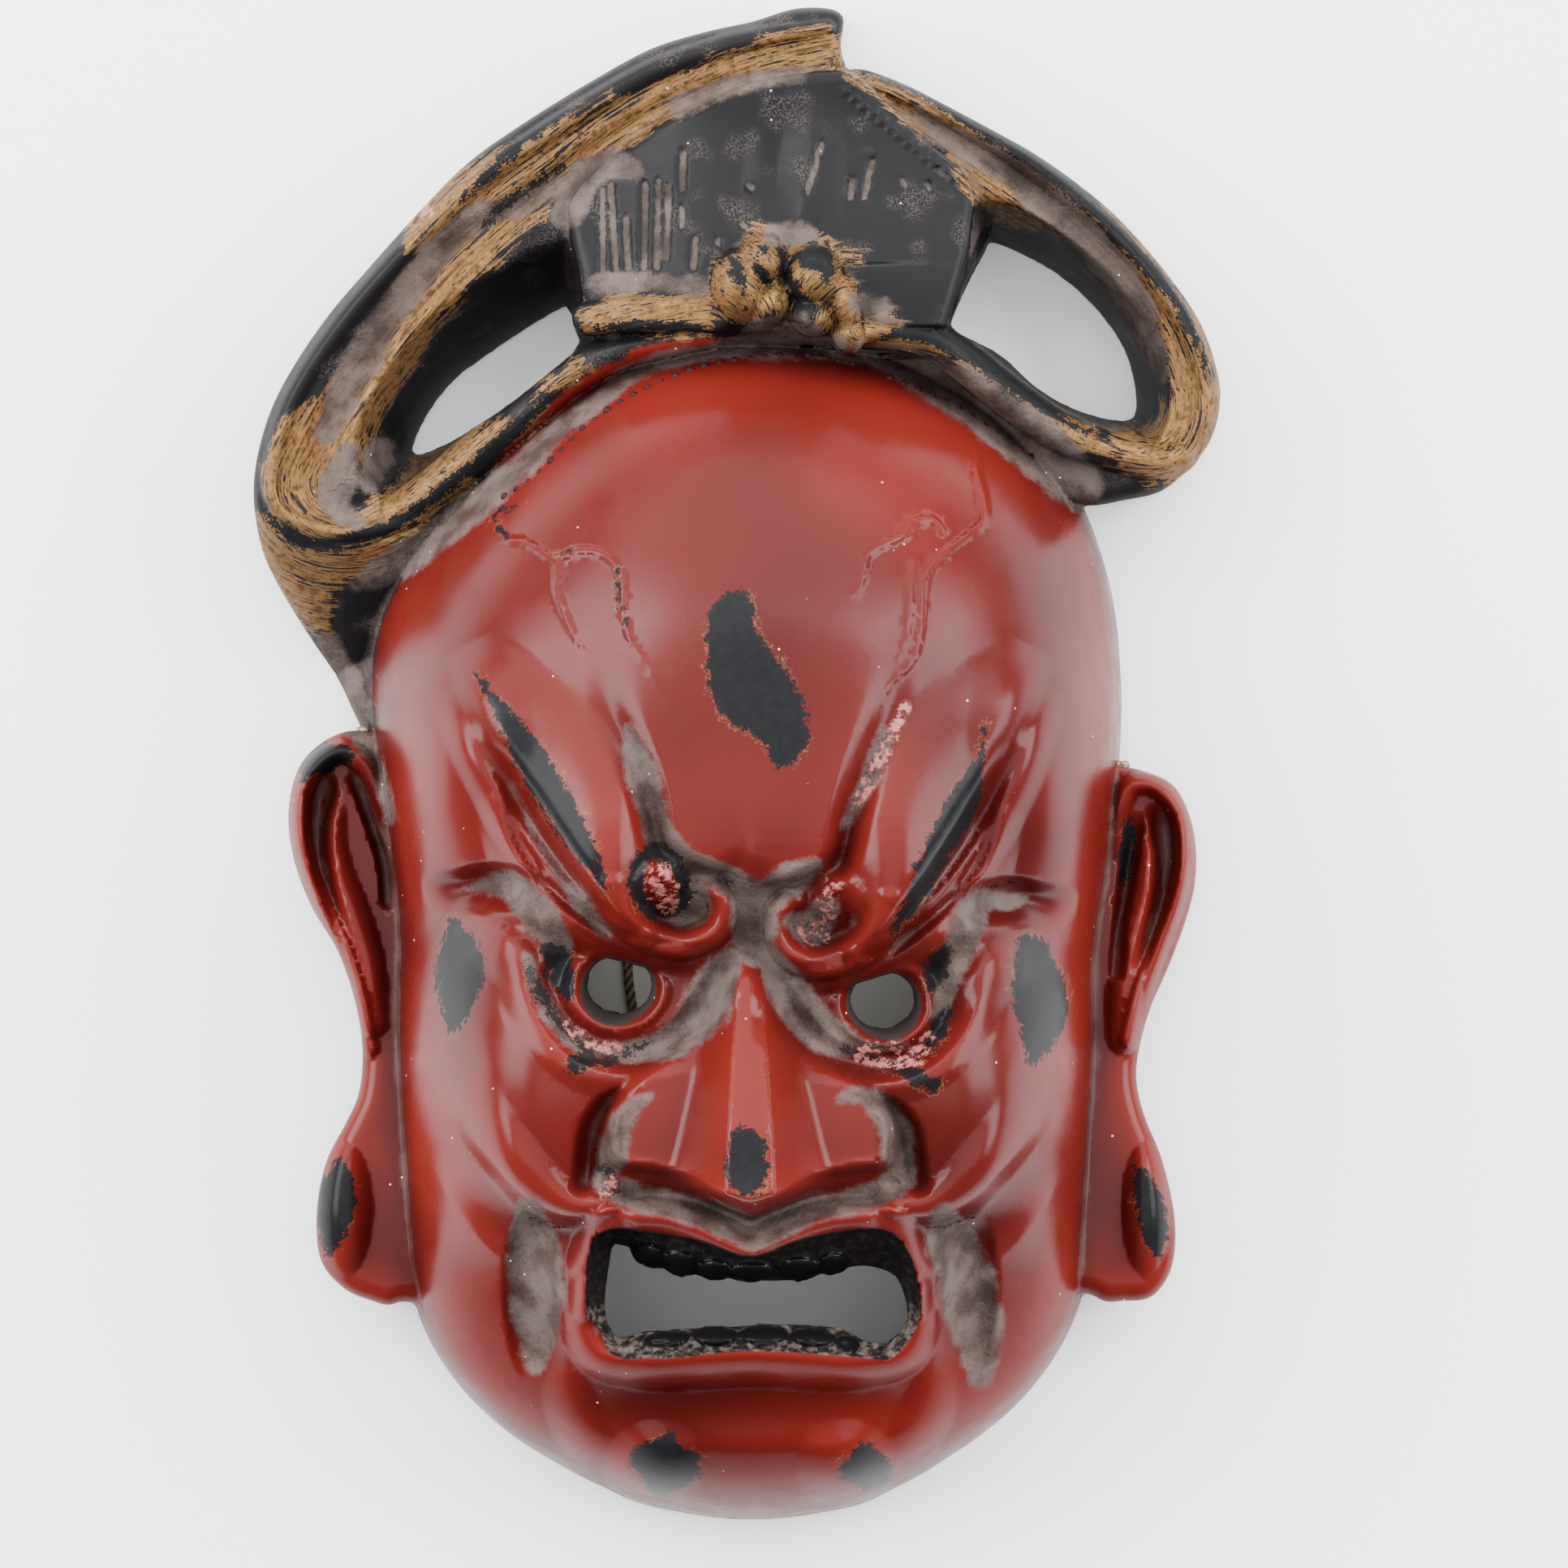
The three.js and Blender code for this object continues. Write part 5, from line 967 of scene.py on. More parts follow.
def facet(u, v):
    """The flat at the topknot's right, which falls away outward"""
    top = FACET_TOP - FACET_SLOPE * np.maximum(0, u - FACET_EDGE)
    return inside(u, v, FACET, per=2), top, 1

# %% Bow of the ribbon
BOW_BASE = 56.0
BOW_LOBES = [
    ((-10.8, 122.8), (8, 10), 10, 16), ((-5.2, 128.8), (7, 7.5), 0, 16), ((-3.2, 118.8), (6, 7.5), -30, 15),
    ((7.2, 124.8), (8.5, 8.5), 0, 17), ((6.8, 115.6), (7, 5.5), -20, 15), ((14.8, 118.8), (5, 9), 15, 14),
    ((16, 111.2), (5, 5), 0, 12),
]


def bow(u, v):
    top = np.full_like(u, FAR_DOWN)
    for centre, radii, turn, rise in BOW_LOBES:
        lobe = swell(u, v, centre, radii, turn, 0.5)
        top = np.where(lobe > 0, np.maximum(top, BOW_BASE + rise * lobe), top)
    return np.where(top > 0, 4.0, FAR_DOWN), top, 0.01

# %% [markdown]
# ## Fine relief
# Veins stand out on the forehead, a comb has scored the lacquered hair, and a beaded crest runs down one side
# of the topknot. They are too fine for the solid model, so only this skin has them. A bump map could fake
# them, but real relief also holds from the side.

# %% Fine relief: veins, comb marks and the beaded crest
VEINS = [
    [
        (47.8, 81.8, 1, 0.4), (47.4, 77, 1.5, 0.9), (49, 70.6, 1.6, 1), (49.2, 65.2, 1.6, 1),
        (46.2, 62, 1.5, 1), (42, 58.8, 1.4, 0.9), (37.8, 55.6, 1.4, 0.8), (34.4, 50.8, 1.4, 0.8),
        (34, 45, 1.3, 0.7), (33.4, 36.4, 1.2, 0.6), (31.2, 30, 1.2, 0.5), (26, 24.6, 1, 0.3),
        (23.2, 18.2, 0.9, 0),
    ],
    [
        (39.4, 62, 1.2, 0.7), (36.6, 65.2, 1.3, 0.9), (32.4, 64.8, 1.4, 0.9), (29.2, 61.6, 1.4, 0.9),
        (22.8, 58.4, 1.3, 0.8), (20, 55.6, 1.3, 0.7), (19, 50.2, 1.2, 0.6), (17.4, 45, 0.9, 0),
    ],
    [
        (32.4, 54.6, 1.1, 0.5), (31.2, 49.2, 1.1, 0.6), (31.2, 42.8, 1.1, 0.5), (30.2, 36.4, 1, 0.4),
        (27.6, 29.4, 0.9, 0),
    ],
    [
        (-70.8, 66.4, 1.1, 0.5), (-71, 63.2, 1.2, 0.7), (-68.4, 60.4, 1.3, 0.8), (-64, 59.8, 1.4, 0.9),
        (-58.2, 56.2, 1.4, 0.9), (-56, 54.6, 1.4, 0.9), (-56, 48.2, 1.3, 0.8), (-55, 43.8, 1.2, 0.7),
        (-52.8, 38.6, 1.1, 0.6), (-50.2, 34.2, 1, 0.5), (-46.4, 31, 0.9, 0),
    ],
    [
        (-55.6, 55.6, 1.2, 0.8), (-51.2, 57.6, 1.3, 0.8), (-45.8, 57.2, 1.3, 0.8), (-41.6, 54, 1.3, 0.8),
        (-40, 49.2, 1.3, 0.8), (-40, 43.8, 1.2, 0.7), (-39, 38.6, 1.1, 0.6), (-37.2, 34.2, 1, 0.5),
        (-33, 28.4, 0.9, 0.3), (-30.8, 24, 0.8, 0),
    ],
]
COMB_MARKS = [
    [(-44.8, 146.8), (-44.8, 125.4)], [(-42.8, 148.2), (-41.4, 126.2)], [(-39, 139.8), (-38.4, 126.8)],
    [(-34.2, 148.2), (-34.6, 126.8)], [(-31, 148.8), (-31.4, 127.4)], [(-28.4, 147.4), (-29.2, 129.6)],
    [(-24.8, 155.8), (-25.2, 146.8)], [(-25.2, 142), (-25.2, 137.8)], [(-21.8, 134.4), (-22.4, 127.4)],
    [(9.2, 157.8), (5.8, 146)], [(16.8, 148.8), (16.4, 144.6)], [(21.6, 153.6), (19.8, 144.6)],
    [(-16.6, 134.4), (-16.4, 133.4)], [(-10.4, 138.2), (-9.6, 137.4)], [(-8.8, 147.8), (-8, 147)],
    [(29.2, 148.6), (29.6, 147.6)], [(35.4, 147.8), (36, 147)], [(38.2, 151.4), (38.8, 150.4)],
]

# %% Their forms
MARK_HALF, MARK_DEPTH = 1.1, 0.9
CREST_ENDS = [(15.2, 170.8), (46, 146)]
CREST_BEADS = 15


def comb_marks(u, v):
    """How deep the comb's marks are cut into the topknot"""
    out = np.zeros_like(u)
    for (u0, v0), (u1, v1) in COMB_MARKS:
        rows = [(u0, v0, MARK_HALF, MARK_DEPTH), (u1, v1, MARK_HALF, MARK_DEPTH)]
        out = np.maximum(out, ridge(u, v, rows, 0.7))
    return out


def crest_beads(u, v):
    out = np.zeros_like(u)
    (u0, v0), (u1, v1) = CREST_ENDS
    for n in range(CREST_BEADS):
        t = n / (CREST_BEADS - 1)
        out += swell(u, v, (u0 + t * (u1 - u0), v0 + t * (v1 - v0)), (1.9, 1.2), 35, 1)
    return out


def veins(u, v):
    return np.max([ridge(u, v, rows, 1.2) for rows in VEINS], axis=0)

# %% [markdown]
# ## Hollow
# The mask is hollow to be worn: a second, plainer form is taken away from the first. The wall is
# about 6 mm thick and never less than 3 mm, with a collar round the mouth.

# %% The hollow
SHELL_WALL, LEAST_WALL, COLLAR = 6.5, 3.2, 13.0
ROOM_FORMS = [
    (-7, swell, (29.8, -49.8), (38, 26), 0, 1.2),
    (5, swell, (59.2, -72.8), (24, 36), 12, 1.2),
    (10, swell, (0, -76.8), (13, 26), 0, 1.2),
    (-4, swell, (56.8, -122.8), (20, 26), -8, 1.2),
    (-4, swell, (0, -106.8), (40, 12), 0, 1.2),
    (-3, swell, (0, -151.2), (46, 12), 0, 1.2),
]
CROWN_ROOM = [
    (-40.2, 140.8), (-23.2, 153.2), (-1.2, 160.2), (16.8, 160.2), (33.8, 140.8), (30.8, 113.2),
    (26.8, 81.2), (-33.2, 81.2), (-38.2, 113.2),
]
CROWN_CEILING = 44.0

# %% What depends on the drawing's place alone
def column(u, v):
    a, b = half(u, v)
    p = {"u": u, "v": v}
    p["rim"], p["height"] = dome(u, v)
    p["relief"] = total(a, b, RELIEF) + nose(a, b) + wings(a, b) + forehead(a, b) + lid_rings(u, v)
    p["relief"] += veins(u, v)
    clear = np.minimum(*(-inside(u, v, shape["hole"]) for shape in LOOPS.values()))
    slabs = [loop(u, v, shape) for shape in LOOPS.values()]
    slabs += [topknot(u, v), facet(u, v)]
    raised = [strip(u, v, *rows) for rows in STRIPS] + [bow(u, v)]
    slabs += [(np.minimum(side, clear), top, rounding) for side, top, rounding in raised]
    for n, (side, top, rounding) in enumerate(slabs):
        p[f"side_{n}"], p[f"top_{n}"], p[f"round_{n}"] = side, top, rounding
    for n, (outline, forms) in enumerate(EARS.values()):
        p[f"ear_side_{n}"] = inside(u, v, outline)
        p[f"ear_top_{n}"] = EAR_TOP + total(u, v, forms)
    p["teeth"] = teeth(u, v)
    p["hole"], p["recess"] = inside(u, v, MOUTH_HOLE), inside(u, v, MOUTH_RECESS)
    p["wall"] = SHELL_WALL + COLLAR * (1 - smooth(3, 8, -p["recess"])) - total(a, b, ROOM_FORMS)
    p["crown"] = inside(u, v, CROWN_ROOM)
    return p

# %% The field in space
SLABS = 8
SLAB_BLEND, EAR_BLEND, EAR_ROUND, CROWN_ROUND = 1.2, 2, 5, 8


def slab(side, top, z, rounding):
    p, q = rounding - side, rounding - (top - z)
    corner = (p > 0) & (q > 0)
    rounded = rounding - np.hypot(np.where(corner, p, 0), np.where(corner, q, 0))
    return np.where(corner, rounded, np.minimum(side, top - z))


def layers(p, z):
    """The field outside the hollow, and the hollow's own"""
    rounded = (p["rim"] + (np.maximum(z, 0) / p["height"]) ** DOME_POWER) ** (1 / DOME_POWER)
    egg = DOME_SCALE * (1 - rounded)
    out = egg + p["relief"]
    for n in range(SLABS):
        out = soft_max(out, slab(p[f"side_{n}"], p[f"top_{n}"], z, p[f"round_{n}"]), SLAB_BLEND)
    under = EAR_UNDER + EAR_UNDER_SLOPE * np.maximum(0, np.abs(p["u"] - AXIS) - EAR_ROOT)
    for n in (0, 1):
        ear = soft_min(slab(p[f"ear_side_{n}"], p[f"ear_top_{n}"], z, EAR_ROUND), z - under, 3)
        out = np.where(p[f"ear_side_{n}"] > -6, soft_max(out, ear, EAR_BLEND), out)
    hollow = np.maximum(egg - p["wall"], slab(p["crown"], CROWN_CEILING, z, CROWN_ROUND))
    return out, np.minimum(hollow, out - LEAST_WALL)


def field(p, z):
    """Positive in the material, zero on its surface"""
    out, hollow = layers(p, z)
    return np.minimum(np.minimum(out, -hollow), np.minimum(-openings(p, z), z))

# %% [markdown]
# ## From a rule to a skin
# The field is sampled on a lattice. One point is set in each cell that the skin passes through and
# one face across each lattice edge that it cuts: a surface net, which keeps soft forms softer than
# marching cubes does. Each point then slides down the field's slope until it lies on the skin.

# %% The drawing on a fine grid
STEP = 0.575
CELL = 2 * STEP
LOW, HIGH = (-134.0, -184.0, -CELL / 2), (112.0, 196.0, 122.0)
axis_u, axis_v = (np.arange(LOW[n], HIGH[n] + CELL, STEP) for n in (0, 1))
grid_u, grid_v = np.meshgrid(axis_u, axis_v, indexing="ij")
flat = column(grid_u.ravel(), grid_v.ravel())
MAPS = {name: m.reshape(grid_u.shape) for name, m in flat.items() if isinstance(m, np.ndarray)}
CONSTANTS = {name: m for name, m in flat.items() if not isinstance(m, np.ndarray)}
print("maps:", len(MAPS), "of", grid_u.shape)


def sample(u, v, names=None):
    """The drawing's values at any places, between the grid's points"""
    length, width = grid_u.shape
    i, j = (u - LOW[0]) / STEP, (v - LOW[1]) / STEP
    i0, j0 = np.clip(i.astype(int), 0, length - 2), np.clip(j.astype(int), 0, width - 2)
    fi, fj = i - i0, j - j0
    n = i0 * width + j0
    p = dict(CONSTANTS)
    for name in names or MAPS:
        m = MAPS[name].ravel()
        this_row, next_row = (m[k] * (1 - fj) + m[k + 1] * fj for k in (n, n + width))
        p[name] = this_row * (1 - fi) + next_row * fi
    p["u"], p["v"] = u, v
    return p

# %% A surface as a net of cells
AXES = np.eye(3, dtype=int)


def surface_net(values):
    """A vertex in each cell that the surface crosses, and a quad about each lattice edge that it cuts"""
    solid = values > 0
    nu, nv, nz = values.shape
    count = sum(
        solid[i : nu - 1 + i, j : nv - 1 + j, k : nz - 1 + k].astype(np.int8)
        for i in (0, 1) for j in (0, 1) for k in (0, 1)
    )
    cells = np.argwhere((count > 0) & (count < 8))
    number = np.full(count.shape, -1, np.int64)
    number[tuple(cells.T)] = np.arange(len(cells))
    total_at, crossings = np.zeros((len(cells), 3)), np.zeros(len(cells))
    for axis in range(3):
        step = AXES[axis]
        one, other = np.delete(AXES, axis, axis=0)
        for corner in (0 * step, one, other, one + other):
            a, b = (values[tuple((cells + corner + end).T)] for end in (0 * step, step))
            crosses = (a > 0) != (b > 0)
            t = np.where(crosses, a / np.where(crosses, a - b, 1), 0)
            total_at += crosses[:, None] * (corner + t[:, None] * step)
            crossings += crosses
    points = cells + total_at / crossings[:, None]
    quads = []
    for axis in range(3):
        second, third = (axis + 1) % 3, (axis + 2) % 3
        step, p, q = AXES[axis], AXES[second], AXES[third]
        low = solid[: nu - step[0], : nv - step[1], : nz - step[2]]
        high = solid[step[0] :, step[1] :, step[2] :]
        at = np.argwhere(low != high)
        for n in (second, third):
            at = at[(at[:, n] > 0) & (at[:, n] < count.shape[n])]
        ring = np.stack([number[tuple((at - s).T)] for s in (p + q, q, 0 * p, p)], axis=1)
        outward = solid[tuple(at.T)]
        quads.append(np.where(outward[:, None], ring, ring[:, ::-1]))
    return points, np.vstack(quads)

# %% The lattice and its net
coarse = {name: m[::2, ::2] for name, m in MAPS.items()} | CONSTANTS
heights = np.arange(LOW[2], HIGH[2], CELL)
lattice = np.stack([field(coarse, z).astype(np.float32) for z in heights], axis=2)
net, quads = surface_net(lattice)
net = net * CELL + LOW
del lattice
print("net:", len(net), "points")

# %% Points slide onto the skin
def value_at(points):
    return field(sample(points[:, 0], points[:, 1]), points[:, 2])


def gradient(points, reach=0.3):
    out = np.zeros_like(points)
    for axis in range(3):
        ahead, behind = points.copy(), points.copy()
        ahead[:, axis] += reach
        behind[:, axis] -= reach
        out[:, axis] = (value_at(ahead) - value_at(behind)) / (2 * reach)
    return out


for _ in range(2):
    slope = gradient(net)
    move = -(value_at(net) / np.maximum((slope**2).sum(1), 0.05))[:, None] * slope
    far = np.linalg.norm(move, axis=1, keepdims=True)
    net += move * np.minimum(1, 0.4 * CELL / np.maximum(far, 1e-9))
net[:, 2] = np.maximum(net[:, 2], 0)
print("surface:", len(net), "points,", len(quads), "quads")

# %% [markdown]
# ## Fewer triangles
# A net has cells of one size everywhere. The inside and the rim need far fewer, so Decimate takes
# most of what it removes there, and the front keeps cells of about a millimetre. Smooth shading then
# comes from the field's own slope and not from the faces, which hides the thinning.

# %% From net to mesh, thinned where the eye doesn't need it
FRONT_KEEP, KEEP_FACTOR = 0.35, 0.004
RIM_HEIGHT = 0.3
MASK_TRIANGLES = 188000


def keep_result(obj):
    """The object's mesh as its modifiers leave it, with the modifiers gone"""
    bpy.context.view_layer.update()
    evaluated = obj.evaluated_get(bpy.context.evaluated_depsgraph_get())
    result = bpy.data.meshes.new_from_object(evaluated)
    obj.modifiers.clear()
    obj.data = result
    return result


def real_points(points):
    """From the drawing to real millimetres"""
    return np.hstack([points[:, :2] * nearer(points[:, 2:3]), points[:, 2:3]])


def drawn(points):
    """Back from real millimetres to the drawing"""
    return np.hstack([points[:, :2] / nearer(points[:, 2:3]), points[:, 2:3]])


u, v, z = net.T
lining = (layers(sample(u, v), z)[1] > -0.5) | (z < RIM_HEIGHT)
mesh = bpy.data.meshes.new("mask_skin")
mesh.from_pydata(real_points(net) * MM, [], quads.tolist())
mask = put_in_scene("mask_skin", mesh)
group = mask.vertex_groups.new(name="may_go")
group.add(np.nonzero(lining)[0].tolist(), 1.0, "REPLACE")
group.add(np.nonzero(~lining)[0].tolist(), FRONT_KEEP, "REPLACE")
thin = mask.modifiers.new("thin", "DECIMATE")
thin.ratio = MASK_TRIANGLES / (2 * len(quads))
thin.vertex_group = "may_go"
thin.vertex_group_factor = KEEP_FACTOR
thin.use_collapse_triangulate = True
mesh = keep_result(mask)
mask.vertex_groups.clear()
mesh.name = "mask_skin"
print("thinned:", len(mesh.vertices), "points,", len(mesh.polygons), "triangles")

# %% Where each point lies in the drawing, and which way the form faces there
points = np.empty((len(mesh.vertices), 3))
mesh.vertices.foreach_get("co", points.ravel())
spots = drawn(points / MM)
slope = gradient(spots)
# the same slope in real space
near = nearer(spots[:, 2])
sideways = (slope[:, 0] * spots[:, 0] + slope[:, 1] * spots[:, 1]) / (near * VIEW_HEIGHT)
normals = -np.stack([slope[:, 0] / near, slope[:, 1] / near, slope[:, 2] + sideways], axis=1)
normals /= np.maximum(np.linalg.norm(normals, axis=1, keepdims=True), 1e-9)
mesh.shade_smooth()
mesh.normals_split_custom_set_from_vertices(normals.tolist())

# %% [markdown]
# ## Where each colour lies
# The lacquer is red on the face, black on hair and ribbon, and gold was brushed along the ribbon.
# Handling has rubbed black spots into the high places and grey dirt has settled in the low ones. A
# painted image could hold all this. Here each layer is a few brush strokes, rows of place and half
# width, and each point of the skin stores how far inside the nearest stroke it lies. The material
# then frays these edges with noise.

# %% Red lacquer and gold
RED_FIELD = [
    (-102.8, 12.2), (-101.8, 23.2), (-100.6, 32), (-99.2, 39.6), (-96.4, 46.4), (-92.8, 52.8),
    (-85.2, 61.2), (-75.6, 73), (-67.6, 84.2), (-58.6, 92.6), (-49.2, 101), (-39.6, 105),
    (-34.6, 108.4), (-19.4, 110), (-7.2, 110.8), (6.8, 111), (18.8, 109.6), (28.8, 106.8),
    (39.8, 102.8), (49.8, 96.8), (59.2, 89.2), (68.8, 78.8), (75.8, 68.8), (86.8, 53.2), (118.8, 33.2),
    (118.8, -66.8), (106.8, -194.8), (-133.2, -194.8), (-153.2, -66.8), (-133.2, 13.2),
]
# rows of u, v, half width
GOLD_STROKES = [
    # outer band of the left loop, then its turn
    [
        (13.6, 182, 5), (3.8, 180.8, 5.5), (-7.2, 177.6, 5), (-21.2, 171.6, 5.5), (-33.2, 166.8, 6),
        (-45.2, 161.2, 6.5), (-55.2, 154.2, 7), (-65.2, 146.2, 7.5), (-75.2, 135.2, 7),
        (-84.2, 123.2, 6.5), (-92.2, 112.2, 6.5), (-99.2, 102.2, 6.5), (-107.2, 92.2, 8),
        (-114.2, 83.2, 11), (-119.6, 73.2, 9), (-115.2, 65.2, 5), (-105.2, 62.8, 3),
    ],
    [(-71.6, 154, 3), (-78.2, 148.2, 5), (-84.2, 142.8, 5), (-90.2, 136.2, 3.5), (-93.2, 130.8, 1)],
    # where the left loop comes back, and its side
    [
        (-109.2, 62.8, 2), (-99.2, 65.6, 5), (-90.2, 72.4, 6.5), (-81.2, 80.8, 5.5), (-73.2, 86.4, 3),
        (-68.8, 90, 1),
    ],
    [(-62.2, 94.8, 1), (-57.2, 98.4, 2.6), (-51.6, 103.8, 1.6)],
    [(-67.2, 86.4, 1), (-63.2, 90, 2), (-58.4, 93.4, 1)],
    [(-129.8, 65.2, 2), (-124.2, 55.2, 6), (-118.8, 46.2, 8), (-114.8, 39.6, 4), (-112.8, 36.8, 1)],
    [
        (-121.2, 55.2, 3), (-111.2, 54.4, 6), (-103.2, 56.4, 4.5), (-93.2, 62.2, 2.6), (-83.2, 70.4, 2),
        (-76.4, 74.2, 0.8),
    ],
    [(-34.2, 109.6, 0.6), (-27.2, 111.2, 1.6), (-18.8, 111.4, 1.4)],
    # right loop
    [(16.8, 175.6, 3), (24.8, 172.2, 5), (32.8, 168.2, 5), (41.8, 161.2, 4.5), (46.8, 155.2, 3)],
    [(41.8, 153.2, 3), (49.8, 148.2, 5), (56.8, 142.2, 4), (64.8, 139.2, 2.5), (67.8, 135.2, 1)],
    [
        (46.8, 160.2, 2), (56.8, 154.2, 1.8), (66.8, 145.6, 2), (76.8, 136.2, 2.6), (86.8, 125.2, 3.4),
        (94.8, 113.2, 4), (99.8, 101.2, 5), (98.8, 89.2, 6.5), (92.8, 83.6, 6), (82.8, 84.2, 4),
    ],
    [
        (72.8, 148.2, 0.6), (84.8, 138.2, 1.4), (94.8, 126.2, 2.2), (102.4, 113.2, 2.4),
        (106.8, 99.2, 2.8), (106.4, 87.2, 4), (99.8, 78.2, 4), (90.8, 75.6, 2),
    ],
    [
        (92.8, 81.2, 5), (84.8, 80.8, 3.4), (75.8, 84.2, 2.4), (66.8, 89.6, 2.2), (59.2, 94.8, 1.6),
        (51.2, 100.4, 1.4), (42.8, 104.4, 1.4), (34.8, 106.8, 2.2), (25.8, 107.6, 3), (19.8, 111.2, 3.4),
    ],
    [(16.8, 109.2, 3), (21.8, 113.2, 3.6), (26.8, 114, 2)],
    # band and knot
    [(-47.6, 115.6, 3), (-41.2, 116.4, 4.4), (-31.2, 117.2, 4.8), (-21.2, 117.2, 4)],
    [(-10.8, 122.8, 8.5), (-9.6, 120.8, 8)],
    [(-5.2, 133.2, 4), (-5.2, 128.8, 6.5), (-3.6, 123.2, 5), (-0.8, 118, 4.5), (2.4, 113.2, 2)],
    [(7.2, 127.2, 8), (7.6, 124, 6)],
    [(12.8, 123.2, 3), (15.6, 117.6, 5), (14, 111.6, 3.4)],
    [(11.2, 113.6, 3), (12.8, 110.2, 2)],
]

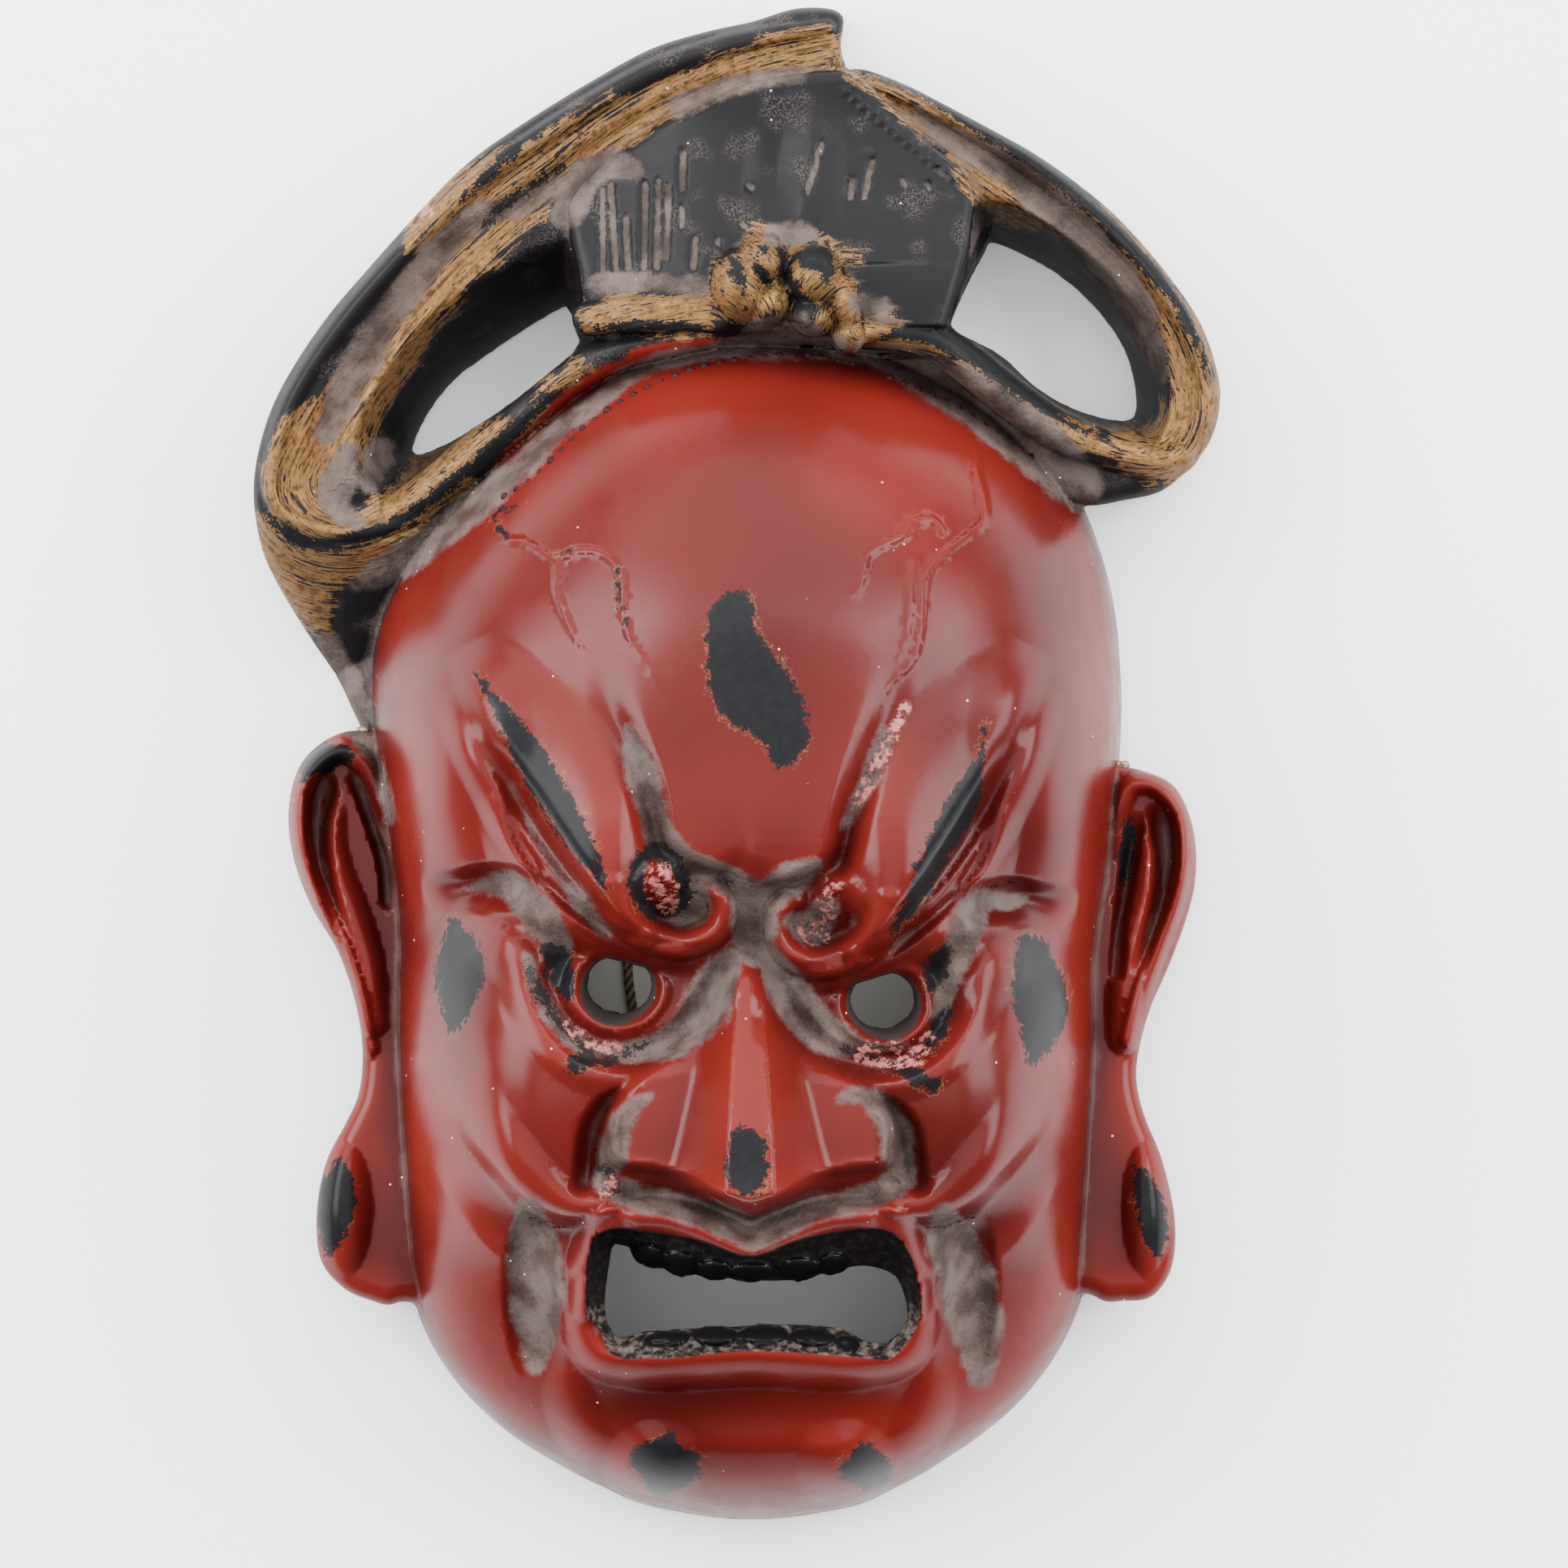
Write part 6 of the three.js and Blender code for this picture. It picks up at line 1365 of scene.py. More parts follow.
# %% Worn black
BLACK_STROKES = [
    # line of the left loop's turn and the ribbon's lower edges
    [
        (-129.6, 69.2, 0.8), (-127, 65.2, 1), (-119.2, 60.4, 1.6), (-111, 59.2, 1.8), (-103.4, 61.2, 1.8),
        (-94.4, 65.2, 1.6), (-85.2, 71.6, 1.6), (-75.2, 80.2, 1.4), (-66.8, 87.2, 1.8),
        (-58.8, 95.2, 1.4),
    ],
    [(-55.2, 152.2, 0.7), (-63.2, 146.8, 1.2), (-68.2, 143.2, 1.4), (-73.2, 138.2, 0.8)],
    [(-71.2, 154.8, 0.8), (-66.2, 157.2, 1.6), (-73.2, 150.2, 1.2), (-79.2, 144.2, 0.6)],
    [
        (26.8, 110.8, 0.8), (30.8, 111.2, 1.8), (38.8, 110, 2.6), (46.8, 106, 2.6), (54.2, 100, 2.2),
        (62.8, 93.6, 1.4), (71.2, 88.4, 0.8), (78.8, 85.6, 0.4),
    ],
    [
        (19.4, 176, 0.8), (31.2, 171.6, 1), (45.2, 163.4, 1.4), (62.2, 153.4, 1.7), (73.4, 143.8, 1.7),
        (84.4, 133.4, 1.7), (94.2, 122.4, 1.6), (100, 112.8, 1.2), (103.8, 102.8, 0.6),
    ],
    [(-46.2, 112.8, 0.5), (-39.2, 113, 1.3), (-29.2, 112.8, 1.2), (-20.8, 112.2, 0.4)],
    # worn spots on the knot
    [(-12.8, 129.2, 0.8), (-11.6, 126.2, 2), (-10.8, 123.2, 1.2), (-9.6, 120.8, 0.6)],
    [(-7.2, 129.6, 0.6), (-6, 127.2, 1.4), (-4.2, 123.2, 1)],
    [(4.8, 129.6, 2.4), (8, 129.6, 4), (10.4, 126.8, 2.6), (10, 124.2, 1)],
    [(-4.8, 132.2, 1)],
    # brow crests
    [
        (-76.2, 27.6, 0.3), (-73.2, 23.2, 0.9), (-69.6, 17.6, 2), (-65.2, 10.8, 3.6), (-60.8, 3.2, 4.2),
        (-55.2, -5.8, 3.8), (-50.8, -13.8, 3.2), (-46.8, -20, 2), (-44.2, -26, 0.6),
    ],
    [
        (49.6, 14.8, 0.5), (48.4, 8.2, 0.8), (46.8, 2.2, 2.2), (44.4, -3.8, 3.6), (40.8, -10.8, 3.8),
        (36.8, -18.4, 3.4), (32.8, -26.8, 2.4), (28.4, -33.8, 1.2), (26.2, -36.8, 0.4),
    ],
    # sides of the cheeks
    [(-81.2, -34.8, 2), (-80.2, -40.8, 5), (-80, -47.8, 6), (-80.8, -54.8, 4), (-82, -60.8, 1)],
    [(60.8, -41.2, 4), (62.4, -48.8, 6.4), (63.6, -55.8, 6.4), (62.4, -63.8, 4), (61.2, -67.8, 1.4)],
    # beside the eyes
    [(-58, -40.4, 2), (-56, -43.8, 3.2), (-54, -49.2, 2.4), (-52.8, -53.2, 0.8)],
    [(39.6, -41.2, 1.6), (38, -44.8, 3), (36.4, -49.2, 2), (35.8, -51.2, 0.6)],
    [
        (-63.6, -44.4, 0.6), (-61.2, -49.2, 1.4), (-58.2, -54.8, 1.2), (-55.2, -59.2, 1.4),
        (-50.8, -63.2, 1), (-48.4, -66.4, 2), (-52, -69.6, 2), (-53.6, -70.4, 0.5),
    ],
    [(-49.2, -67.2, 1.8), (-44.2, -68.4, 1.2), (-39.2, -66.4, 1), (-33.2, -63.6, 0.5)],
    [(40, -56, 1.2), (38.4, -59.2, 2), (36.4, -63.2, 1.8), (34.8, -65.2, 1)],
    [
        (14.4, -65.2, 0.5), (20.8, -67.4, 1), (26.8, -69.2, 1.4), (31.8, -71.6, 2), (36.4, -74.4, 1.6),
        (38, -73.2, 1),
    ],
    # the ring about the blistered spot
    [
        (-32.4, -16, 2), (-35.6, -19.6, 1.8), (-36.4, -24.8, 2), (-34.8, -29.2, 1.8), (-32, -31.6, 1.4),
        (-27.2, -31.2, 1), (-24.4, -28, 1.8), (-25.6, -22.8, 2), (-28, -18.4, 2.2), (-32.4, -16, 2),
    ],
    [(-45.2, -94.4, 0.8), (-43.2, -96, 0.9), (-41.6, -98.8, 0.8), (-42.8, -101.2, 1)],
    # tips of the ears and lobes
    [(-118.8, 1.2, 0.8), (-117.2, 4, 2.6), (-113.2, 6.4, 4), (-109.2, 7.2, 2.6)],
    [(85.2, -8.8, 1), (84.4, -13.8, 1.6), (84, -19.2, 1.4), (83.4, -25.2, 0.5)],
    [
        (-109.2, -92.8, 1), (-110, -98.8, 4.5), (-110.8, -104.8, 5), (-111.6, -110.8, 3.4),
        (-112.4, -115.8, 1),
    ],
    [(87.2, -94.8, 1), (88.8, -99.8, 3), (90.4, -104.8, 3.6), (91.6, -110.8, 3), (92.4, -115.8, 1)],
    [(-34.2, -166.8, 4), (-30.2, -167.6, 8.5), (-25.6, -168.4, 5)],
    [(16.4, -169.2, 3), (20, -168.8, 6.5), (22.8, -169.2, 4)],
    # cracks
    [(-65.2, 69.2, 0.1), (-70.8, 66.8, 0.5), (-71.2, 64.2, 0.5), (-68.2, 60.8, 0.3)],
    [(-55.2, 56.4, 0.5), (-52.4, 58, 0.3)],
    [(-41.6, 53.2, 0.3), (-40.4, 45.2, 0.5), (-38.2, 36.2, 0.3)],
]
BLACK_PATCHES = [
    [
        (-12.2, 47.6), (-9.2, 46.8), (-7.6, 42.8), (-6.4, 36.8), (-1.6, 30.8), (1.8, 25.6), (4.8, 19.2),
        (6, 12), (3.8, 7.2), (-0.8, 4), (-4.2, 8.4), (-7.2, 12.2), (-11.6, 14), (-15.2, 17.6),
        (-18, 23.2), (-19, 31.2), (-18.8, 39.2), (-16.8, 44.8),
    ],
    [
        (-11.6, -84.8), (-7.2, -85.2), (-4.4, -89.2), (-4, -96.4), (-5.6, -100.4), (-9.6, -101.2),
        (-13.6, -99.2), (-14.6, -94.8), (-13.8, -88.4),
    ],
]

# %% Settled dirt
GRIME_STROKES = [
    # between the brows and round the end of the forehead
    [
        (-38.2, 13.2, 1.6), (-36.2, 7.2, 3.4), (-34.2, 0.2, 4), (-32.4, -6.8, 4), (-30.8, -12.8, 4),
        (-26.2, -18.4, 4), (-19.2, -21.6, 3.4), (-13.2, -24.4, 4), (-8.2, -28.8, 5.6), (-7.6, -35.8, 6),
        (-7.2, -40.4, 4.6),
    ],
    [(7.8, -20.4, 2), (3.8, -22.4, 3.4), (-1.2, -25.2, 4.4), (-6.2, -28.8, 5)],
    [(14.8, -10.8, 0.8), (18.4, -3.8, 1.6), (21.8, 4.2, 2.4), (24.8, 12.2, 2)],
    [(-25.2, -32, 3), (-21.6, -30.4, 4), (-20.8, -26.8, 3)],
    [(1.8, -33.8, 2), (6.8, -35.8, 4.4), (10.4, -30.8, 3)],
    # about the eyes
    [
        (-63.2, -42.8, 1), (-60.8, -49.8, 2), (-57.2, -56.8, 2.4), (-52.2, -62.4, 2.4),
        (-46.2, -65.2, 2.4), (-37.2, -66, 2.6), (-27.2, -63.2, 4.6), (-20.2, -56.4, 5.6),
        (-16.2, -48.8, 5.4), (-13.2, -42.8, 3),
    ],
    [
        (-3.2, -42.4, 3), (0.4, -49.8, 5), (4.8, -56.8, 5), (11.8, -62.4, 4.4), (20.8, -65.2, 2.6),
        (28.8, -64, 1.4),
    ],
    [(40.8, -44.8, 2), (39.6, -51.8, 2.4), (36.8, -56.8, 1.4)],
    # temples' feet and the folds
    [
        (-78.2, -25.6, 1), (-73.2, -24.8, 2.6), (-67.2, -25.2, 3.4), (-63.2, -29.2, 4.6),
        (-58.8, -34.4, 4.6), (-55.2, -39.2, 3),
    ],
    [
        (-63.2, -8.8, 0.6), (-58.8, -16.8, 1.2), (-53.2, -25.2, 1.6), (-46.2, -34.4, 2),
        (-43.2, -37.2, 1.2),
    ],
    [
        (59.2, -27.6, 1), (54.8, -29.2, 1.8), (49.2, -28.4, 2.6), (46, -32.8, 4.4), (44, -38.8, 4.6),
        (42.4, -43.8, 3),
    ],
    # hooks round the wings of the nose
    [
        (-33.2, -77.2, 0.6), (-36.8, -79.2, 2), (-39.6, -82.4, 3.2), (-41.6, -87.2, 3.6),
        (-42.8, -92.4, 3.6), (-44.2, -97.2, 3), (-41.2, -100, 3), (-33.2, -102.4, 3.4),
        (-21.2, -105.2, 3.8), (-12.2, -108.8, 4), (-8.2, -111.2, 4),
    ],
    [
        (13.6, -77.6, 0.8), (18.4, -76.4, 2.4), (23.2, -78.8, 3.4), (26.8, -84.4, 4), (28.4, -90.8, 4.2),
        (28.8, -96.8, 4), (23.8, -100.8, 3.4), (14.8, -103.2, 3), (4.8, -106, 3.4), (-4.2, -110, 4),
    ],
    # laugh lines
    [
        (-62.8, -104.8, 3), (-62, -112.8, 6.4), (-61.2, -120.8, 7), (-60.8, -128.8, 6.6),
        (-60.8, -135.8, 5.4), (-61.2, -142, 3),
    ],
    [
        (38.8, -106, 3), (41.2, -112.8, 6.4), (44.4, -120.8, 7), (46.8, -130.8, 6.8), (48.4, -138.8, 5.6),
        (48.4, -146, 3),
    ],
    # behind the ribbon and along the hair
    [
        (-105.2, 49.2, 2), (-99.2, 52.2, 4), (-89.2, 58.8, 4), (-81.2, 65.2, 4), (-73.2, 71.6, 4),
        (-65.2, 78.2, 3), (-55.2, 87.6, 2.6), (-45.2, 95.6, 2.4), (-33.2, 103.2, 2), (-17.2, 107.2, 2),
        (-1.2, 108.4, 3.4), (12.8, 108.2, 3),
    ],
    [
        (18.8, 107.2, 2), (28.8, 104, 4), (40.8, 98.4, 6), (52.8, 90.8, 7), (64.8, 81.2, 7),
        (72.8, 73.2, 6),
    ],
    [(-112.8, 33.2, 4), (-107.6, 23.2, 4.4), (-104.4, 14.2, 2.4)],
    [(-108.2, 13.2, 1), (-104.2, 11.6, 2.4), (-99.6, 3.2, 1.4), (-96.8, -8.8, 1.6)],
    # troughs of the loops
    [
        (-55.2, 148.8, 2), (-65.2, 143.2, 3), (-73.2, 140.8, 3.4), (-81.2, 135.2, 3.4), (-89.2, 126.2, 4),
        (-97.2, 116.2, 4.2), (-103.6, 105.2, 4.4), (-109.2, 95.2, 4.2), (-112.8, 87.2, 3),
    ],
    [(-107.2, 81.2, 3), (-109.2, 75.2, 4.4), (-110.8, 69.2, 3.4), (-105.2, 64.2, 2)],
    [(-99.2, 81.2, 4), (-102.2, 75.2, 3.4)],
    [
        (33.4, 165.2, 1.6), (40.8, 159.2, 2.6), (49.8, 155.2, 4), (59.2, 148.8, 4.4), (68.8, 140.2, 4.6),
        (77.8, 130.2, 4.6), (85.8, 119.2, 4.4), (90.8, 108.2, 3.4), (94, 99.2, 1),
    ],
    # edges of the topknot
    [(-53.2, 140.8, 4), (-50.2, 148.8, 4), (-43.2, 153.2, 4), (-37.2, 151.2, 3)],
    [(-25.6, 166.8, 3), (-17.2, 170.8, 3), (-7.2, 173.6, 2.4), (3.8, 175.2, 2)],
    [(-44.8, 123.2, 3), (-33.2, 123.6, 2.4), (-21.2, 122.8, 3)],
    [(-2.2, 135.2, 3), (3.8, 136.2, 3), (6.8, 134, 2)],
    [(18.8, 118.8, 3), (24.8, 116.2, 3), (30.8, 116.2, 2)],
    [(3.8, 114.2, 2.4), (-1.2, 113.2, 3), (-7.2, 110.8, 3.4), (6.8, 110.2, 3.4)],
]

# %% Blistered spots, and the distance to a stroke
PALE_STROKES = [
    [(-30.8, -21.2, 2.4), (-30.2, -25.8, 4), (-28.8, -29.2, 2.6)],
    [(6.8, -36.4, 3.2), (8.8, -36.8, 2.4)],
    [(12.8, -24.8, 1.4), (10.4, -28.8, 1.6), (10.8, -32.8, 1.4)],
    [(18.4, -3.8, 1), (22.8, 4.2, 1.6), (26.8, 12.2, 1.4), (29.8, 19.2, 1)],
    [(19.2, -66, 2.4), (26.8, -66.8, 3), (32.8, -66.8, 2.2), (36, -62, 1)],
    [(-44.2, -101.2, 1.4), (-42.8, -98.4, 1.6)],
    [(-53.2, -59.6, 1.4), (-48.4, -63.2, 1.4), (-41.2, -65.2, 1)],
    [(-92.2, 140, 2.2), (-88.6, 141.6, 2.2)],
]


def strokes(u, v, lines, reach=5.0):
    """Signed distance to the nearest edge of any of the strokes, positive inside"""
    out = np.full_like(u, -reach)
    for rows in lines:
        rows = rows if len(rows) > 1 else rows + [(rows[0][0] + 0.01, *rows[0][1:])]
        path = line(rows) if len(rows) > 2 else np.asarray(rows, float)
        where, distance, _, _, width = nearest(u, v, path, reach + max(row[2] for row in rows))
        out[where] = np.maximum(out[where], width[:, 0] - distance)
    return out

# %% Along and across the ribbon
RIBBON_LINES = [
    [
        (14, 184.2), (-7.2, 180), (-23.2, 173.2), (-41.2, 163.2), (-55.2, 152.2), (-73.2, 138.2),
        (-93.2, 117.2), (-107.2, 99.2), (-116.2, 84.2), (-120.2, 73.2), (-114.2, 65.2), (-103.2, 65.2),
        (-89.2, 73.2), (-73.2, 84.2), (-55.2, 100.2), (-37.2, 107.2), (-19.2, 110.2),
    ],
    [
        (16.8, 175.2), (36.8, 165.2), (54.8, 152.2), (72.8, 138.2), (88.8, 121.2), (97.8, 105.2),
        (100.8, 91.2), (94.8, 81.2), (82.8, 81.2), (66.8, 88.8), (52.8, 99.2), (38.8, 109.2),
        (18.8, 112.2),
    ],
]


def ribbon_run(u, v):
    """Along and across the ribbon, in millimetres"""
    along_it, across_it, best = np.zeros_like(u), np.zeros_like(u), np.full_like(u, 1e9)
    for rows in RIBBON_LINES:
        where, distance, side, run, _ = nearest(u, v, line(rows), 200)
        closer = distance < best[where]
        n = where[closer]
        along_it[n], across_it[n], best[n] = run[closer], (side * distance)[closer], distance[closer]
    return along_it, across_it

# %% Heights and hollows of the front
def blurred(m, radius):
    """A map averaged over a square of that half width, in millimetres, twice"""
    n = max(1, round(radius / STEP))
    window = 2 * n + 1
    for axis in (0, 0, 1, 1):
        padded = np.pad(m, [(n + 1, n) if k == axis else (0, 0) for k in (0, 1)], mode="edge")
        sums = np.cumsum(padded, axis=axis)
        size = m.shape[axis]
        m = (np.take(sums, range(window, window + size), axis) - np.take(sums, range(size), axis)) / window
    return m


def front_height():
    p = MAPS
    head = np.maximum(1 + p["relief"] / DOME_SCALE, 0) ** DOME_POWER - p["rim"]
    top = p["height"] * np.maximum(head, 0) ** (1 / DOME_POWER)
    for n in range(SLABS):
        top = np.where(p[f"side_{n}"] > 0, np.maximum(top, p[f"top_{n}"]), top)
    for n in (0, 1):
        top = np.where(p[f"ear_side_{n}"] > 0, np.maximum(top, p[f"ear_top_{n}"]), top)
    return top


MAPS["front"] = front_height()
for name, radius in (("cavity", 2.2), ("hollow_way", 6.0)):
    MAPS[name] = blurred(MAPS["front"], radius) - MAPS["front"]
print("front: highest", round(float(MAPS["front"].max()), 1), "mm")

# %% The skin keeps its paint in attributes
WALL_FACING, FACING_SPAN = 0.1, 0.25
PALE_FACING, PALE_FALL = 0.2, 12
u, v, z = spots.T
facing = normals[:, 2]
found = sample(u, v)
# a steep wall stands on the jump of the front's heights, where neither hollow nor blister is meant
from_above = np.clip((facing - WALL_FACING) / FACING_SPAN, 0, 1)
patches = np.max([inside(u, v, rows, reach=5) for rows in BLACK_PATCHES], axis=0)
paint = {
    "red": inside(u, v, RED_FIELD, per=4, reach=12),
    "black": np.maximum(strokes(u, v, BLACK_STROKES), patches),
    "gold": strokes(u, v, GOLD_STROKES),
    "grime": strokes(u, v, GRIME_STROKES),
    "pale": np.minimum(strokes(u, v, PALE_STROKES), (facing - PALE_FACING) * PALE_FALL),
    "cavity": found["cavity"] * from_above,
    "hollow_way": found["hollow_way"] * from_above,
    "teeth": found["teeth"],
    "opening": openings(found, z),
    "facing": facing,
    "marks": np.maximum(comb_marks(u, v), 0) / MARK_DEPTH,
}
places = {"brush": np.stack([*ribbon_run(u, v), z], axis=1), "drawing": spots}
for name, values in paint.items():
    mesh.attributes.new(name, "FLOAT", "POINT").data.foreach_set("value", values.astype(np.float32))
for name, values in places.items():
    stored = mesh.attributes.new(name, "FLOAT_VECTOR", "POINT").data
    stored.foreach_set("vector", values.astype(np.float32).ravel())
print("paint:", {name: round(float((values > 0).mean()), 3) for name, values in paint.items()})

# %% [markdown]
# ## Paint
# Each layer of the paint is one function that lays its colour over the one before: lacquer with painted shade
# in its hollows and painted light on its crests, worn black, gilding, the dark of the openings, dirt and
# blisters. What a layer finds out, such as where it is dirty, it leaves in n for the layers after it. Shine
# and roughness come last, from all of them, so a dirty place is also a dull one.

# %% Colours of the layers
DEEP_RED, BRIGHT_RED = rgb(56, 12, 10), rgb(92, 23, 18)
HAIR_BLACK, SCUFFED = rgb(19, 18, 20), rgb(52, 47, 46)
OCHRE_EDGE = rgb(98, 66, 40)
WORN_DARK, WORN_LIGHT = rgb(12, 13, 14), rgb(26, 26, 28)
GOLD_DARK, GOLD_LIGHT = rgb(56, 40, 24), rgb(126, 92, 55)
EYE_WALL, MOUTH_WALL = rgb(40, 35, 33), rgb(20, 18, 18)
CLOTH_DARK, CLOTH_GREY = rgb(34, 30, 29), rgb(92, 82, 76)
TOOTH_BLACK = rgb(13, 13, 14)
DIRT_DARK, DIRT_LIGHT = rgb(52, 44, 41), rgb(86, 76, 72)
BLISTER, FLECK = rgb(150, 92, 86), rgb(226, 214, 206)
WOOD_DARK, WOOD_LIGHT = rgb(58, 50, 45), rgb(92, 82, 74)

# %% Noises and attributes that the layers share
def grain(g):
    n = {"place": g.millimetres()}
    for name in paint:
        n[name] = g.attribute(name)
    n["up"] = g.put("SeparateXYZ", {0: g.attribute("drawing", out="Vector")}, out=1)
    n["broad"], n["mid"] = g.noise(n["place"], 0.018, 1.0), g.noise(n["place"], 0.11, 1.0)
    n["fine"], n["speck"] = g.noise(n["place"], 0.45, 3.0, 0.65), g.noise(n["place"], 2.0, 1.0, 0.6)
    n["streaks"] = g.noise(g.stretch(g.attribute("brush", out="Vector"), (0.05, 1.1, 0.4)), 1.0, 2.0, 0.65)
    n["ragged"] = g.add(g.swing(n["fine"], 7.0), g.swing(n["speck"], 4.0))
    return n

# %% Lacquer
def lacquer(g, n):
    """Red of random tone, with painted shade that darkens it in the hollows and painted light that brightens
    it on the crests, and scuffed black on hair and ribbon
    """
    # hollow_way darkens the red in the hollows and lightens it on the crests: painted shade and painted light
    # over the lacquer's random tone
    depth = g.add(g.swing(n["broad"], 1.4), g.times(n["hollow_way"], -0.07), 0.45)
    red = g.mix(g.step(0.0, 1.0, depth), DEEP_RED, BRIGHT_RED)
    n["on_face"] = g.step(-0.5, 0.5, g.add(n["red"], g.times(n["ragged"], 0.5)))
    scuffs = g.times(g.step(0.5, 0.72, n["mid"]), g.step(0.45, 0.6, n["speck"]))
    return g.mix(n["on_face"], g.mix(scuffs, HAIR_BLACK, SCUFFED), red)

# %% Worn black with an ochre edge
def worn_black(g, n, colour):
    edge = g.add(n["black"], g.times(n["ragged"], 0.9))
    broken = g.times(g.step(0.47, 0.55, n["speck"]), g.step(0.42, 0.6, n["mid"]))
    fringe = g.times(g.step(-1.0, -0.1, edge), broken, n["on_face"])
    n["worn"] = g.step(-0.15, 0.15, edge)
    return g.mix(n["worn"], g.mix(fringe, colour, OCHRE_EDGE), g.mix(n["fine"], WORN_DARK, WORN_LIGHT))

# %% Gold brushed along the ribbon
def gilding(g, n, colour):
    reach = g.add(
        n["gold"], g.times(n["ragged"], 0.55), g.swing(n["streaks"], 11.0), g.swing(n["mid"], 9.0)
    )
    bare = g.step(0.52, 0.6, g.add(g.times(n["streaks"], 0.7), g.times(n["fine"], 0.3)))
    n["gilt"] = g.times(g.step(-0.3, 0.3, reach), g.rest_of(bare), g.rest_of(n["worn"]))
    tone = g.add(g.times(n["streaks"], 0.5), g.times(n["fine"], 0.5))
    return g.mix(n["gilt"], colour, g.mix(g.step(0.34, 0.6, tone), GOLD_DARK, GOLD_LIGHT))

# %% Walls of the openings
def dark_openings(g, n, colour):
    """Dusty black round the eyes, black teeth, and rough cloth at the mouth's lower edge"""
    n["inner"] = g.step(-0.9, -0.3, n["opening"])
    in_mouth = g.step(-90.0, -94.0, n["up"])
    cloth = g.mix(g.times(g.step(-127.0, -130.0, n["up"]), 0.8), CLOTH_DARK, CLOTH_GREY)
    mouth = g.mix(g.step(0.4, 0.7, n["fine"]), MOUTH_WALL, cloth)
    colour = g.mix(n["inner"], colour, g.mix(in_mouth, EYE_WALL, mouth))
    n["tooth"] = g.times(g.step(0.5, 1.6, n["teeth"]), in_mouth)
    return g.mix(n["tooth"], colour, TOOTH_BLACK)

# %% Dirt in the hollows
def settled_dirt(g, n, colour):
    settled = g.add(n["grime"], g.swing(n["mid"], 3.0), g.times(n["ragged"], 0.3))
    caught = g.add(n["cavity"], g.swing(n["mid"], 2.4), g.times(n["ragged"], 0.25))
    dirt = g.most(
        g.times(g.step(-0.9, 1.1, settled), 0.9), g.times(g.step(1.2, 3.0, caught), 0.4),
        g.times(g.step(0.35, 0.8, n["marks"]), 0.8),
    )
    n["dirt"] = g.times(dirt, g.rest_of(n["tooth"]), g.rest_of(g.times(n["worn"], 0.85)))
    tone = g.add(g.times(n["mid"], 0.6), g.times(n["fine"], 0.25), g.times(n["speck"], 0.15))
    return g.mix(n["dirt"], colour, g.mix(g.step(0.36, 0.64, tone), DIRT_DARK, DIRT_LIGHT))

# %% Blisters and pale flecks
def blisters(g, n, colour):
    blister = g.step(-0.4, 0.4, g.add(n["pale"], g.times(n["ragged"], 0.5)))
    colour = g.mix(g.times(blister, g.step(0.46, 0.56, n["fine"])), colour, BLISTER)
    cells = g.put("TexVoronoi", {"Vector": n["place"], "Scale": 0.16, "Randomness": 1.0}, feature="F1")
    fleck = g.times(g.math("LESS_THAN", cells, 0.04), g.step(0.5, 0.56, n["mid"]))
    return g.mix(fleck, colour, FLECK)

# %% Fine relief
def relief(g, n):
    """A bump works out its height three times, so it reads the stored distances and no whole layer"""
    dirty, gilded, blistered = (g.step(-1.0, 1.0, n[name]) for name in ("grime", "gold", "pale"))
    share = g.add(g.times(dirty, 0.3), blistered, 0.02)
    height = g.times(g.noise(n["place"], 0.7, 1.0, 0.6), share)
    return g.bump(g.add(height, g.times(n["streaks"], g.add(g.times(gilded, 0.5), 0.01))), 0.0008)

# %% Shine
def finished_paint(g, n, colour):
    """Glossy where the lacquer is whole and faces up, dull on dirt, in the openings and on steep walls"""
    matt = g.most(g.times(n["dirt"], 0.8), g.times(n["inner"], g.rest_of(n["tooth"])))
    over_chin = g.add(g.times(g.step(-150.0, -100.0, n["up"]), 0.95), 0.05)
    whole = g.times(g.rest_of(matt), g.rest_of(g.times(n["worn"], 0.6)))
    on_red = g.add(g.times(n["on_face"], 0.5), 0.5)
    gloss = g.times(g.step(0.25, 0.6, n["facing"]), over_chin, whole, on_red)
    rough = g.add(
        0.25, g.swing(n["mid"], 0.2), g.times(n["gilt"], 0.16), g.times(matt, 0.4),
        g.times(g.rest_of(n["on_face"]), 0.14),
    )
    return g.surface(colour, rough, **{
        "Metallic": g.times(n["gilt"], g.add(0.5, g.times(n["dirt"], -0.5))),
        "Normal": relief(g, n), "Specular IOR Level": g.add(0.02, g.times(gloss, 0.12)),
    })

# %% The layers together, and the bare lining
def paint_material():
    g = Graph("mask_paint")
    n = grain(g)
    colour = lacquer(g, n)
    for layer in (worn_black, gilding, dark_openings, settled_dirt, blisters):
        colour = layer(g, n, colour)
    return g.finish(finished_paint(g, n, colour))


def lining_material():
    g = Graph("mask_lining")
    place = g.millimetres()
    mid, fine = g.noise(place, 0.08), g.noise(place, 0.8, 5.0, 0.7)
    colour = g.mix(g.step(0.3, 0.7, mid), WOOD_DARK, WOOD_LIGHT)
    return g.finish(g.surface(colour, 0.8, Normal=g.bump(fine, 0.0012)))


LINING_DEPTH = 0.6
mesh.materials.append(paint_material())
mesh.materials.append(lining_material())
inner = (layers(found, z)[1] > -LINING_DEPTH) | (z < RIM_HEIGHT)
corners = np.empty(len(mesh.polygons) * 3, int)
mesh.polygons.foreach_get("vertices", corners)
of_lining = inner[corners.reshape(-1, 3)].all(1)
mesh.polygons.foreach_set("material_index", of_lining.astype(int))
print("lining:", int(of_lining.sum()), "of", len(of_lining), "triangles")

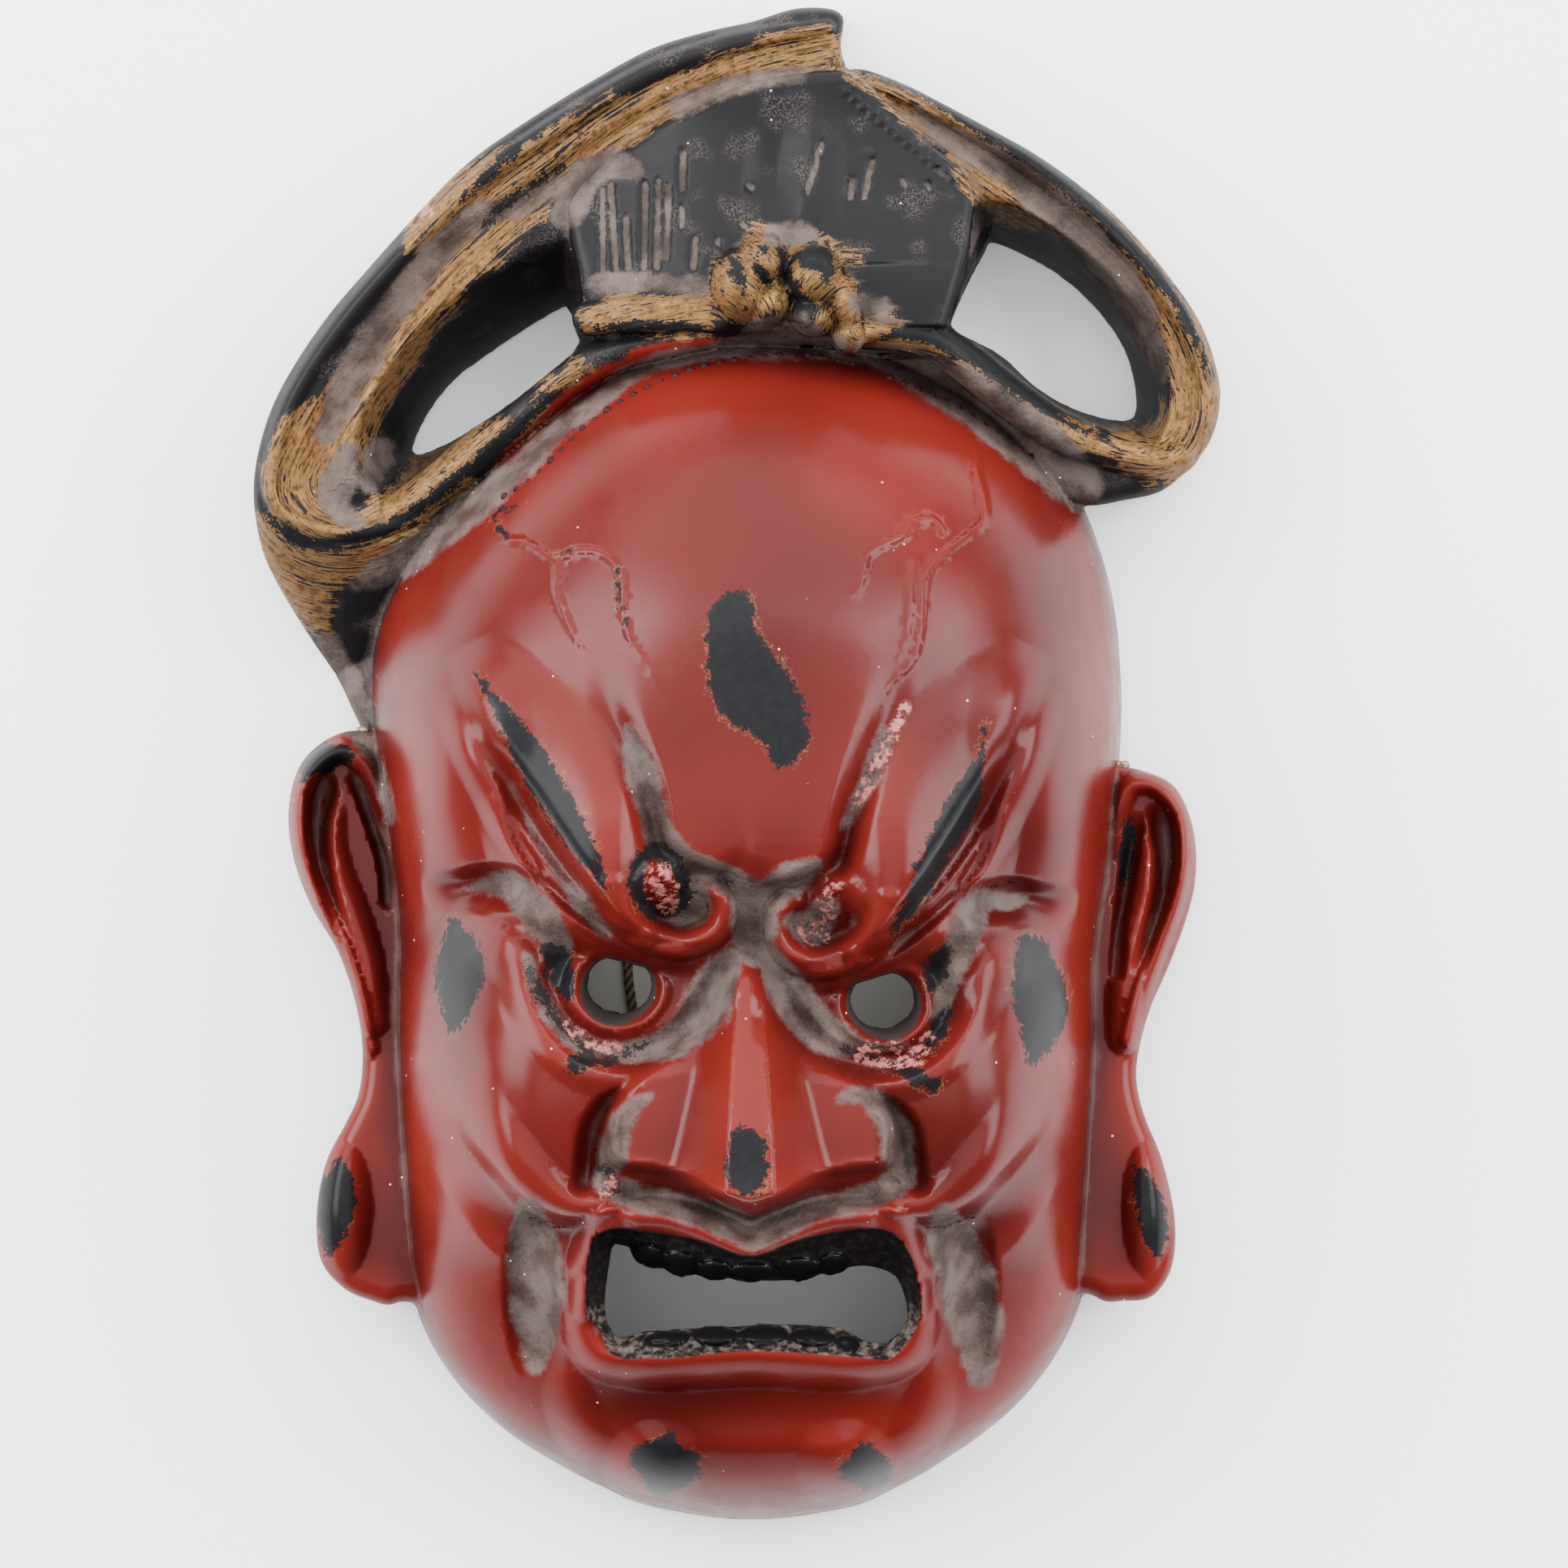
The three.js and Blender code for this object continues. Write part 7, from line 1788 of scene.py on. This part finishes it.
# %% The skin takes the solid's place
own = np.stack([points.min(0), points.max(0)])
wanted = np.array(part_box("mask"))
scale = np.minimum((wanted[1] - wanted[0]) / (own[1] - own[0]), 1.0)
moved = (points - own.mean(0)) * scale + wanted.mean(0)
moved[:, 2] = points[:, 2] * scale[2] + wanted[0][2]
mesh.vertices.foreach_set("co", moved.ravel())
mesh.update()
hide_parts("mask")
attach(mask, "root")
print("scale to the solid's box:", [round(float(s), 4) for s in scale])

# %% [markdown]
# ## Roots of the hair
# Along the hairline the carver left a row of small beads, the roots of the hair. They follow a line
# over the skin and differ a little in size, which is what Geometry Nodes are good at: the line is cut
# into even steps, a bead is set on each, and a random value with a fixed seed scales it.

# %% A line over the skin
BEAD_SINK = 0.6
HAIRLINE = [
    [
        (-68.8, 70.8), (-62.2, 75.2), (-55.2, 81.8), (-49.2, 87.8), (-41.2, 93.4), (-33.2, 97.8),
        (-23.2, 101.8), (-13.2, 104.2), (-3.2, 105.4), (6.8, 105.4), (16.8, 103.4),
    ],
    [(26, 100), (35.6, 96), (42.4, 93), (48.2, 89.4), (54.8, 85), (60.8, 80.6)],
]


def over_skin(rows, spacing=1.0):
    """Points on the front of the mask under a line of the drawing, in metres"""
    flat = even_line([(u, v, 0) for u, v in rows], spacing)[0]
    height = sample(flat[:, 0], flat[:, 1], ["front"])["front"]
    return real_points(np.stack([flat[:, 0], flat[:, 1], height - BEAD_SINK], axis=1)) * MM + (*SHIFT, 0)


lines = [over_skin(rows) for rows in HAIRLINE]
starts = np.cumsum([0] + [len(row) for row in lines])
edges = [(int(a) + n, int(a) + n + 1) for a, row in zip(starts, lines) for n in range(len(row) - 1)]
root_mesh = bpy.data.meshes.new("hair_roots")
root_mesh.from_pydata(np.vstack(lines).tolist(), edges, [])
roots = put_in_scene("hair_roots", root_mesh)
print("hairline:", len(lines), "lines of", [len(row) for row in lines], "points")

# %% The beads' own lacquer
def root_material():
    g = Graph("hair_root")
    place = g.millimetres()
    grainy = g.noise(place, 0.9, 3.0)
    colour = g.mix(g.step(0.42, 0.6, grainy), rgb(30, 9, 9), rgb(52, 15, 14))
    more = {"Specular IOR Level": 0.15, "Normal": g.bump(grainy, 0.0002)}
    return g.finish(g.surface(colour, 0.6, **more))


root_finish = root_material()

# %% Geometry Nodes set a bead on every step of the line
SOCKETS = {
    "Line": "Geometry", "Step": "Float", "Bead radius": "Float", "Least size": "Float", "Seed": "Int",
    "Finish": "Material",
}


def bead_tree():
    tree = bpy.data.node_groups.new("beads_on_a_line", "GeometryNodeTree")
    for name, kind in SOCKETS.items():
        tree.interface.new_socket(name, in_out="INPUT", socket_type="NodeSocket" + kind)
    tree.interface.new_socket("Beads", in_out="OUTPUT", socket_type="NodeSocketGeometry")
    add, link = tree.nodes.new, tree.links.new
    given, result = add("NodeGroupInput").outputs, add("NodeGroupOutput")
    steps = add("GeometryNodeResampleCurve")
    steps.mode = "LENGTH"
    bead = add("GeometryNodeMeshIcoSphere")
    bead.inputs["Subdivisions"].default_value = 2
    size = add("FunctionNodeRandomValue")
    size.data_type = "FLOAT"
    low, high, seed = (
        next(socket for socket in size.inputs if socket.identifier == name)
        for name in ("Min_001", "Max_001", "Seed")
    )
    high.default_value = 1.0
    setting = add("GeometryNodeInstanceOnPoints")
    finish = add("GeometryNodeSetMaterial")
    curve = add("GeometryNodeMeshToCurve")
    link(given["Line"], curve.inputs["Mesh"])
    link(curve.outputs["Curve"], steps.inputs["Curve"])
    link(given["Step"], steps.inputs["Length"])
    link(given["Bead radius"], bead.inputs["Radius"])
    link(given["Least size"], low)
    link(given["Seed"], seed)
    link(steps.outputs["Curve"], setting.inputs["Points"])
    link(bead.outputs["Mesh"], setting.inputs["Instance"])
    link(next(socket for socket in size.outputs if socket.identifier == "Value_001"), setting.inputs["Scale"])
    flow = setting.outputs["Instances"]
    for kind in ("GeometryNodeSetShadeSmooth", "GeometryNodeRealizeInstances"):
        node = add(kind)
        link(flow, node.inputs["Geometry"])
        flow = node.outputs["Geometry"]
    link(flow, finish.inputs["Geometry"])
    link(given["Finish"], finish.inputs["Material"])
    link(finish.outputs["Geometry"], result.inputs["Beads"])
    return tree


beads = bead_tree()
print("tree:", len(beads.nodes), "nodes")

# %% From nodes to a plain mesh
modifier = roots.modifiers.new("beads", "NODES")
modifier.node_group = beads
inputs = {item.name: item.identifier for item in beads.interface.items_tree if item.in_out == "INPUT"}
values = {
    "Step": 3.6 * MM, "Bead radius": 1.1 * MM, "Least size": 0.6, "Seed": 7, "Finish": root_finish,
}
for name, value in values.items():
    modifier[inputs[name]] = value
keep_result(roots)
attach(roots, "root")
print("hair roots:", len(roots.data.polygons), "faces")
